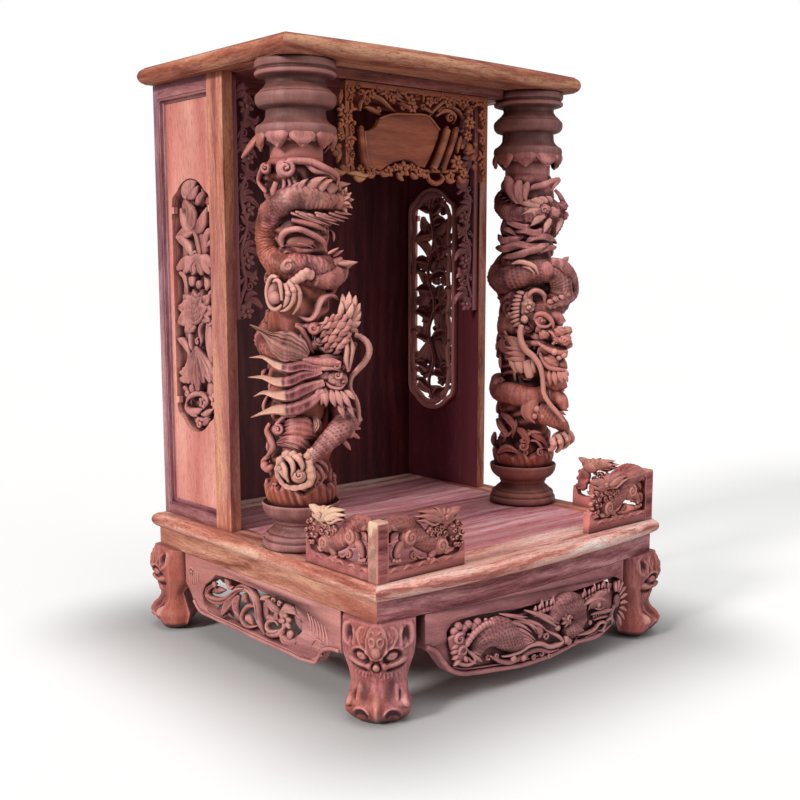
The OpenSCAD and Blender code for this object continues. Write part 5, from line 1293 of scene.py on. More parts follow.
    # cloths and clouds between the locks and the hand
    c.ball(c.on(-36, 437, 60), 11, n=12, m=16, tone=-0.3)
    cloud(c, c.on(-36, 438, 66), c.dirv(-0.4, 0, 1), c.dirv(1, 0, 0.5), 12, 1.35, ((0.9, 0.5),), tone=-0.2)
    for P, w, t in (([c.on(-31, 441, 58), c.on(-11, 448, 62), c.on(8, 447, 64), c.on(26, 438, 64)], 12, -0.2), ([c.on(-34, 426, 58), c.on(-11, 436, 64), c.on(11, 434, 66), c.on(32, 425, 64)], 13, -0.35),
                    ([c.on(-38, 413, 58), c.on(-17, 419, 64), c.on(1, 415, 66), c.on(18, 400, 66)], 12, -0.15), ([c.on(25, 460, 66), c.on(29, 445, 68), c.on(23, 433, 66)], 6, 0.5),
                    ([c.on(-30, 417, 64), c.on(-11, 410, 66), c.on(6, 401, 66)], 5, 0.2)):
        c.sweep(P, np.array([0.3, 0.9, 1.0, 0.3]) * w, [3, 5, 5, 2], n=26, m=22, ref="radial", tone=t, relief=lambda s, a: 1.1 * np.cos(a * 7 + s * 0.05))
    c.sweep([c.on(-50, 444, 56), c.on(-55, 431, 60), c.on(-48, 418, 62), c.on(-46, 405, 62), c.on(-55, 390, 62)], [4, 6, 7, 6, 3], n=28, m=12, tone=0.1)
    c.sweep([c.on(-56, 386, 60), c.on(-61, 375, 62), c.on(-56, 366, 62), c.on(-48, 373, 62)], [4, 7, 7, 4], n=20, m=12, tone=-0.5)
    c.ball(c.on(-59, 370, 62), 9, n=10, m=14, tone=-0.5)
    back_details(c, [(130, 760), (175, 820), (215, 765), (140, 545), (190, 545), (235, 500), (150, 395), (200, 440), (255, 400), (110, 850)])
    waves(c, 9, 306, 57, 38)
    return c


def back_details(c, places):
    for k, (a, z) in enumerate(places):
        p = c.pol(a, z, 54 if k % 3 else 57)
        o = c.out(p)
        r = np.cross([0, 0, 1.0], o)
        cloud(c, p, o, r, 11 + 2.5 * (k % 3), 1.35 if k % 2 else -1.35, ((0.9 if k % 2 else -0.9, 0.35 if k % 3 else -0.45),), tone=-0.1)
        flame(c, c.pol(a + 18, z - 16, 53), o, unit(r * (0.7 if k % 2 else -0.7) + np.array([0, 0, -0.7])), 30, 7, 1 if k % 2 else -1)
def column_right():
    c = Column(-137.24)
    turned_ends(c, 9, plain=((5, 884, 34, 16),), warm=0.2)
    petal_ring(c, 9, 923, 26, 62, off=0.45, w=23.5, tone=0.05)
    rows = [(-160, 862, 50, 5), (-125, 850, 50, 10), (-90, 832, 50, 14), (-55, 815, 50, 17), (-20, 805, 51, 18), (15, 806, 52, 20), (48, 809, 54, 22), (80, 804, 52, 23), (115, 788, 49, 23),
            (155, 762, 48, 23), (195, 735, 48, 23), (235, 705, 48, 24), (270, 683, 49, 25), (300, 677, 50, 26), (325, 681, 51, 26), (350, 688, 52, 25), (374, 694, 54, 24),
            (398, 698, 62, 23), (414, 690, 72, 22), (424, 667, 78, 21), (424, 643, 76, 21), (412, 626, 66, 23), (392, 610, 56, 25), (372, 596, 46, 25)]
    pts, rad = path_from(c, rows)
    B1 = body(c, pts, rad, 380, m=42, pitch=7.2, depth=2.4,
              tone=lambda t, a: np.interp(t, [0, 0.25, 0.4, 0.5, 0.62, 0.75, 0.85, 1.0], [-0.1, 0.0, -0.3, -0.4, 0.05, 0.1, 0.2, -0.2]))
    side = -B1[3]
    fin_row(c, B1, 34, 102, 9, 16, 6.0, 0.7, side=side, tone=0.2, seed=5)
    fin_row(c, B1, 104, 203, 12, 14, 6.0, 0.8, side=side, tone=0.1, seed=6)
    # pale belly band on the middle coil
    c.sweep([c.on(-27, 710, 72), c.on(-12, 714, 76), c.on(4, 711, 78), c.on(17, 704, 79), c.on(24, 691, 78)], [1.5, 4.5, 5.0, 4.5, 1.5], [2, 4, 4, 4, 2], n=30, m=12, ref="radial", tone=0.8)
    c.sweep([c.on(-6, 705, 74), c.on(7, 702, 78), c.on(17, 692, 78)], [1.5, 3.5, 1.5], n=18, m=10, tone=0.5)
    # leaves, ribbon and barbs above
    for P, w, t in (([c.on(-40, 878, 58), c.on(-35, 864, 62), c.on(-29, 849, 64), c.on(-18, 826, 64)], 11, 0.05), ([c.on(-16, 869, 58), c.on(-16, 855, 64), c.on(-14, 840, 66), c.on(-10, 826, 66)], 11, 0.1),
                    ([c.on(1, 866, 58), c.on(-2, 855, 64), c.on(-4, 840, 66), c.on(-1, 830, 66)], 7, 0.0)):
        c.blade(P, w, 7, c.ed, n=22, m=16, rib=0.35, tone=t, profile=[0.5, 1.0, 1.0, 0.8, 0.3])
    c.sweep([c.on(0, 852, 58), c.on(13, 857, 62), c.on(30, 861, 68), c.on(46, 867, 72), c.on(60, 872, 74), c.on(53, 861, 76), c.on(47, 850, 74)], [3, 6, 6.5, 6, 5, 4.5, 2], [3, 6, 7, 6, 6, 5, 2], n=40, m=12, ref="radial", tone=0.02)
    c.sweep([c.on(54, 852, 72), c.on(63, 843, 76), c.on(72, 828, 76), c.on(78, 823, 76)], [3, 5, 5, 2], n=22, m=10, tone=-0.15)
    for b, t, w in (((25, 820, 74), (-21, 828, 66), 7.5), ((28, 812, 76), (-12, 803, 68), 7.5), ((34, 803, 78), (7, 782, 72), 7), ((46, 797, 80), (33, 769, 76), 6.5), ((68, 798, 80), (57, 768, 78), 6),
                    ((31, 826, 76), (6, 832, 72), 6.5), ((39, 828, 78), (20, 836, 74), 6), ((48, 829, 78), (36, 839, 76), 5)):
        p0, p1 = c.on(*b), c.on(*t)
        c.blade([p0, (p0 + p1) / 2 + np.array([0, 0, 2.0]), p1], w, w * 0.55, c.ed, n=14, m=12, rib=0.55, flutes=2, tone=0.6, profile=[0.6, 0.95, 1.0, 0.6, 0.06])
    for q, r, t in (((34, 815, 72), 13, 0.1), ((51, 809, 78), 13, 0.2), ((68, 821, 76), 12, 0.05), ((70, 804, 74), 12, 0.05), ((25, 809, 72), 10, 0.0), ((61, 794, 72), 10, -0.1)):
        knot(c, c.on(*q), (r, r * 0.7, r * 0.85), tone=t, seed=r)
    c.curl(c.on(34, 813, 84), 8, c.dirv(1, 0), (0, 0, 1), turns=1.2, w=2.4, n=26, m=8, tone=0.15)
    # folds between the coils
    for P, w, t, h in (([c.on(-40, 794, 60), c.on(-25, 786, 64), c.on(-6, 782, 66), c.on(11, 785, 66)], 7, 0.0, 0.0), ([c.on(-23, 771, 62), c.on(-3, 773, 66), c.on(17, 770, 68), c.on(35, 776, 68), c.on(46, 771, 68)], 8, -0.1, 0.1),
                       ([c.on(-56, 767, 58), c.on(-44, 755, 60), c.on(-23, 758, 64), c.on(-6, 763, 64)], 9, -0.2, 0.15), ([c.on(-3, 749, 62), c.on(15, 760, 66), c.on(35, 763, 66), c.on(57, 756, 66)], 8, 0.05, 0.0),
                       ([c.on(-61, 742, 58), c.on(-42, 740, 62), c.on(-20, 747, 64), c.on(3, 744, 66), c.on(23, 749, 66)], 9, -0.1, 0.2), ([c.on(-46, 723, 58), c.on(-20, 726, 62), c.on(6, 736, 66), c.on(26, 742, 68), c.on(44, 749, 68)], 9, 0.15, 0.0),
                       ([c.on(21, 730, 62), c.on(38, 739, 66), c.on(59, 743, 66)], 7, -0.2, 0.1), ([c.on(-47, 779, 58), c.on(-32, 774, 62), c.on(-20, 766, 64)], 6, -0.2, 0.2), ([c.on(-6, 795, 62), c.on(11, 793, 66), c.on(26, 788, 68)], 6, 0.1, 0.0)):
        q = np.interp(np.linspace(0, 1, 7), [0, 0.2, 0.6, 0.85, 1], [0.15, 0.8, 1.0, 0.7, 0.12])
        c.sweep(P, q * w, q * w * 0.85, n=30, m=12, ref="radial", tone=t, hollow=h, relief=lambda s, a: 0.8 * np.cos(a * 4 + s * 0.08))
    # the knot of the first arm
    c.ball(c.on(41, 700, 78), (14, 10, 15), n=12, m=16, axes=np.array([c.er, c.ed, [0, 0, 1]]), tone=-0.15)
    c.blade([c.on(62, 710, 84), c.on(71, 713, 86), c.on(83, 723, 86)], 7, 5, c.ed, n=14, m=12, rib=0.5, tone=0.2)
    c.sweep([c.on(49, 714, 80), c.on(65, 710, 88), c.on(81, 697, 94), c.on(93, 676, 94), c.on(94, 652, 92), c.on(81, 640, 90), c.on(63, 636, 88), c.on(44, 627, 84)], [8, 11, 11, 10, 10, 9, 9, 6], n=60, m=24,
            relief=scales(6.2, 12, 1.6), tone=0.12, pits=0.8)
    # a flat dark ball inside the arm's loop: painted shade
    c.ball(c.on(67, 676, 66), (20, 5, 13), n=10, m=14, axes=np.array([c.er, c.ed, [0, 0, 1]]), hollow=0.9)
    for q, r in (((48, 637, 90), 6.5), ((58, 642, 94), 6.5), ((70, 645, 95), 6.5), ((82, 650, 95), 6.5), ((55, 628, 88), 6), ((68, 632, 92), 6)):
        knot(c, c.on(*q), r, tone=0.3, seed=r)
    # hood above the mane
    c.sweep([c.on(6, 639, 62), c.on(8, 652, 68), c.on(18, 659, 70), c.on(29, 656, 70), c.on(37, 647, 70), c.on(38, 634, 70)], [2, 4.5, 5, 5, 4.5, 2], [3, 6, 7, 7, 6, 3], n=34, m=12, ref="radial", tone=0.45)
    # a flat dark ball under the hood: painted shade
    c.ball(c.on(23, 641, 54), (14, 5, 12), n=10, m=14, axes=np.array([c.er, c.ed, [0, 0, 1]]), hollow=0.9)
    # head
    head(c, pose_axes(c, 0.86, 0.42, -0.20), c.at(-6, 572, 28), size=1.3, horns=False, ears=False, beard=(), muzzle=1.02, tone=0.05, comb=False)
    knot(c, c.at(5, 623, 62), (15, 11, 22), tone=0.7, seed=1)
    for q in ((1, 632, 72), (9, 634, 72), (3, 618, 72), (12, 621, 72), (7, 626, 76)):
        knot(c, c.at(*q), 5.5, tone=0.75, seed=q[0])
    c.ball(c.at(4, 643, 58), (11, 9, 14), n=12, m=14, axes=np.array([c.er, c.ed, [0, 0, 1]]), tone=0.8)
    c.ball(c.at(-1, 603, 76), 8, n=10, m=14, tone=0.95)
    c.curl(c.at(-1, 603, 82), 7, c.dirv(1, 0), (0, 0, 1), turns=1.1, w=2.2, n=24, m=8, tone=0.95)
    for b, t in (((-3, 653, 62), (-16, 656, 58)), ((-7, 646, 62), (-20, 648, 58)), ((-9, 640, 64), (-23, 639, 58)), ((-10, 632, 66), (-25, 631, 60)), ((-11, 625, 66), (-26, 623, 60)), ((-11, 618, 68), (-27, 614, 60)),
                 ((-11, 611, 68), (-27, 606, 62)), ((-10, 603, 68), (-26, 597, 62)), ((-8, 596, 68), (-22, 589, 62))):
        p0, p1 = c.at(*b), c.at(*t)
        c.spike(p0, unit(p1 - p0), float(np.linalg.norm(p1 - p0)) + 3, 5.0, 5.5, up=c.ed, bend=0.08, tone=0.8, n=8)
    c.sweep([c.at(-3, 655, 56), c.at(-10, 643, 58), c.at(-13, 623, 60), c.at(-13, 603, 60), c.at(-10, 586, 62)], [4, 6, 6.5, 6.5, 4], n=30, m=12, tone=0.3)
    for P, w, t in (([c.at(24, 587, 66), c.at(47, 579, 70), c.at(69, 574, 72), c.at(84, 568, 70)], 15, -0.1), ([c.at(31, 548, 64), c.at(53, 542, 68), c.at(70, 540, 70), c.at(82, 540, 68)], 15, 0.0),
                    ([c.at(31, 519, 62), c.at(54, 514, 66), c.at(70, 514, 68), c.at(80, 517, 66)], 16, -0.1), ([c.at(37, 490, 52), c.at(55, 479, 54), c.at(71, 476, 54), c.at(80, 479, 52)], 17, -0.15),
                    ([c.at(41, 461, 48), c.at(58, 450, 50), c.at(72, 439, 52), c.at(78, 424, 52)], 17, -0.1), ([c.at(46, 618, 56), c.at(60, 607, 60), c.at(69, 593, 60)], 13, 0.0)):
        c.sweep(P, np.array([0.7, 1, 1, 0.7])[:len(P)] * w, n=24, m=16, tone=t, relief=lambda s, a: 1.0 * np.sin(s * 0.35 + a) * np.cos(a * 3))
    # brow and purple eye, lids, nose and lips
    knot(c, c.at(31, 601, 80), (13, 9, 12), tone=0.0, seed=3, hollow=0.2)
    # the pupil is a small bead darkened as painted shade
    c.ball(c.at(33, 601, 88), (4, 3, 4), n=7, m=10, hollow=0.85)
    c.sweep([c.at(18, 603, 80), c.at(24, 613, 84), c.at(37, 613, 86), c.at(50, 602, 86), c.at(56, 586, 84)], [3, 5, 5.5, 5, 3], n=30, m=12, tone=-0.35)
    c.sweep([c.at(20, 601, 84), c.at(29, 591, 88), c.at(43, 590, 88), c.at(51, 596, 88)], [2, 3.5, 3.5, 2], n=22, m=10, tone=0.1)
    knot(c, c.at(38, 574, 84), (11, 8, 10), tone=0.2, seed=6)
    c.sweep([c.at(46, 581, 86), c.at(55, 575, 88), c.at(60, 563, 86), c.at(54, 555, 86)], [3, 4.5, 4.5, 3], n=22, m=10, tone=-0.5)
    c.blade([c.at(57, 609, 60), c.at(65, 603, 64), c.at(73, 590, 66)], 9, 6, c.ed, n=14, m=12, rib=0.5, tone=0.4)
    for q, r, t in (((68, 580, 86), 13, 0.15), ((82, 582, 84), 10, 0.25), ((77, 564, 88), 14, 0.2), ((65, 565, 84), 11, 0.05), ((85, 554, 84), 8, 0.2)):
        knot(c, c.at(*q), r, tone=t, seed=r + t)
    c.curl(c.at(77, 564, 98), 8, c.dirv(1, 0), (0, 0, 1), turns=1.2, w=2.6, n=26, m=8, tone=0.2)
    c.sweep([c.at(26, 558, 82), c.at(39, 549, 88), c.at(52, 543, 92), c.at(69, 540, 92), c.at(83, 543, 88)], [3, 5, 5.5, 5.5, 3], n=34, m=12, tone=0.15)
    for q, r, t in (((58, 541, 94), 7, 0.5), ((76, 535, 90), 7, 0.45), ((67, 530, 90), 6, 0.5)):
        c.ball(c.at(*q), r, n=8, m=12, tone=t)
    knot(c, c.at(50, 521, 82), (18, 13, 15), tone=0.15, seed=8)
    c.sweep([c.at(30, 538, 84), c.at(36, 521, 88), c.at(48, 511, 90), c.at(64, 507, 90), c.at(81, 505, 86)], [3, 5, 5.5, 5, 2.5], n=34, m=12, tone=0.1)
    for b, t, w in (((39, 506, 86), (43, 482, 84), 6), ((48, 505, 88), (51, 474, 86), 6.5), ((57, 504, 90), (62, 475, 88), 6.5), ((65, 504, 90), (75, 480, 88), 6.5), ((73, 503, 88), (85, 482, 86), 6),
                    ((77, 505, 84), (86, 495, 82), 5)):
        p0, p1 = c.at(*b), c.at(*t)
        c.blade([p0, (p0 + p1) / 2 + c.ed * 3, p1], w, 4.4, c.ed, n=14, m=12, rib=0.5, flutes=2, tone=0.25)
    # cheek leaf, its bands, and the square pale locks
    c.blade([c.at(2, 543, 76), c.at(-12, 552, 76), c.at(-26, 562, 68), c.at(-43, 570, 54)], 13, 6, c.ed, n=22, m=18, rib=0.6, flutes=3, tone=0.25, profile=[0.8, 1.0, 0.8, 0.4, 0.08])
    for P in ([c.at(-0, 541, 78), c.at(-17, 545, 76), c.at(-37, 547, 64)], [c.at(1, 533, 80), c.at(-17, 536, 78), c.at(-37, 536, 64)], [c.at(1, 525, 80), c.at(-17, 526, 78), c.at(-35, 525, 66)]):
        c.blade(P, 7, 5, c.ed, n=16, m=12, rib=0.5, tone=0.25, profile=[0.9, 1.0, 0.9, 0.5, 0.1])
    for P, w in (([c.at(-27, 525, 70), c.at(-21, 514, 74), c.at(-13, 500, 74)], 7), ([c.at(-13, 525, 76), c.at(-9, 513, 80), c.at(-2, 500, 78)], 9), ([c.at(4, 523, 80), c.at(8, 510, 84), c.at(12, 490, 82)], 10),
                 ([c.at(16, 523, 80), c.at(18, 513, 84), c.at(20, 500, 82)], 6)):
        c.blade(P, w, 5.5, c.ed, n=18, m=16, rib=0.4, flutes=2, tone=0.75, profile=[0.8, 1.0, 1.0, 0.95, 0.7])
    # whisker
    c.sweep([c.at(-7, 591, 80), c.at(-9, 577, 86), c.at(-6, 560, 90), c.at(3, 544, 92), c.at(17, 532, 94), c.at(29, 516, 94), c.at(35, 497, 92), c.at(37, 477, 90), c.at(39, 459, 92), c.at(51, 439, 94),
             c.at(66, 422, 94), c.at(79, 405, 90)], [5.5, 5.8, 6.2, 6.2, 5.8, 5.4, 5.0, 4.8, 4.8, 4.6, 4.4, 2.5], n=80, m=14, tone=0.45, relief=lambda s, a: 0.3 * np.sin(s * 0.9))
    # the second coil's scaly band, the arm and its fist
    c.sweep([c.pol(-80, 478, 50), c.on(-48, 458, 60), c.on(-24, 456, 66), c.on(1, 450, 70), c.on(27, 451, 70), c.on(44, 463, 64)], [16, 19, 20, 20, 18, 10], n=60, m=34, relief=scales(6.6, 16, 2.2), tone=0.02, pits=0.9)
    c.blade([c.on(26, 454, 84), c.on(13, 436, 84), c.on(10, 416, 84), c.on(22, 399, 84)], 17, 8, c.ed, n=26, m=22, rib=0.5, flutes=5, tone=0.15, profile=[0.3, 0.8, 1.0, 0.9, 0.5, 0.1])
    c.sweep([c.on(27, 423, 76), c.on(44, 415, 84), c.on(61, 406, 92), c.on(76, 393, 96), c.on(83, 380, 98)], [17, 19, 17, 13, 9], n=44, m=30, relief=scales(6.2, 14, 1.8), tone=0.15, pits=0.7)
    for q, r, t in (((25, 428, 88), 8, 0.2), ((38, 414, 92), 8, 0.1), ((21, 414, 88), 7, 0.15)):
        c.ball(c.on(*q), r, n=8, m=12, tone=t)
    c.ball(c.on(76, 364, 88), (20, 14, 15), n=14, m=18, axes=np.array([c.er, c.ed, [0, 0, 1]]), tone=0.6)
    for P in ([c.on(85, 379, 98), c.on(95, 368, 98), c.on(100, 354, 94), c.on(93, 345, 92)], [c.on(76, 378, 102), c.on(85, 365, 104), c.on(86, 352, 100), c.on(78, 345, 96)],
              [c.on(66, 376, 102), c.on(73, 363, 106), c.on(72, 349, 102), c.on(65, 340, 96)], [c.on(57, 370, 98), c.on(60, 359, 102), c.on(58, 349, 98), c.on(50, 345, 92)]):
        c.sweep(P, [6.5, 7, 6, 3], n=22, m=12, tone=0.85)
    for q in ((94, 369, 100), (84, 365, 106), (72, 363, 108), (60, 360, 104)):
        c.ball(c.on(*q), 6.8, n=8, m=12, tone=0.9)
    # tuft at the right, behind the whisker
    c.curl(c.on(61, 452, 66), 11, c.dirv(1, 0), (0, 0, 1), turns=-1.25, start=2.2, w=3.2, th=5, n=30, m=8, tone=0.35)
    for b, t in (((68, 435, 64), (87, 426, 70)), ((68, 426, 66), (88, 415, 70)), ((62, 423, 66), (85, 406, 70)), ((74, 450, 64), (85, 443, 68)), ((72, 456, 64), (80, 456, 68))):
        p0, p1 = c.on(*b), c.on(*t)
        c.spike(p0, unit(p1 - p0), float(np.linalg.norm(p1 - p0)) + 3, 5.5, 3.6, up=c.ed, bend=0.1, tone=0.3, n=9)
    # curls low on the left, waves in front
    c.ball(c.on(-51, 472, 64), (13, 11, 12), n=12, m=14, axes=np.array([c.er, c.ed, [0, 0, 1]]), tone=-0.2)
    c.curl(c.on(-57, 464, 66), 9, c.dirv(0.8, 0, 0.6), (0, 0, 1), turns=1.2, w=3.0, th=5, n=26, m=8, tone=-0.1)
    c.curl(c.on(-45, 481, 66), 8, c.dirv(0.8, 0, 0.6), (0, 0, 1), turns=-1.2, w=3.0, th=5, n=26, m=8, tone=-0.1)
    for P, w, t in (([c.on(-44, 412, 60), c.on(-29, 403, 64), c.on(-19, 387, 66), c.on(-22, 366, 66)], 8, 0.0), ([c.on(-53, 398, 58), c.on(-44, 387, 62), c.on(-35, 371, 64), c.on(-40, 355, 62)], 8, -0.1),
                    ([c.on(-58, 368, 56), c.on(-60, 350, 60), c.on(-55, 339, 60)], 7, -0.2), ([c.on(-15, 386, 60), c.on(-0, 376, 64), c.on(8, 359, 66), c.on(0, 344, 66)], 8, -0.1),
                    ([c.on(8, 381, 60), c.on(25, 370, 64), c.on(40, 360, 64), c.on(49, 343, 62)], 7, -0.25), ([c.on(-49, 332, 60), c.on(-34, 344, 64), c.on(-17, 341, 66), c.on(-3, 330, 66)], 8, 0.0)):
        c.blade(P, w, 6.5, c.ed, n=20, m=14, rib=0.55, flutes=2, tone=t, profile=[0.4, 0.9, 1.0, 0.8, 0.4, 0.1])
    cloud(c, c.on(-0, 350, 64), c.dirv(0, 0, 1), c.dirv(1, 0, 0), 14, 1.35, ((0.9, 0.5),), tone=-0.05)
    cloud(c, c.on(-38, 373, 64), c.dirv(-0.5, 0, 0.9), c.dirv(0.9, 0, 0.5), 12, -1.35, ((0.5, 0.9),), tone=-0.1)
    cloud(c, c.on(34, 337, 64), c.dirv(0.5, 0, 0.9), c.dirv(0.9, 0, -0.5), 11, -1.35, ((-0.8, 0.6),), tone=-0.15)
    back_details(c, [(-120, 600), (-85, 545), (-140, 540), (180, 820), (130, 730), (150, 620), (190, 560), (140, 500), (180, 430), (120, 400), (230, 400)])
    waves(c, 9, 306, 58, 34, seed=8, tone=0.0, cut=0.7)
    return c


for fn, sgn, nm in ((column_left, -1, "dragon_column_left"), (column_right, 1, "dragon_column_right")):
    col = fn()
    col.place(np.eye(3), (sgn * 281.0, -49.26, DECK))
    col.piece("carved_" + nm, MAT["dragon"], "dragon_wood", [nm])


# ------------------------------------------------------------------ legs: lion masks on clawed feet
SIDE_F = [(0, -18), (11, -3), (23, 11), (34, 15), (43, 11), (52, -2), (66, -9), (84, -4), (104, 8), (126, 13), (146, 11), (158, 4), (164, 3)]
SIDE_B = [(0, -60), (11, -76), (34, -83), (56, -75), (76, -69), (92, -83), (104, -96), (164, -97)]
FACE_W = [(0, 30), (6, 46), (16, 59), (32, 61), (46, 54), (66, 49.5), (84, 54), (106, 63), (130, 66), (164, 64)]


def lion_relief(t, z):
    """Relief of the mask and the foot in millimetres, at t across and z up."""
    h = np.zeros(t.shape)
    a = np.abs(t)
    # forehead shield with a rim, curled relief and a round boss
    h += ring_of(t, z, 0, 137, 21, 28, 2.0, 3.4)
    h += dome(t, z, 0, 137, 20, 27, 2.6)
    h += dome(t, z, 0, 123, 9.5, 9, 3.2)
    h += ring_of(a, z, 8.5, 140, 6, 6, 1.6, 2.4)
    h += ridge(a, z, [(2, 150), (9, 156), (15, 150), (16, 142)], 1.8, 2.0)
    h += ridge(a, z, [(1, 133), (7, 130), (14, 134)], 1.5, 1.6)
    # swept horns on both sides of it
    h += ridge(a, z, [(22, 160), (33, 156), (38, 146), (34, 134), (27, 126)], 2.4, 3.2)
    h += ridge(a, z, [(29, 148), (31, 140), (27, 133)], 1.8, 2.0)
    h += ridge(a, z, [(24, 152), (27, 146), (24, 138)], 1.5, 1.6)
    # ears at the sides: leaf with a hollow
    h += ridge(a, z, [(44, 160), (56, 158), (62, 146), (60, 132), (50, 124), (44, 118)], 3.4, 4.2)
    h += ridge(a, z, [(46, 158), (43, 146), (44, 132), (46, 122)], 2.6, 3.4)
    h -= dome(t * np.sign(t + 1e-9), z, 52, 143, 6, 13, 3.6)
    h += dome(a, z, 52, 134, 3, 7, 2.4)
    # brows, sockets and eyes
    h += ridge(a, z, [(12, 116), (20, 123), (31, 127), (42, 123), (49, 113)], 3.2, 4.6)
    h -= ring_of(a, z, 30, 114, 12.5, 9.5, 2.4, 5.2, 12)
    h += dome(a, z, 30, 114.5, 9.5, 7.2, 4.6, 12)
    h -= dome(a, z, 29, 114.5, 3.0, 3.0, 1.6)
    # nose, wings and the dark line above
    h -= ridge(t, z, [(-12, 110), (0, 108), (12, 110)], 2.2, 4.5)
    h += dome(t, z, 0, 98, 7.6, 7.4, 7.0)
    h -= ring_of(t, z, 0, 98, 9.6, 9.4, 1.6, 3.2)
    h += dome(a, z, 16, 99, 7.5, 6.5, 4.5, -14)
    # cheeks and the beard under them
    h += dome(a, z, 37, 102, 17, 7.0, 5.2, 14)
    h -= ridge(a, z, [(16, 90), (28, 90), (42, 92), (52, 98)], 2.2, 4.2)
    for k in range(5):
        c = 14 + 6.2 * k
        h += ridge(a, z, [(c, 90 - k * 0.8), (c + 1.5, 82), (c + 1.2, 72 + 1.5 * k)], 1.7, 2.4)
    h += ridge(a, z, [(9, 92), (8, 84), (3, 78)], 1.8, 2.0)
    # smooth shank with soft flutes
    sh = np.clip((80 - z) / 20, 0, 1) * np.clip((z - 34) / 12, 0, 1)
    h += sh * (1.3 * np.cos(t / 8.6) - 0.5)
    # foot: pointed middle claw, arched toes and side knobs
    h += ridge(t, z, [(0, 60), (0, 40), (0, 24), (0, 10)], 9.0, 3.0, taper=False) * np.clip((62 - z) / 14, 0, 1)
    h += ridge(t, z, [(0, 34), (0, 8)], 3.4, 2.6, taper=False)
    h += ridge(a, z, [(12, 16), (17, 27), (28, 33), (40, 30), (47, 20)], 2.4, 4.6)
    h -= dome(a, z, 31, 18, 14, 12, 3.8)
    h += dome(a, z, 31, 11, 10, 9, 3.0)
    h += dome(a, z, 54, 40, 11, 11, 6.0)
    h -= ridge(a, z, [(40, 58), (44, 46), (48, 34), (56, 27)], 1.9, 3.4)
    h += ridge(a, z, [(34, 66), (37, 52), (41, 40)], 3.0, 2.0)
    return h


def leg_shell():
    c = Carving()
    zs = np.concatenate([np.linspace(0, 8, 6), np.arange(9.6, 164, 1.6), [164.0]])
    f = lambda T: np.interp(zs, [p[0] for p in T], [p[1] for p in T])

    def soft(v):
        for _ in range(4):
            v = np.concatenate([[v[0]], 0.25 * v[:-2] + 0.5 * v[1:-1] + 0.25 * v[2:], [v[-1]]])
        return v
    uf, ub, w = soft(f(SIDE_F)), soft(f(SIDE_B)), soft(f(FACE_W))
    mf, ms, mb = 88, 12, 12
    s = np.linspace(-1, 1, mf)
    rings, tones, holl = [], [], []
    for z, a, b, hw in zip(zs, uf, ub, w):
        k = np.interp(z, [0, 40, 70, 100], [0.70, 0.80, 0.92, 1.0])
        r = np.interp(z, [0, 40, 70, 110], [26, 24, 26, 17])
        t = hw * np.sin(s * np.pi / 2) ** 1 if False else hw * (s + 0.0)
        base = a - k * (np.sqrt(t ** 2 + r * r) - r)
        # outwards normal in plan
        nx, ny = k * t / np.sqrt(t ** 2 + r * r), np.ones_like(t)
        L = np.hypot(nx, ny)
        zz = np.full_like(t, z)
        h = lion_relief(t, zz) * np.interp(z, [0, 4, 158, 164], [0.3, 1, 1, 0.2])
        edge = np.clip((1 - np.abs(s)) * 14, 0, 1)
        d = (h * 1.15 + 0.35 * noise(np.stack([t, zz, 0 * t], 1), 6.0, 4)) * edge - 3.2
        front = np.stack([t + nx / L * d, base + ny / L * d, zz], 1)
        ue = base[-1] - 2.6
        bb = min(b, ue - 6)
        bw = hw * 0.72
        side_r = np.stack([np.linspace(hw, bw, ms + 2)[1:-1], np.linspace(ue, bb, ms + 2)[1:-1], np.full(ms, z)], 1)
        side_r[:, 0] += 4.0 * np.sin(np.linspace(0, np.pi, ms)) - 1.2
        back = np.stack([np.linspace(bw, -bw, mb), np.full(mb, bb), np.full(mb, z)], 1)
        side_l = side_r[::-1] * np.array([-1, 1, 1])
        R = np.vstack([front, side_r, back, side_l])
        rings.append(R)
        # painted highlight: raised relief gets a paler tone; painted shade: sunken relief gets hollow
        tt = np.concatenate([np.clip(h / 10 - 0.12, 0, 0.5), np.zeros(len(R) - mf)])
        hh = np.concatenate([np.clip(-h / 2.4, 0, 1.0), np.zeros(len(R) - mf)])
        tones.append(tt)
        holl.append(hh)
    c.rings(np.array(rings), np.array(tones), np.array(holl), bulge=(0.0, 0.0))
    return c


LION = leg_shell()
for (name, x, y, deg) in (("leg_front_left", -354, -339.26, 135), ("leg_front_right", 354, -339.26, -135), ("leg_back_left", -354, 351.74, 45), ("leg_back_right", 354, 351.74, -45)):
    leg = Carving()
    leg.absorb(LION)
    ca, sa = math.cos(math.radians(deg)), math.sin(math.radians(deg))
    leg.place(np.array([[ca, -sa, 0], [sa, ca, 0], [0, 0, 1]]), (x, y, 0))
    for v in leg.V:
        for k, o, sg in ((0, x, math.copysign(1.0, x)), (1, y, math.copysign(1.0, y))):
            d = (v[:, k] - o) * sg
            v[:, k] = o + sg * np.where(d > -24.0, -24.0 + (d + 24.0) * 0.80, d)
    leg.piece("lion_" + name, MAT["leg"], "leg_wood", [name], hand=0.25)


# ------------------------------------------------------------------ side aprons
S_EDGE = [(0, 104), (14, 92), (30, 72), (52, 57), (90, 55), (170, 54), (250, 52), (330, 52), (372, 51), (398, 53), (414, 56), (424, 68), (436, 82), (456, 90), (480, 92), (483, 93)]


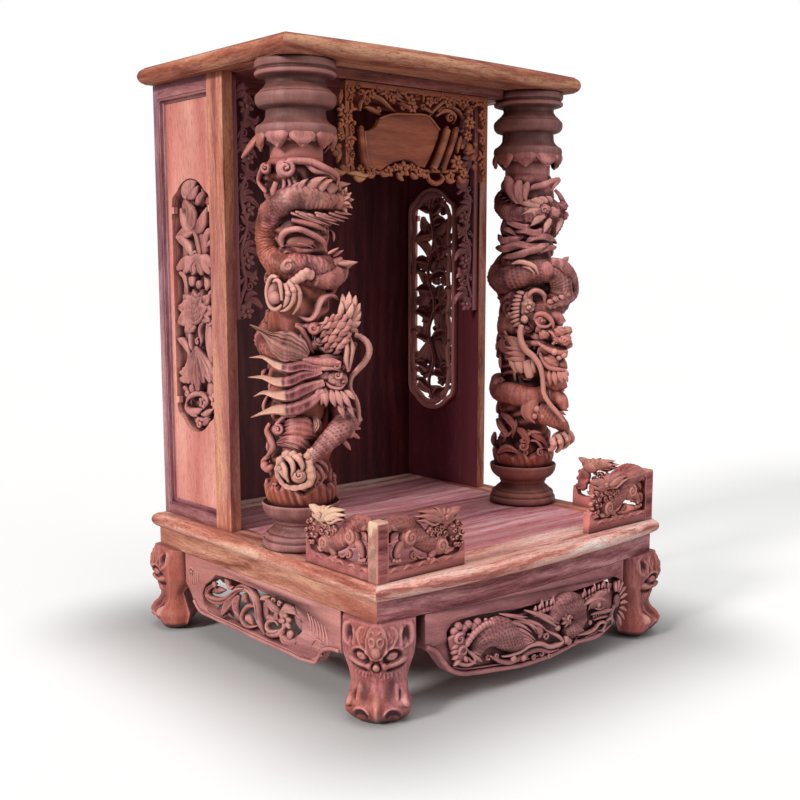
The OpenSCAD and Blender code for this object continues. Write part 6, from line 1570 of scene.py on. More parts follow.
def side_apron():
    c = Carving()
    hole = [(59, 96), (72, 116), (91, 127), (109, 142), (165, 145), (215, 145), (263, 144), (310, 144), (357, 144), (364, 131), (379, 118), (377, 102), (364, 91), (359, 75), (336, 64), (310, 63), (278, 62), (249, 63), (206, 63), (152, 61), (116, 61), (80, 64), (62, 78)]
    outer = [(0, 163.5)] + [tuple(p) for p in catmull(S_EDGE, 60)] + [(483, 163.5)]
    plate(c, outer, [hole], -22.0, -0.6, soft=1.6)
    # rolled border along the lower edge and a thin one inside it
    low = [(x, z + 3.2) for x, z in S_EDGE[2:-1]]
    ribbon(c, low, 3.6, 3.2, d=-0.6, n=120, m=10, taper=False)
    ribbon(c, [(x, z + 5.0) for x, z in low[1:9]], 1.5, 1.6, d=-0.4, n=80, m=8, taper=True, tone=0.1)
    volute(c, (428, 82), 10, start=-60, turns=-1.2, w=3.2, th=3.0, d=-2.0, tail=[(404, 60), (416, 66)])
    ribbon(c, [(404, 84), (412, 96), (424, 100), (438, 96)], 2.2, 2.2, d=-0.6)
    # shallow feathers at the ends of the board
    for k in range(6):
        ribbon(c, [(395 + 9 * k, 138 - 2 * k), (402 + 9 * k, 126 - 3 * k), (404 + 9 * k, 108 - 3 * k)], 2.6, 1.5, d=-0.8, m=8, tone=0.12)
    for k in range(5):
        ribbon(c, [(50 - 8 * k, 140 - 3 * k), (45 - 7 * k, 125 - 3 * k), (47 - 8 * k, 110 - 2 * k)], 2.8, 1.6, d=-0.8, m=8, tone=0.1)
    volute(c, (22, 130), 12, start=30, turns=1.3, w=3.0, th=2.4, d=-1.4)
    volute(c, (14, 108), 8, start=200, turns=-1.2, w=2.4, th=2.2, d=-1.6)
    # scrolls in the opening
    ribbon(c, [(96, 121), (73, 107), (68, 95), (82, 89), (114, 92), (139, 102), (156, 114), (171, 127), (190, 135), (206, 136)], 7.6, 8.5, d=-9.5, groove=0.35, m=18, n=64, tone=0.1)
    knob(c, (95, 120), 6.5, -6.5)
    volute(c, (137, 131), 10.5, start=120, turns=-1.15, w=3.8, th=5.5, d=-9, tail=[(157, 128), (147, 125)])
    ribbon(c, [(153, 113), (172, 128), (196, 137), (215, 135), (230, 124), (238, 110), (241, 94), (249, 78), (260, 66)], 8.2, 9.0, d=(-10, -7), groove=0.5, m=20, n=80, tone=0.12)
    ribbon(c, [(203, 138), (219, 134), (233, 123), (238, 109)], 3.0, 4.0, d=-2.4, m=10, tone=0.25)
    ribbon(c, [(158, 118), (177, 130), (200, 137)], 2.6, 4.0, d=-2.2, m=10, tone=0.2)
    leaf(c, [(155, 114), (133, 101), (114, 87), (104, 78)], 5.5, 6, d=-10, rib=0.6)
    leaf(c, [(164, 114), (147, 100), (132, 84), (120, 65)], 9.5, 7, d=(-9, -7), rib=0.6, flutes=3, tone=0.1)
    leaf(c, [(174, 116), (164, 102), (166, 90), (178, 80)], 9.0, 7, d=(-10, -7), rib=0.6, flutes=3, tone=0.1)
    leaf(c, [(190, 124), (189, 113), (198, 107)], 6.0, 6, d=-14, rib=0.5)
    ribbon(c, [(237, 107), (226, 109), (208, 105), (192, 91), (186, 75), (199, 66), (219, 69), (237, 76)], 5.0, 7.0, d=-9, m=14, n=60, tone=0.1)
    leaf(c, [(198, 85), (207, 82), (216, 77), (221, 73)], 8.5, 6, d=-9, rib=0.4, tone=0.25)
    knob(c, (206, 82), 6.5, -6, tone=0.3)
    # upper right leaves and curls
    leaf(c, [(259, 135), (270, 127), (286, 119), (310, 116)], 7.5, 7, d=-9, rib=0.6, flutes=2, tone=0.15)
    leaf(c, [(245, 126), (260, 133), (278, 140)], 5.0, 5, d=-9, rib=0.5, tone=0.3)
    for q, r, st, tn in (((286, 134), 6.5, 200, -1.1), ((305, 132), 7.5, 20, 1.2), ((326, 131), 8.0, 200, -1.2), ((345, 131), 7.0, 0, 1.1)):
        volute(c, q, r, start=st, turns=tn, w=2.6, th=4.4, d=-9, tone=0.15)
    leaf(c, [(309, 117), (329, 129), (352, 128), (362, 124)], 9.5, 7, d=-8, rib=0.5, flutes=2, tone=0.2)
    bloom(c, (320, 106), 19, n=6, d=-9, th=5, turn=18, tone=0.22, squash=0.9)
    leaf(c, [(300, 102), (293, 107), (302, 116)], 6, 6, d=-9, tone=0.2)
    ribbon(c, [(262, 97), (280, 101), (293, 100)], 5.5, 7, d=-10, m=14, tone=0.15)
    ribbon(c, [(301, 92), (291, 98), (275, 94), (266, 83), (272, 75), (289, 78), (305, 86)], 4.4, 6.5, d=-8.5, m=14, n=54, tone=0.2)
    ribbon(c, [(258, 67), (279, 69), (299, 76), (312, 88), (323, 99)], 6.0, 7, d=-10, m=14, tone=0.1)
    leaf(c, [(315, 88), (310, 76), (322, 68), (339, 70), (355, 81), (359, 93)], 9.0, 7.5, d=-9, rib=0.5, flutes=2, n=34, tone=0.15)
    knob(c, (334, 83), 9, -9, tone=0.1)
    leaf(c, [(349, 127), (365, 121), (368, 115)], 5, 6, d=-10, tone=0.15)
    # undercut leaves deep in the opening, darkened as painted shade
    for pts, w in (([(70, 101), (92, 107), (120, 113)], 8.0), ([(100, 70), (118, 74), (140, 66)], 6.0), ([(250, 122), (252, 104), (262, 86)], 9.0), ([(204, 119), (220, 115), (234, 98)], 7.0),
                   ([(374, 110), (360, 104), (343, 112)], 9.0), ([(266, 112), (288, 110), (302, 92)], 8.0), ([(148, 82), (160, 73), (178, 66)], 8.0), ([(340, 120), (352, 108), (366, 96)], 8.0)):
        leaf(c, pts, w, 5, d=-15.5, rib=0.5, n=15, m=10, tone=-0.05, hollow=0.4)
    return c


for sgn, nm in ((-1, "left"), (1, "right")):
    ap = side_apron()
    # a runs from the back to the front, b is up, d outwards
    ap.place(np.array([[0, 0, float(sgn)], [-1.0, 0, 0], [0, 1.0, 0]]), (sgn * 342.0, 247.74, 0))
    ap.piece("carved_apron_" + nm, MAT["apron"], "apron_wood", ["apron_" + nm], hand=0.3)


# ------------------------------------------------------------------ front apron, on the bowed face
F_EDGE = [(0, 27), (40, 28), (95, 34), (148, 40), (180, 46), (202, 58), (216, 74), (230, 92), (250, 104)]


def bow_face(a):
    r = 2518.6
    return -326.26 - (np.sqrt(r * r - a * a) - math.sqrt(r * r - 342.0 ** 2))


def on_bow(V):
    V = np.asarray(V, float)
    return np.column_stack([V[:, 0], bow_face(V[:, 0]) - V[:, 2], V[:, 1]])


def front_apron():
    c = Carving()
    e = catmull(F_EDGE, 30)
    n = len(e)
    low = [(-x, z) for x, z in e[::-1]] + [(x, z) for x, z in e[1:]]
    lo = np.array(low)
    up = np.column_stack([np.linspace(250, -250, 40), np.full(40, 163.5)])
    slit = [(-207, 125), (-197, 136), (-175, 140), (-142, 140), (-94, 137), (-56, 133), (-17, 132), (24, 134), (62, 134), (101, 134), (148, 134), (189, 136), (219, 137), (242, 126), (240, 117), (207, 128), (181, 125), (136, 125), (90, 125), (53, 122), (24, 123), (-10, 122), (-37, 122), (-69, 122), (-94, 123), (-124, 127), (-151, 127), (-171, 124), (-191, 119), (-199, 112), (-206, 116)]
    plate(c, np.vstack([lo, up]), [slit], -22.0, 0.0, soft=1.6, warp=None)
    c.V = [on_bow(v) for v in c.V]
    k = Carving()
    ribbon(k, [(x, z + 4.5) for x, z in low], 4.6, 4.4, d=1.2, n=150, m=12, taper=False)
    ribbon(k, [(x, z + 12) for x, z in low[8:-8]], 1.6, 1.8, d=0.6, n=110, m=8, taper=False, tone=0.1)
    # left: a shield-like claw with ridged outlines
    leaf(k, [(-196, 120), (-189, 105), (-184, 88), (-183, 72)], 17, 7, d=3, rib=0.0, n=26, m=24, profile=[0.75, 0.95, 1.0, 0.95, 0.7], tone=0.05)
    volute(k, (-189, 112), 12, start=60, turns=1.35, w=3.4, th=5, d=8, tone=0.2)
    volute(k, (-181, 90), 13, start=200, turns=-1.35, w=3.6, th=5, d=8, tone=0.2)
    for q, t in (((-193, 102), 200), ((-194, 93), 190), ((-192, 84), 200), ((-190, 75), 215), ((-177, 78), 300), ((-176, 103), 40)):
        e = np.array([math.cos(math.radians(t)), math.sin(math.radians(t))])
        leaf(k, [tuple(np.array(q) - e * 3), tuple(np.array(q) + e * 5), tuple(np.array(q) + e * 11)], 4.6, 4.5, d=(8, 6), rib=0.5, n=12, m=10, tone=0.15)
    ribbon(k, [(-199, 85), (-190, 72), (-170, 64), (-155, 70), (-170, 91)], 4.0, 5, d=6, tone=0.12)
    ribbon(k, [(-170, 88), (-154, 75), (-138, 62)], 4.5, 5, d=6, tone=0.2)
    ribbon(k, [(-173, 79), (-162, 68), (-150, 62)], 3.2, 4, d=6, tone=0.1)
    # reddish scalloped lumps behind the ridge
    for q in ((-194, 124), (-186, 131), (-175, 125), (-165, 130), (-154, 124), (-145, 130), (-179, 117)):
        knob(k, q, 7.5, 2, flat=0.8)
    # scalloped ridge of beads
    path = catmull(np.array([(-173, 101), (-162, 111), (-148, 119), (-130, 124), (-110, 120), (-93, 109), (-81, 99)]), 16)
    for i, q in enumerate(path):
        knob(k, q, (6.4, 6.4), 8.0 - 0.15 * i, flat=0.9, n=9, m=12, tone=0.25)
        if i % 2:
            knob(k, (q[0] + 1, q[1] + 7), 4.0, 5, n=7, m=10, tone=0.1)
    # scaly body
    k.sweep(grade([(-150, 78), (-139, 95), (-121, 105), (-98, 105), (-78, 93), (-55, 77), (-30, 66)], (2, 4)), [12, 19, 24, 27, 24, 17, 8], [7, 10, 12, 13, 12, 9, 5], n=80, m=44, ref=(0, 0, 1),
            relief=scales(6.2, 20, 2.0), pits=0.75, tone=0.04)
    # mane ribbons sweeping right
    for pts, w, tn in (([(-91, 112), (-56, 101), (-31, 86), (-14, 71)], 4.6, 0.15), ([(-86, 103), (-56, 93), (-34, 82), (-17, 70)], 4.2, 0.05), ([(-81, 94), (-52, 85), (-22, 73)], 4.6, 0.15),
                       ([(-81, 82), (-52, 78), (-22, 71)], 4.2, 0.1), ([(-80, 74), (-49, 72), (-19, 72)], 4.2, 0.2), ([(-100, 122), (-75, 116), (-49, 106), (-24, 88)], 4.2, 0.1),
                       ([(-82, 129), (-50, 118), (-29, 103), (-14, 86)], 4.0, 0.1), ([(-37, 129), (-3, 113), (25, 95), (49, 79)], 4.4, 0.3), ([(-12, 121), (18, 106), (47, 89)], 4.0, 0.2),
                       ([(-97, 135), (-69, 126), (-37, 119)], 3.6, 0.0), ([(-56, 117), (-30, 109), (-3, 96), (15, 80)], 3.8, 0.2), ([(-69, 118), (-36, 108), (-9, 90), (5, 78)], 4.0, 0.12)):
        leaf(k, pts, w, 5.5, d=(5, 8), rib=0.45, n=26, m=12, tone=tn)
    # wave crest with its bright edge
    ribbon(k, [(-93, 61), (-74, 59), (-53, 60), (-29, 66), (-2, 63), (23, 52), (44, 51), (56, 54), (44, 67), (23, 78), (7, 87)], 4.6, 6.0, d=7, n=70, m=12, tone=0.5)
    ribbon(k, [(-120, 68), (-93, 52), (-67, 46), (-28, 53), (-1, 52), (27, 42), (52, 40)], 5.5, 5, d=4, n=60, m=12, tone=0.1)
    volute(k, (14, 72), 10, start=180, turns=-1.3, w=3.2, th=4.5, d=6, tone=0.35)
    leaf(k, [(-13, 96), (-2, 84), (-5, 73)], 8, 6, d=6, tone=0.1)
    for q, r in (((-68, 52), 6.5), ((-44, 48), 6.5), ((43, 82), 6.0), ((66, 55), 7.5), ((176, 46), 4.5), ((118, 80), 5.5), ((134, 71), 5.0), ((74, 50), 6.5)):
        knob(k, q, r, 8, flat=0.9, n=10, m=16, tone=0.35)
    # big scaly bodies
    k.sweep(grade([(34, 93), (44, 111), (68, 118), (94, 108), (104, 87), (94, 70), (69, 63)], 3), [14, 19, 21, 22, 21, 17, 9], [8, 11, 12, 12, 12, 10, 6], n=70, m=40, ref=(0, 0, 1), relief=scales(6.0, 18, 2.0), pits=0.75, tone=0.06)
    # a curled tuft of mane in the bend
    cq = np.array((68, 95))
    for i in range(8):
        t = math.radians(45 * i + 10)
        e = np.array([math.cos(t), math.sin(t)])
        leaf(k, [tuple(cq + e * 3), tuple(cq + e * 10 + [3 * e[1], -3 * e[0]]), tuple(cq + e * 16 + [8 * e[1], -8 * e[0]])], 4.4, 5, d=(9, 6), rib=0.5, n=14, m=10, tone=0.15)
    volute(k, tuple(cq), 7.5, start=30, turns=1.3, w=2.8, th=5, d=11, n=30, m=8, tone=0.25)
    knob(k, (114, 103), (12, 10), 5, tone=0.1)
    for i in range(22):
        t = i / 21.0
        q = ((-14, 124)[0] * (1 - t) + (190, 124)[0] * t, 124 + 4 * math.sin(9 * t))
        k.spike((q[0], q[1] - 2, 5), (math.sin(i * 2.1) * 0.45 + 0.2, 1.0, 0.1), 11 + 3 * (i % 3), 3.4, 3.0, up=(0, 0, 1), tone=0.15)
        knob(k, (q[0] + 3, q[1] - 8), (5.5, 5.0), 5, n=8, m=12, tone=0.08)
    # head at the right: brow, eye, snout, jaws and its combed mane
    knob(k, (151, 107), (20, 15), 4, flat=0.7, n=14, m=20, tone=0.06)
    ribbon(k, [(109, 108), (133, 113), (157, 112), (182, 101)], 4.5, 5, d=10, tone=0.2)
    knob(k, (155, 100), 6.0, 11, flat=0.9, tone=0.3)
    ribbon(k, [(143, 97), (160, 91), (176, 93)], 2.4, 3, d=11, tone=0.1)
    leaf(k, [(182, 118), (157, 116), (135, 107), (126, 95)], 8, 7, d=7, rib=0.4, tone=0.15)
    ribbon(k, [(138, 85), (158, 85), (183, 81), (205, 80)], 4.5, 6, d=7, tone=0.15)
    ribbon(k, [(146, 73), (167, 73), (192, 70)], 3.5, 5, d=6, tone=0.1)
    for i in range(5):
        k.spike(((146, 80)[0] + 7.5 * i, (146, 80)[1] + 2, 8), (0, -1.0, 0.1), 6, 2.0, 1.8, tone=0.8)
    for i in range(9):
        t = i / 8.0
        a = math.radians(100 - 165 * t)
        cx, cz = (218, 87)
        q = np.array([cx + 13 * math.cos(a), cz + 24 * math.sin(a)])
        d2 = np.array([math.cos(a) * 1.0 + 0.2, math.sin(a)])
        leaf(k, [tuple(q), tuple(q + d2 * 12), tuple(q + d2 * 24 + np.array([2, -5]))], 4.4, 5, d=(6, 3), rib=0.5, n=14, m=10, tone=0.15)
    # a dark knob in the middle of the combed mane: painted shade
    knob(k, (224, 91), (9, 14), 3, tone=0.0, hollow=0.6)
    ribbon(k, [(98, 56), (127, 53), (149, 55), (164, 63), (182, 59), (173, 48), (158, 50)], 3.8, 5.0, d=7, n=44, tone=0.4)
    ribbon(k, [(184, 62), (201, 63), (208, 51)], 3.4, 4.5, d=6, tone=0.3)
    ribbon(k, [(93, 43), (124, 40), (160, 39), (189, 45), (210, 50)], 5.0, 5.0, d=4, n=40, tone=0.1)
    for i, q in enumerate(((-35, 48), (-15, 41), (6, 42), (27, 34), (100, 42), (128, 42), (154, 43), (-105, 64), (-123, 66), (115, 57), (92, 58))):
        volute(k, q, 7.0, start=40 * i, turns=1.2 if i % 2 else -1.2, w=2.6, th=3.6, d=4, n=26, m=8, tone=0.12)
    k.V = [on_bow(v) for v in k.V]
    c.absorb(k)
    return c


fa = front_apron()
fa.piece("carved_apron_front", MAT["apron_front"], "apron_wood", ["apron_front"], hand=0.3)


# ------------------------------------------------------------------ lotus carvings in the side panels
def lotus_outline(e=0.0):
    w, z0, z1 = 68.0, 395.0, 866.0
    up = [(w * math.cos(t) * (1 if (i < 3 or i > 13) else 0.84), z1 - 50 + 50 * math.sin(t)) for i, t in enumerate(np.linspace(0, math.pi, 17))]
    lo = [(w * math.cos(t) * (1 if (i < 3 or i > 13) else 0.84), z0 + 50 - 50 * math.sin(t)) for i, t in enumerate(np.linspace(math.pi, 0, 17))]
    P = np.array(up + [(-w, z1 - 62), (-w, z0 + 62)] + lo + [(w, z0 + 62), (w, z1 - 62)])
    return outline_offset(P, -e)


def lotus_panel():
    c = Carving()
    # the board's thickness shows round the opening
    plate(c, lotus_outline(7.0), [lotus_outline(-0.8)], -22.0, -8.2, soft=0.4)
    first = len(c.V)
    T = 0.14
    # folded leaf and petal at the top
    leaf(c, [(-24, 831), (-28, 844), (-8, 852), (20, 860)], 17, 7, d=(-8, -5), rib=0.3, flutes=2, n=24, m=18, tone=0.3)
    leaf(c, [(-19, 831), (3, 838), (24, 852)], 10, 6, d=(-9, -6), rib=0.5, n=18, tone=0.1)
    leaf(c, [(2, 816), (16, 829), (31, 839), (28, 847)], 9, 6, d=(-12, -10), rib=0.5, tone=0.0)
    leaf(c, [(32, 815), (39, 824), (33, 833)], 9, 5, d=-14, rib=0.5, tone=0.0)
    ribbon(c, [(-36, 842), (-24, 853), (-2, 860), (20, 860)], 3.5, 4.5, d=-5, tone=0.35)
    # closed bloom of three petals
    leaf(c, [(-0, 774), (-26, 785), (-36, 798), (-41, 813)], 15, 7, d=(-7, -6), rib=0.15, n=26, m=20, tone=0.2, profile=[0.35, 0.9, 1.0, 0.85, 0.5, 0.1])
    leaf(c, [(-0, 774), (28, 782), (40, 796), (53, 812)], 15, 7, d=(-7, -6), rib=0.15, n=26, m=20, tone=0.12, profile=[0.35, 0.9, 1.0, 0.85, 0.5, 0.1])
    leaf(c, [(-0, 774), (-3, 788), (-3, 807), (-16, 827)], 16, 8, d=(-4, -3), rib=0.2, flutes=0, n=28, m=22, tone=0.22, profile=[0.35, 0.9, 1.0, 0.85, 0.5, 0.08])
    leaf(c, [(3, 775), (10, 789), (10, 803), (2, 814)], 9, 6, d=(-2, -2), rib=0.5, n=20, tone=0.05)
    # leaf at its foot, stem and sweeping leaves
    leaf(c, [(-0, 772), (-19, 772), (-41, 766), (-68, 761)], 13, 6, d=(-6, -8), rib=0.5, flutes=3, n=24, m=20, tone=0.25)
    ribbon(c, [(-3, 774), (8, 762), (14, 747), (20, 731), (24, 718)], 6.5, 7, d=-8, groove=0.3, tone=0.2)
    leaf(c, [(15, 769), (29, 753), (31, 737), (26, 720)], 11, 6, d=-11, rib=0.4, n=22, tone=0.05)
    leaf(c, [(-61, 761), (-36, 752), (-18, 738), (-8, 720)], 10, 6, d=(-6, -9), rib=0.5, n=26, tone=0.25, profile=[0.3, 0.9, 1.0, 1.0, 0.8, 0.4])
    leaf(c, [(67, 772), (45, 765), (36, 746), (32, 723)], 9, 6, d=(-7, -12), rib=0.5, n=26, tone=0.12, profile=[0.2, 0.8, 1.0, 1.0, 0.8, 0.5])
    volute(c, (4, 729), 8, start=200, turns=-1.2, w=3.4, th=5, d=-7, tone=0.2)
    # parasol leaf with ribs
    for i, q in enumerate([(-64, 701), (-39, 695), (-8, 691), (26, 691), (53, 694), (64, 708)]):
        leaf(c, [(12, 715), tuple((np.array((12, 715)) * 0.5 + np.array(q) * 0.5) + np.array([0, 7 - i % 2])), q], 12, 6, d=(-5, -7), rib=0.5, n=20, m=16, tone=T + 0.08 * (i % 2), profile=[0.35, 0.8, 1.0, 0.9, 0.4])
    leaf(c, [(-12, 718), (12, 722), (42, 718), (60, 711)], 8, 6, d=-5, rib=0.4, tone=0.25)
    ribbon(c, [(9, 717), (-4, 707), (-4, 693)], 2.4, 3, d=-1.5, tone=0.0, hollow=0.3)
    # buds and petals above the big bloom
    leaf(c, [(-58, 694), (-41, 688), (-32, 672), (-25, 658)], 7, 5, d=(-8, -8), rib=0.5, tone=0.2)
    leaf(c, [(-6, 672), (-15, 680), (-22, 686)], 12, 6, d=-9, rib=0.4, tone=0.1)
    leaf(c, [(37, 662), (39, 675), (33, 687)], 9, 6, d=-10, rib=0.4, tone=0.1)
    knob(c, (11, 672), 9, -9, tone=0.2)
    ribbon(c, [(38, 693), (47, 679), (55, 662)], 5, 5, d=-15, tone=0.0)
    # the open bloom: outer petals, inner petals and cup
    for (tip, w, d, tn) in (((-64, 598), 17, -6, 0.3), ((-68, 629), 14, -9, 0.2), ((-45, 652), 15, -9, 0.25), ((-9, 663), 13, -10, 0.15), ((25, 663), 13, -10, 0.1), ((54, 653), 14, -9, 0.15),
                           ((66, 625), 13, -9, 0.12), ((52, 606), 13, -8, 0.12), ((-37, 580), 13, -6, 0.25)):
        b = np.array((3, 623))
        t = np.array(tip)
        leaf(c, [tuple(b * 0.75 + t * 0.25), tuple(b * 0.4 + t * 0.6), tuple(t)], w, 7, d=(d + 2, d), rib=0.35, n=22, m=18, tone=tn, profile=[0.55, 0.9, 1.0, 0.85, 0.5, 0.08])
    for (tip, w) in (((-39, 640), 15), ((-7, 652), 15), ((30, 649), 15), ((47, 631), 14), ((-37, 615), 14)):
        b = np.array((6, 622))
        t = np.array(tip)
        leaf(c, [tuple(b * 0.7 + t * 0.3), tuple(b * 0.35 + t * 0.65), tuple(t)], w, 7, d=(-3, -4), rib=0.25, n=20, m=18, tone=0.15, profile=[0.6, 0.95, 1.0, 0.85, 0.5, 0.1])
    knob(c, (6, 620), (20, 22), -3.5, flat=0.42, n=16, m=26, tone=0.25)
    ribbon(c, [(-22, 621), (-12, 607), (6, 602), (26, 609), (38, 624)], 4.5, 4.5, d=-1.5, tone=0.1)
    for i in range(7):
        ang = 2 * math.pi * i / 6
        q = np.array((6, 623)) + (0 if i == 6 else 9.5) * np.array([math.cos(ang), math.sin(ang)])
        knob(c, tuple(q), 3.0, 3.2, n=7, m=10, tone=0.1, hollow=0.15)
    # stems, leaf and the long folded leaf on the right
    leaf(c, [(-0, 596), (-19, 591), (-38, 580)], 10, 6, d=-7, rib=0.5, tone=0.25)
    ribbon(c, [(-25, 583), (-23, 572), (-22, 559), (-17, 546)], 5.5, 7, d=-9, tone=0.2)
    ribbon(c, [(34, 611), (17, 596), (13, 583), (18, 569), (13, 558)], 5.0, 6, d=-8, tone=0.2)
    volute(c, (5, 566), 9, start=60, turns=1.2, w=3.6, th=5, d=-7, tone=0.2)
    for i, dx in enumerate((0, 34, 66)):
        leaf(c, [((37, 605)[0] + 3.2 * i, (37, 605)[1]), ((37, 581)[0] + 4.5 * i, (37, 581)[1]), ((40, 550)[0] + 4.5 * i, (40, 550)[1]), ((50, 522)[0] + 1.5 * i, (50, 522)[1] + 5 * i)],
             8.5, 6, d=-10 - i, rib=0.45, n=30, m=16, tone=0.18 - 0.07 * i)
    leaf(c, [(-67, 568), (-46, 561), (-33, 549), (-26, 536)], 9, 6, d=(-6, -9), rib=0.5, n=24, tone=0.25, profile=[0.2, 0.8, 1.0, 1.0, 0.7, 0.4])
    # the big hanging leaf, ribbed like a bell
    for i, (q, m1) in enumerate((((-54, 489), (-26, 520)), ((-35, 485), (-19, 517)), ((-16, 485), (-8, 516)), ((5, 474), (3, 515)), ((25, 491), (16, 519)), ((47, 494), (28, 523)), ((65, 493), (39, 524)))):
        leaf(c, [(2, 556), tuple((np.array((2, 556)) + np.array(m1)) / 2), m1, q], 11.5, 7, d=(-5, -4 - 1.2 * abs(i - 3)), rib=0.5, n=32, m=18, tone=(0.22, 0.1, 0.18, 0.05, 0.12, 0.25, 0.1)[i], profile=[0.3, 0.6, 0.85, 1.0, 0.95, 0.5])
    leaf(c, [(-30, 506), (-48, 503), (-68, 504)], 8, 5, d=-7, rib=0.5, tone=0.3)
    leaf(c, [(-31, 496), (-49, 491), (-68, 491)], 9, 5, d=-7, rib=0.5, tone=0.35)
    leaf(c, [(48, 515), (66, 515), (68, 504)], 8, 5, d=-8, rib=0.5, tone=0.15)
    # buds, arch and daisies near the foot
    leaf(c, [(-24, 467), (-21, 476), (-16, 484)], 10, 6, d=-8, rib=0.4, tone=0.1)
    knob(c, (43, 479), (14, 17), -11, flat=0.5, n=12, m=18, tone=0.0)
    leaf(c, [(30, 470), (46, 481), (64, 486)], 9, 5, d=-10, rib=0.5, tone=0.05)
    volute(c, (-38, 463), 9.5, start=0, turns=1.2, w=3.6, th=5, d=-7, tone=0.2)
    ribbon(c, [(-42, 446), (-33, 456), (-13, 465), (12, 468), (30, 463), (36, 454), (26, 444)], 5.5, 6, d=-6, n=44, tone=0.25)
    bloom(c, (19, 452), 13, n=5, d=-6, th=4, tone=0.25)
    bloom(c, (56, 460), 14, n=5, d=-8, th=4, turn=20, tone=0.5)
    ribbon(c, [(-46, 445), (-45, 435), (-28, 430), (-4, 433), (13, 439)], 8.0, 6, d=-8, n=30, tone=0.12)
    leaf(c, [(13, 429), (28, 432), (58, 444)], 6.5, 5, d=-6, rib=0.5, tone=0.3)
    leaf(c, [(-38, 428), (-19, 426), (-3, 424)], 6, 5, d=-8, rib=0.5, tone=0.1)
    volute(c, (4, 410), 12, start=90, turns=1.3, w=4.2, th=5.5, d=-8, tail=[(-3, 420), (-7, 414)], tone=0.15)
    ribbon(c, [(-9, 424), (-0, 419), (19, 420), (38, 429)], 5, 6, d=-10, tone=0.1)
    leaf(c, [(10, 409), (25, 416), (40, 424)], 7, 5, d=-10, rib=0.5, tone=0.05)
    # ties to the board at the sides
    for (x, z, s) in ((-66, 760, 1), (66, 745, -1), (-66, 690, 1), (66, 655, -1), (-66, 560, 1), (66, 540, -1), (-64, 505, 1), (-62, 470, 1), (60, 465, -1), (66, 600, -1)):
        leaf(c, [(x, z), (x + s * 12, z + 4), (x + s * 26, z - 4)], 6.5, 5, d=(-12, -9), rib=0.5, tone=0.05, profile=[1.0, 0.9, 0.7, 0.3])
    # a vine runs round inside the opening, behind the leaves, darkened as painted shade
    L = lotus_outline(-9.0)
    L = np.vstack([L, L[:1]])
    run = np.concatenate([[0.0], np.cumsum(np.hypot(*(L[1:] - L[:-1]).T))])
    u = np.linspace(0, run[-1], 72)
    vx = np.interp(u, run, L[:, 0]) * (1.0 - 0.04 * (1 + np.sin(u / 13.0)))
    ribbon(c, list(zip(vx, np.interp(u, run, L[:, 1]))), 7.0, 4.5, d=-15.5, n=124, m=8, taper=False, tone=-0.05, hollow=0.35)
    # undercut stems and leaves deep in the openings, darkened as painted shade
    ribbon(c, [(8, 408), (-6, 450), (10, 500), (-8, 560), (12, 620), (-10, 690), (8, 760), (-4, 830), (6, 860)], 5.0, 5, d=-16, n=80, m=10, taper=False, tone=-0.1, hollow=0.35)
    for i, (a0, b0, a1, b1) in enumerate(((6, 420, 46, 436), (-6, 434, -48, 452), (6, 470, 50, 462), (-8, 476, -52, 488), (-4, 540, -54, 548), (4, 548, 56, 560), (-2, 590, -56, 604), (8, 600, 54, 622), (4, 650, -52, 652),
                                          (-6, 676, 52, 690), (-8, 712, -54, 716), (2, 730, 54, 742), (4, 776, -50, 768), (2, 796, 50, 802), (0, 822, -42, 830), (4, 838, 38, 848))):
        leaf(c, [(a0, b0), ((a0 + a1) / 2, (b0 + b1) / 2 + 5), (a1, b1)], 10.5, 5, d=-16.5, rib=0.5, n=16, m=12, tone=-0.05, hollow=0.35)
    # the carver leaves the backs of the stems and leaves deep
    for k, v in enumerate(c.V):
        if k >= first:
            v[:, 2] = np.where(v[:, 2] < -8.0, np.maximum(-8.0 + (v[:, 2] + 8.0) * 2.6, -21.5), v[:, 2])
    return c


for sgn, nm in ((-1, "left"), (1, "right")):
    lp_ = lotus_panel()
    lp_.place(np.array([[0, 0, float(sgn)], [-1.0, 0, 0], [0, 1.0, 0]]), (sgn * 312.0, 243.24, 0))
    lp_.piece("lotus_" + nm, MAT["lotus"], "lotus_wood", ["lotus_carving_" + nm], hand=0.3)


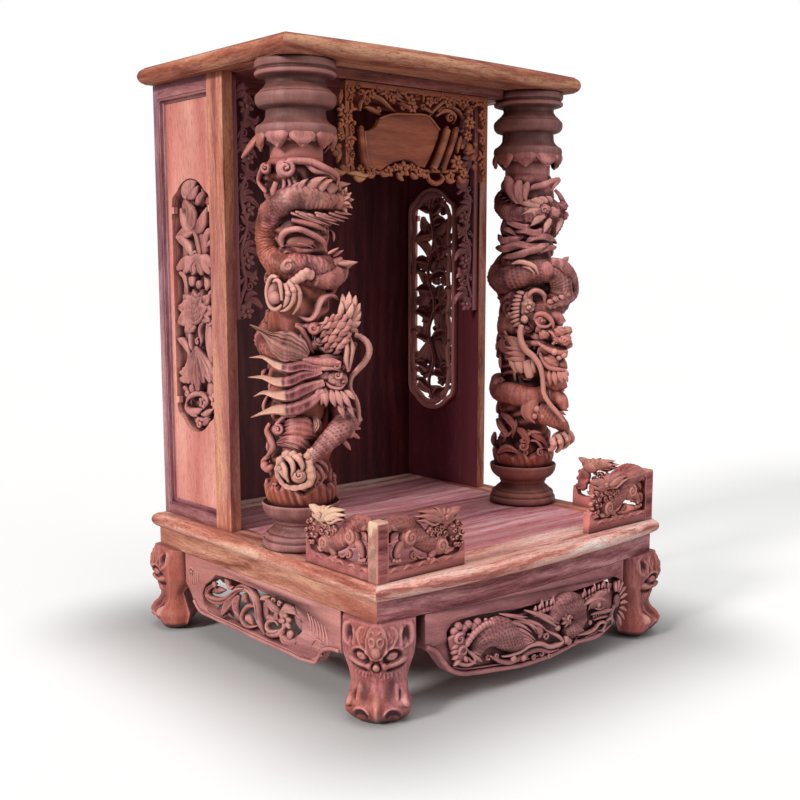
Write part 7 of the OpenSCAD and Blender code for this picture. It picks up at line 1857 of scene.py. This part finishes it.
# ------------------------------------------------------------------ hanging fret: a plain tablet with rolled ends among foliage
def fret_board():
    c = Carving()
    # thin frame: top strip and the two end strips
    plate(c, [(-172, 1013), (172, 1013), (172, 1023.5), (-172, 1023.5)], [], -15, -1, soft=0.8)
    for s in (-1, 1):
        plate(c, [(s * 172 - (9 if s > 0 else 0), 866), (s * 172 + (9 if s < 0 else 0), 866), (s * 172 + (9 if s < 0 else 0), 1016), (s * 172 - (9 if s > 0 else 0), 1016)], [], -15, -2, soft=0.8)
    # painted shade: the frame strips behind the foliage are darkened
    for i in range(len(c.hollow)):
        c.hollow[i] = np.full_like(c.hollow[i], 0.42)
    # tablet
    tab = [(-95, 964), (-83, 969), (-62, 974), (-37, 976), (-6, 978), (20, 977), (36, 969), (49, 955), (46, 940), (36, 920), (24, 900), (14, 885), (-3, 886), (-18, 894), (-37, 896), (-57, 892), (-76, 884), (-92, 874), (-108, 878), (-123, 882), (-126, 899), (-128, 921), (-127, 939), (-112, 944), (-103, 949), (-98, 956)]
    plate(c, tab, [], -12, -3.0, soft=2.0, tone=0.0)
    ribbon(c, [(-95, 964), (-62, 974), (-21, 977), (20, 977), (49, 955)], 2.2, 2.4, d=-3.0, n=60, m=10, taper=False, tone=0.1)
    # rolls: one at the left, two leaning at the right
    ribbon(c, [(-139, 942), (-137, 924), (-133, 898), (-126, 878)], 6.5, 7, d=-3.5, n=40, m=20, taper=False, tone=0.0)
    ribbon(c, [(-131, 939), (-130, 921), (-126, 895), (-120, 878)], 3.4, 5, d=-2.5, n=40, m=14, taper=False, tone=0.15)
    ribbon(c, [(66, 956), (57, 933), (46, 909), (31, 883)], 7.5, 8, d=-1.5, n=44, m=20, taper=False, tone=0.15)
    ribbon(c, [(90, 957), (82, 935), (71, 911), (57, 884)], 6.5, 7, d=-4, n=44, m=20, taper=False, tone=0.0)
    for q in ((66, 957), (90, 958), (31, 882), (57, 883), (-139, 943), (-126, 878)):
        volute(c, q, 6.0, start=90, turns=1.2, w=2.4, th=5, d=-1, tone=0.1)
    # foliage above
    for pts, w, tn in (([(-137, 974), (-134, 990), (-115, 1001), (-92, 998), (-72, 986), (-57, 976)], 5.2, 0.2), ([(-112, 1005), (-88, 1011), (-62, 1006), (-42, 998), (-25, 996)], 4.8, 0.15),
                       ([(-125, 982), (-108, 978), (-93, 970)], 4.5, 0.1), ([(-72, 1009), (-52, 1007), (-37, 1002)], 4.0, 0.35), ([(-21, 983), (-32, 990), (-52, 996)], 4.2, 0.1),
                       ([(24, 977), (42, 994), (67, 1010), (92, 1008), (106, 996)], 5.2, 0.25), ([(8, 1001), (32, 1007), (59, 1015)], 4.4, 0.1), ([(43, 979), (59, 990), (75, 991), (89, 983), (84, 968)], 5.0, 0.15),
                       ([(53, 995), (73, 999), (98, 993), (109, 980)], 4.2, 0.1), ([(10, 992), (24, 987), (32, 980)], 4.0, 0.05), ([(-39, 1017), (-21, 1017), (-0, 1015)], 4.0, 0.1),
                       ([(-149, 1000), (-161, 995), (-170, 989)], 4.2, 0.15), ([(112, 1012), (126, 1001), (135, 986)], 4.4, 0.1), ([(95, 1022), (75, 1018), (59, 1009)], 4.0, 0.1)):
        leaf(c, pts, w, 5.5, d=(-7, -4), rib=0.5, flutes=2, n=28, m=14, tone=tn)
    for q, r, st, tn in (((-123, 990), 9, 0, 1.25), ((-62, 997), 8, 180, -1.2), ((-95, 979), 7, 90, 1.2), ((-39, 987), 8, 0, 1.2), ((10, 992), 8, 180, -1.25), ((77, 979), 11, 40, 1.3), ((53, 989), 7, 200, -1.2), ((109, 1000), 8, 0, 1.2),
                        ((-137, 1006), 7, 0, -1.2), ((32, 1016), 7, 90, 1.2), ((84, 1012), 7, 0, -1.2), ((-156, 1004), 7, 0, 1.2), ((134, 1012), 6, 0, 1.2), ((-88, 1016), 6, 0, 1.2), ((-0, 1019), 6, 0, -1.2)):
        volute(c, q, r, start=st, turns=tn, w=2.6, th=4.5, d=-6, n=30, tone=0.12)
    bloom(c, (-16, 991), 13, n=6, d=-7, th=4.5, tone=0.15)
    bloom(c, (-19, 1008), 10, n=6, d=-8, th=4, turn=30, tone=0.1)
    # end columns of daisies and beads
    for q, r in (((-173, 970), 14), ((-170, 953), 13), ((129, 974), 14), ((96, 898), 16), ((124, 950), 11), ((-162, 890), 11), ((-180, 928), 9), ((113, 881), 11)):
        bloom(c, q, r, n=7, d=-7, th=4.5, turn=10, tone=0.3)
    for q, r in (((-157, 920), 6.5), ((-184, 911), 5.5), ((-164, 904), 7), ((-185, 892), 5), ((-176, 874), 7), ((-156, 875), 6), ((127, 928), 9), ((144, 935), 6), ((110, 929), 5), ((139, 911), 7), ((142, 893), 6), ((-155, 937), 5), ((-182, 939), 5),
                 ((-194, 920), 5), ((-192, 899), 6), ((126, 996), 6), ((-151, 952), 5)):
        knob(c, q, r, -6, flat=0.8, tone=0.15)
    for pts in ([(-182, 952), (-178, 936), (-171, 922)], [(-190, 911), (-183, 899), (-188, 882)], [(-152, 905), (-159, 893), (-152, 881)], [(107, 948), (101, 932), (98, 916)], [(121, 918), (136, 922), (147, 919)], [(-177, 1006), (-180, 993), (-182, 980)]):
        leaf(c, pts, 5.5, 5, d=-7, rib=0.5, n=18, tone=0.1)
    # close foliage over the frame, so that only its outline is straight
    rg = np.random.default_rng(4)
    spots = [(-160 + 320 * i / 21.0, 1008 + 6 * math.sin(i * 1.9)) for i in range(22)] + [(-161 + 4 * math.sin(i * 2.3), 990 - 15.5 * i) for i in range(8)] + [(160 + 4 * math.sin(i * 2.1), 990 - 15.5 * i) for i in range(8)]
    for i, q in enumerate(spots):
        t = rg.random() * 360
        if i % 3 == 0:
            bloom(c, q, 8.5 + 2.5 * rg.random(), n=5, d=-3.5, th=4, turn=t, tone=0.1)
        elif i % 3 == 1:
            volute(c, q, 7.5, start=t, turns=1.2 if i % 2 else -1.2, w=2.6, th=4.5, d=-3, n=26, m=8, tone=0.05)
        else:
            for k in (0, 130, 230):
                e = np.array([math.cos(math.radians(t + k)), math.sin(math.radians(t + k))])
                leaf(c, [tuple(np.array(q) - e * 2), tuple(np.array(q) + e * 7 + [1, 1]), tuple(np.array(q) + e * 13)], 3.6, 4, d=-3.5, rib=0.5, n=12, m=10, tone=0.05)
    # flowers, scrolls and leaf tips along the lower edge
    for q, r, k in (((-37, 880), 15, 5), ((-73, 874), 11, 5), ((-2, 877), 11, 5), ((-113, 874), 10, 5), ((79, 872), 11, 5), ((-137, 874), 9, 5), ((-57, 882), 8, 5), ((-18, 884), 8, 5)):
        bloom(c, q, r, n=k, d=-6, th=4.5, turn=25, tone=0.2)
    ribbon(c, [(22, 876), (26, 863), (45, 858), (60, 867), (54, 877)], 4.6, 5.5, d=-6, n=40, tone=0.15)
    for pts, tn in (([(-166, 867), (-150, 867), (-130, 864), (-110, 867)], 0.9), ([(-152, 862), (-140, 857), (-125, 860)], 0.7), ([(-195, 873), (-183, 866), (-166, 871)], 0.5), ([(-52, 873), (-42, 862), (-37, 859)], 0.3), ([(-21, 874), (-10, 867), (-2, 866)], 0.2),
                    ([(6, 876), (16, 870), (24, 872)], 0.2), ([(-93, 873), (-83, 868), (-73, 866)], 0.2), ([(65, 873), (79, 864), (93, 866)], 0.3), ([(99, 874), (110, 865), (125, 870)], 0.2), ([(-125, 873), (-113, 864), (-103, 868)], 0.2)):
        leaf(c, pts, 5.2, 5, d=-6, rib=0.5, n=20, tone=tn)
    ribbon(c, [(-118, 877), (-95, 871), (-73, 878), (-50, 885), (-37, 887), (-21, 886), (-2, 882), (16, 879), (43, 881), (71, 881), (93, 884)], 3.6, 4, d=-8, n=90, m=10, taper=False, tone=0.05)
    return c


fr = fret_board()
# a across, b up, d towards the viewer (the front of the fret is at y = -45.26)
fr.place(np.array([[1.0, 0, 0], [0, 0, -1.0], [0, 1.0, 0]]), (0, -45.26, 0))
fr.piece("carved_fret", MAT["fret"], "fret_wood", ["hanging_fret"], hand=0.3)


# ------------------------------------------------------------------ corner rails: a lion dragon on each arm
def rail_arm(mane=0.1, curls=0.15):
    """a from the corner post outwards, b up from the deck, d towards the outside (0 is the outer face)."""
    c = Carving()
    plate(c, [(0, 0.2), (185.5, 0.2), (185.5, 26), (184, 40), (178, 38), (172, 24), (160, 21), (140, 23), (120, 20), (96, 22), (70, 19), (44, 22), (20, 21), (0, 22)], [], -13.5, 0.0, soft=1.4)
    for x in (34, 62, 92, 118, 150):
        ribbon(c, [(x - 10, 14), (x, 19), (x + 12, 15)], 3.0, 3.0, d=-1.0, tone=0.05)
    # body, haunch and legs
    c.sweep(grade([(22, 89), (39, 90), (58, 85), (76, 71), (95, 55), (115, 46), (135, 44)], -7), [8, 12, 16, 17, 15.5, 16, 12], [6, 7.5, 8.5, 9, 8.5, 8.5, 7], n=70, m=32, ref=(0, 0, 1),
            relief=scales(6.0, 16, 1.5), pits=0.6, tone=0.05)
    knob(c, (66, 64), (17, 19), -6, flat=0.62, n=14, m=20, tone=0.08)
    volute(c, (66, 64), 14.5, start=100, turns=1.45, w=3.6, th=4.2, d=1.0, tone=0.15, n=48)
    ribbon(c, [(60, 60), (50, 54), (42, 44), (38, 33)], 7.5, 6.5, d=-5, m=16, tone=0.1)
    ribbon(c, [(37, 53), (27, 50), (26, 41), (33, 34)], 5.5, 5.5, d=-9, m=14, tone=0.05)
    for q in ((34, 32), (40, 30), (46, 30)):
        knob(c, q, (4.2, 4.0), -3, flat=0.9, n=8, m=12, tone=0.2)
    c.spike(np.array((42, 36) + (-2,)), (0.5, 0.8, 0.1), 10, 3, 2.6, tone=0.4)
    # tail by the post
    volute(c, (34, 85), 10, start=150, turns=-1.2, w=3.6, th=4.5, d=-5, tail=[(23, 78), (26, 82)], tone=0.1)
    leaf(c, [(42, 79), (32, 88), (24, 94)], 6.5, 6, d=-5, rib=0.5, tone=0.15)
    leaf(c, [(46, 75), (35, 70), (30, 60)], 5.5, 6, d=-8, rib=0.5, tone=0.05)
    leaf(c, [(46, 90), (35, 94), (24, 96)], 4.5, 5, d=-8, rib=0.5, tone=0.1)
    for i in range(7):
        t = i / 6.0
        q = np.array((39, 92)) * (1 - t) + np.array((90, 66)) * t
        c.spike((q[0], q[1] + 3 + 3 * math.sin(math.pi * t), -7), (-0.25, 1.0, 0), 8, 3.2, 3.0, tone=0.1)
    # shoulder, foreleg and paws
    knob(c, (131, 41), (17, 17), -6, flat=0.65, n=14, m=20, tone=0.1)
    volute(c, (132, 41), 14, start=-60, turns=1.45, w=3.5, th=4.2, d=1.0, tone=0.2, n=48)
    ribbon(c, [(127, 35), (118, 32), (112, 27), (109, 23)], 7.5, 6.5, d=-5, m=16, tone=0.1)
    leaf(c, [(138, 29), (148, 29), (155, 31)], 5.5, 5, d=-4, rib=0.3, tone=0.4)
    for q in ((107, 22), (112, 20), (117, 21)):
        knob(c, q, (4.2, 4.0), -3, flat=0.9, n=8, m=12, tone=0.15)
    # chest with its dark pearl, and the little curl at the arm's end
    knob(c, (158, 63), (12, 14), -7, flat=0.7, n=12, m=18, tone=0.0, hollow=0.35)
    ribbon(c, [(148, 75), (158, 70), (168, 59), (165, 48)], 4.5, 5.5, d=-6, tone=0.0)
    ribbon(c, [(148, 58), (158, 50), (170, 46)], 5.5, 6, d=-8, tone=0.0)
    volute(c, (174, 40), 10, start=0, turns=-1.2, w=3.6, th=5, d=-6, tail=[(176, 22), (181, 29)], tone=0.05)
    # close curls of the beard down the chest
    knob(c, (164, 54), (13, 24), -7.5, flat=0.55, n=14, m=20, tone=0.0)
    for i, q in enumerate(((156, 71), (167, 72), (176, 68), (161, 61), (172, 58), (180, 55), (156, 50), (166, 48), (176, 45), (170, 37), (180, 36), (162, 38))):
        volute(c, q, 6.2 - 0.4 * (i % 3), start=55 * i, turns=1.2 if i % 2 else -1.2, w=2.5, th=5, d=-1.5, n=24, m=8, tone=curls * 0.8)
    # rows of neck curls
    for q, r, st in (((113, 62), 7.5, 0), ((122, 68), 7.5, 60), ((133, 69), 7.0, 120), ((140, 59), 8.0, 200), ((127, 58), 7.0, 30), ((110, 71), 6.0, 90), ((140, 70), 6.0, 10), ((104, 67), 5.5, 0), ((121, 52), 6.5, 200)):
        volute(c, q, r, start=st, turns=1.2, w=2.4, th=4.5, d=-2.5, n=26, m=8, tone=curls)
    # head with a raised snout
    knob(c, (146, 82), (19, 12), -6, flat=0.8, n=14, m=20, tone=mane * 0.8)
    ribbon(c, [(133, 83), (150, 87), (165, 92), (178, 96)], 7.5, 7, d=-5, m=18, tone=mane, relief=None)
    ribbon(c, [(140, 78), (153, 78), (163, 80), (170, 86)], 4.0, 5, d=-4, m=12, tone=mane)
    knob(c, (143, 84), 4.4, 2.5, flat=0.9, tone=mane)
    ribbon(c, [(138, 86), (143, 88), (149, 85)], 2.2, 3, d=3, m=8, tone=mane)
    # mane swept back and up, in two tiers with a wavy lower edge
    leaf(c, [(150, 84), (122, 91), (92, 93)], 11, 6, d=(-6, -8), rib=0.25, flutes=4, n=26, m=22, tone=mane * 0.9, profile=[0.7, 1.0, 1.0, 0.9, 0.7, 0.3])
    for tip, w in (((161, 96), 6.5), ((143, 100), 7.5), ((123, 103), 8.0), ((104, 101), 7.5), ((87, 102), 7.0)):
        b, t = np.array((137, 81)), np.array(tip)
        leaf(c, [tuple(b), tuple(b * 0.5 + t * 0.5 + np.array([0, 4])), tip], w, 7, d=(-4, -6), rib=0.5, flutes=2, n=22, m=16, tone=mane, profile=[0.6, 1.0, 1.0, 0.8, 0.45, 0.08])
    for tip, w in (((80, 95), 6.5), ((84, 88), 6.0), ((97, 82), 5.5), ((115, 77), 5.5)):
        b, t = np.array((132, 81)), np.array(tip)
        leaf(c, [tuple(b), tuple(b * 0.5 + t * 0.5 + np.array([0, 3])), tip], w, 7, d=(-1, -3), rib=0.5, flutes=2, n=22, m=16, tone=mane, profile=[0.6, 1.0, 1.0, 0.85, 0.5, 0.08])
    ribbon(c, [(81, 89), (95, 86), (107, 80), (117, 77), (128, 79)], 2.6, 3.2, d=2.0, n=36, m=8, tone=mane + 0.15)
    # a cloud scroll under the belly
    volute(c, (78, 32), 9, start=90, turns=1.2, w=3.0, th=4.5, d=-7, tail=[(100, 25), (89, 27)], tone=0.1)
    return c


def rail_unit(side):
    """side -1 left, 1 right. Local x runs from the corner inwards, y backwards, z up."""
    u = Carving()
    front = rail_arm(mane=0.12, curls=0.12)
    u.absorb(front, np.array([[1.0, 0, 0], [0, 0, -1.0], [0, 1.0, 0]]), (0, 0, 0))
    sidearm = rail_arm(mane=0.95 if side < 0 else 0.25, curls=0.3)
    u.absorb(sidearm, np.array([[0, 0, -1.0], [1.0, 0, 0], [0, 1.0, 0]]), (0, 0, 0))
    # corner post with a pale top
    zs = np.concatenate([np.linspace(0.2, 92, 14), [94.5, 96, 96.8]])
    R, T = [], []
    for z in zs:
        e = 0.0 if z < 94 else (z - 94) * 0.5
        n = 9
        a0, a1 = e - 0.3, 22.0 - e
        edge = [(a0 + (a1 - a0) * i / n, a0) for i in range(n)] + [(a1, a0 + (a1 - a0) * i / n) for i in range(n)] + [(a1 - (a1 - a0) * i / n, a1) for i in range(n)] + [(a0, a1 - (a1 - a0) * i / n) for i in range(n)]
        R.append([(x, y, z) for x, y in edge])
        T.append([(0.95 if side < 0 else 0.3) if z > 82 - 9 * math.sin(i * 0.7) and not (z < 93 and i < 10) else 0.0 for i in range(4 * n)])
        if side < 0:
            T[-1] = [max(t, 0.26) if i >= 3 * n or i == 0 else t for i, t in enumerate(T[-1])]
    u.rings(np.array(R), np.array(T), bulge=(0.0, 0.0))
    return u


for sgn, nm in ((-1, "left"), (1, "right")):
    ru = rail_unit(sgn)
    ru.place(np.array([[-float(sgn), 0, 0], [0, 1.0, 0], [0, 0, 1.0]]), (sgn * 342.0, -329.5, 226.0))
    ru.piece("lion_rail_" + nm, MAT["rails"], "rail_carving_wood", ["corner_rail_" + nm], hand=0.35)


# ------------------------------------------------------------------ drops of foliage beside the cabinet's opening
def drop_board():
    """a from the outer side inwards (0 to 60), b up, d towards the front."""
    c = Carving()
    plate(c, [(0.3, 612), (12, 612), (12, 1039.5), (0.3, 1039.5)], [], -14, -0.5, soft=1.0)
    stem = [(12, 640), (26, 680), (18, 730), (32, 780), (20, 830), (34, 880), (22, 930), (36, 980), (28, 1025)]
    ribbon(c, stem, 5.0, 5.5, d=-8, n=140, m=12, taper=False, tone=0.05)
    rng = np.random.RandomState(11)
    z = 626.0
    k = 0
    while z < 1022:
        kind = k % 4
        x = 22 + 8 * math.sin(k * 1.7)
        if kind == 0:
            bloom(c, (x + 6, z), 15 + 2 * rng.rand(), n=6, d=-8, th=4.5, turn=rng.rand() * 50, tone=0.2, layers=1)
        elif kind == 1:
            leaf(c, [(x - 8, z - 12), (x + 8, z - 2), (x + 24, z - 10), (x + 34, z - 22)], 8, 6, d=(-8, -6), rib=0.55, flutes=2, n=24, tone=0.12)
            leaf(c, [(x - 6, z - 4), (x + 6, z + 9), (x + 22, z + 8)], 7, 5.5, d=(-8, -7), rib=0.55, n=20, tone=0.1)
        elif kind == 2:
            volute(c, (x + 14, z), 11, start=180, turns=1.3, w=3.4, th=5, d=-8, tail=[(x - 8, z - 16), (x, z - 10)], tone=0.12)
            knob(c, (x - 5, z + 8), 5.5, -6, tone=0.15)
            leaf(c, [(x + 14, z + 8), (x + 26, z + 16), (x + 34, z + 10)], 6, 5, d=-8, rib=0.5, n=16, tone=0.2)
        else:
            leaf(c, [(x + 2, z + 12), (x + 14, z), (x + 28, z - 3), (x + 36, z + 8)], 8, 6, d=(-8, -6), rib=0.55, flutes=2, n=24, tone=0.1)
            volute(c, (x + 2, z - 8), 8, start=0, turns=-1.2, w=2.8, th=4.5, d=-7, tone=0.12)
            for i in range(3):
                knob(c, (x + 22 + 5 * i, z - 12 - 3 * i), 3.6, -6, tone=0.2)
        z += 22.5
        k += 1
    # the pointed end
    leaf(c, [(8, 640), (22, 632), (34, 640), (46, 652)], 7, 5, d=-8, rib=0.5, n=22, tone=0.3)
    leaf(c, [(4, 634), (14, 622), (26, 618)], 6, 5, d=-8, rib=0.5, n=18, tone=0.2)
    for v in c.V:
        v[:, 0] = np.clip(v[:, 0], 0.3, 60.5)
        v[:, 1] = np.minimum(v[:, 1], 1039.5)
    return c


for sgn, nm in ((-1, "left"), (1, "right")):
    db = drop_board()
    db.place(np.array([[-float(sgn), 0, 0], [0, 0, -1.0], [0, 1.0, 0]]), (sgn * 304.0, 110.74, 0))
    db.piece("foliage_drop_" + nm, MAT["drop"], "drop_wood", ["side_drop_" + nm], hand=0.35)
# ------------------------------------------------------------------ floor, light
def plain(name, colour, rough, glow):
    """A pale backdrop paper. The camera sees it a little brighter than the light that it gives back to the wood."""
    m = bpy.data.materials.new(name)
    m.use_nodes = True
    nt = m.node_tree
    b = nt.nodes["Principled BSDF"]
    tc = nt.nodes.new("ShaderNodeTexCoord")
    no = _node(nt, "ShaderNodeTexNoise", Scale=1.3, Detail=3.0)
    nt.links.new(tc.outputs["Object"], no.inputs["Vector"])
    c = _ramp(nt, no.outputs["Fac"], [(0.3, [x * 0.97 for x in colour]), (0.7, colour)])
    nt.links.new(c, b.inputs["Base Color"])
    b.inputs["Roughness"].default_value = rough
    b.inputs["Specular IOR Level"].default_value = 0.1
    path = nt.nodes.new("ShaderNodeLightPath")
    b.inputs["Emission Color"].default_value = (1.0, 1.0, 1.0, 1.0)
    # near the altar the paper is only as bright as the light that reaches it: the glow falls away there, which paints a
    # darker halo round the altar like a cast shadow
    xyz = nt.nodes.new("ShaderNodeSeparateXYZ")
    nt.links.new(tc.outputs["Object"], xyz.inputs[0])
    dx = _math(nt, "MAXIMUM", _math(nt, "SUBTRACT", _math(nt, "ABSOLUTE", xyz.outputs[0]), 0.33), 0.0)
    dy = _math(nt, "MAXIMUM", _math(nt, "SUBTRACT", _math(nt, "ABSOLUTE", xyz.outputs[1]), 0.33), 0.0)
    far = _math(nt, "SQRT", _math(nt, "ADD", _math(nt, "MULTIPLY", dx, dx), _math(nt, "MULTIPLY", dy, dy)))
    mr = nt.nodes.new("ShaderNodeMapRange")
    mr.interpolation_type = "SMOOTHSTEP"
    mr.inputs["From Max"].default_value = 0.34
    nt.links.new(far, mr.inputs["Value"])
    lit = _math(nt, "MULTIPLY", _math(nt, "MULTIPLY", mr.outputs[0], glow), path.outputs["Is Camera Ray"])
    nt.links.new(lit, b.inputs["Emission Strength"])
    return m


fm = bpy.data.meshes.new("stage_floor")
R = 60.0
ring = [(R * math.cos(i * math.pi / 24), R * math.sin(i * math.pi / 24), 0.0) for i in range(48)]
fm.from_pydata(ring, [], [tuple(range(48))])
floor = bpy.data.objects.new("stage_floor", fm)
floor.data.materials.append(plain("stage_pale", (0.52, 0.52, 0.515), 0.9, 0.54))
SCENE.collection.objects.link(floor)

world = bpy.data.worlds.new("studio")
SCENE.world = world
world.use_nodes = True
wn = world.node_tree
wn.nodes.clear()
wo = wn.nodes.new("ShaderNodeOutputWorld")
b_light = _node(wn, "ShaderNodeBackground", Color=(1.0, 0.985, 0.985, 1.0), Strength=0.20)
b_seen = _node(wn, "ShaderNodeBackground", Color=(1.0, 1.0, 1.0, 1.0), Strength=1.0)
lp = wn.nodes.new("ShaderNodeLightPath")
mx = wn.nodes.new("ShaderNodeMixShader")
wn.links.new(lp.outputs["Is Camera Ray"], mx.inputs[0])
wn.links.new(b_light.outputs[0], mx.inputs[1])
wn.links.new(b_seen.outputs[0], mx.inputs[2])
wn.links.new(mx.outputs[0], wo.inputs["Surface"])


def sun(name, come_from, power, soft, colour=(1.0, 1.0, 1.0)):
    d = bpy.data.lights.new(name, "SUN")
    d.energy = power
    d.angle = math.radians(soft)
    d.color = colour
    o = bpy.data.objects.new(name, d)
    from mathutils import Vector
    o.rotation_euler = (-Vector(come_from)).to_track_quat("-Z", "Y").to_euler()
    SCENE.collection.objects.link(o)
    return o


sun("key", (-1.0, -0.06, 0.52), 2.55, 13.0, (1.0, 0.975, 0.96))
sun("front_fill", (0.16, -1.0, 0.34), 0.70, 50.0, (1.0, 0.985, 1.0))
sun("top", (-0.10, -0.30, 1.0), 0.95, 50.0)

for o in list(SCENE.objects):
    o.select_set(False)
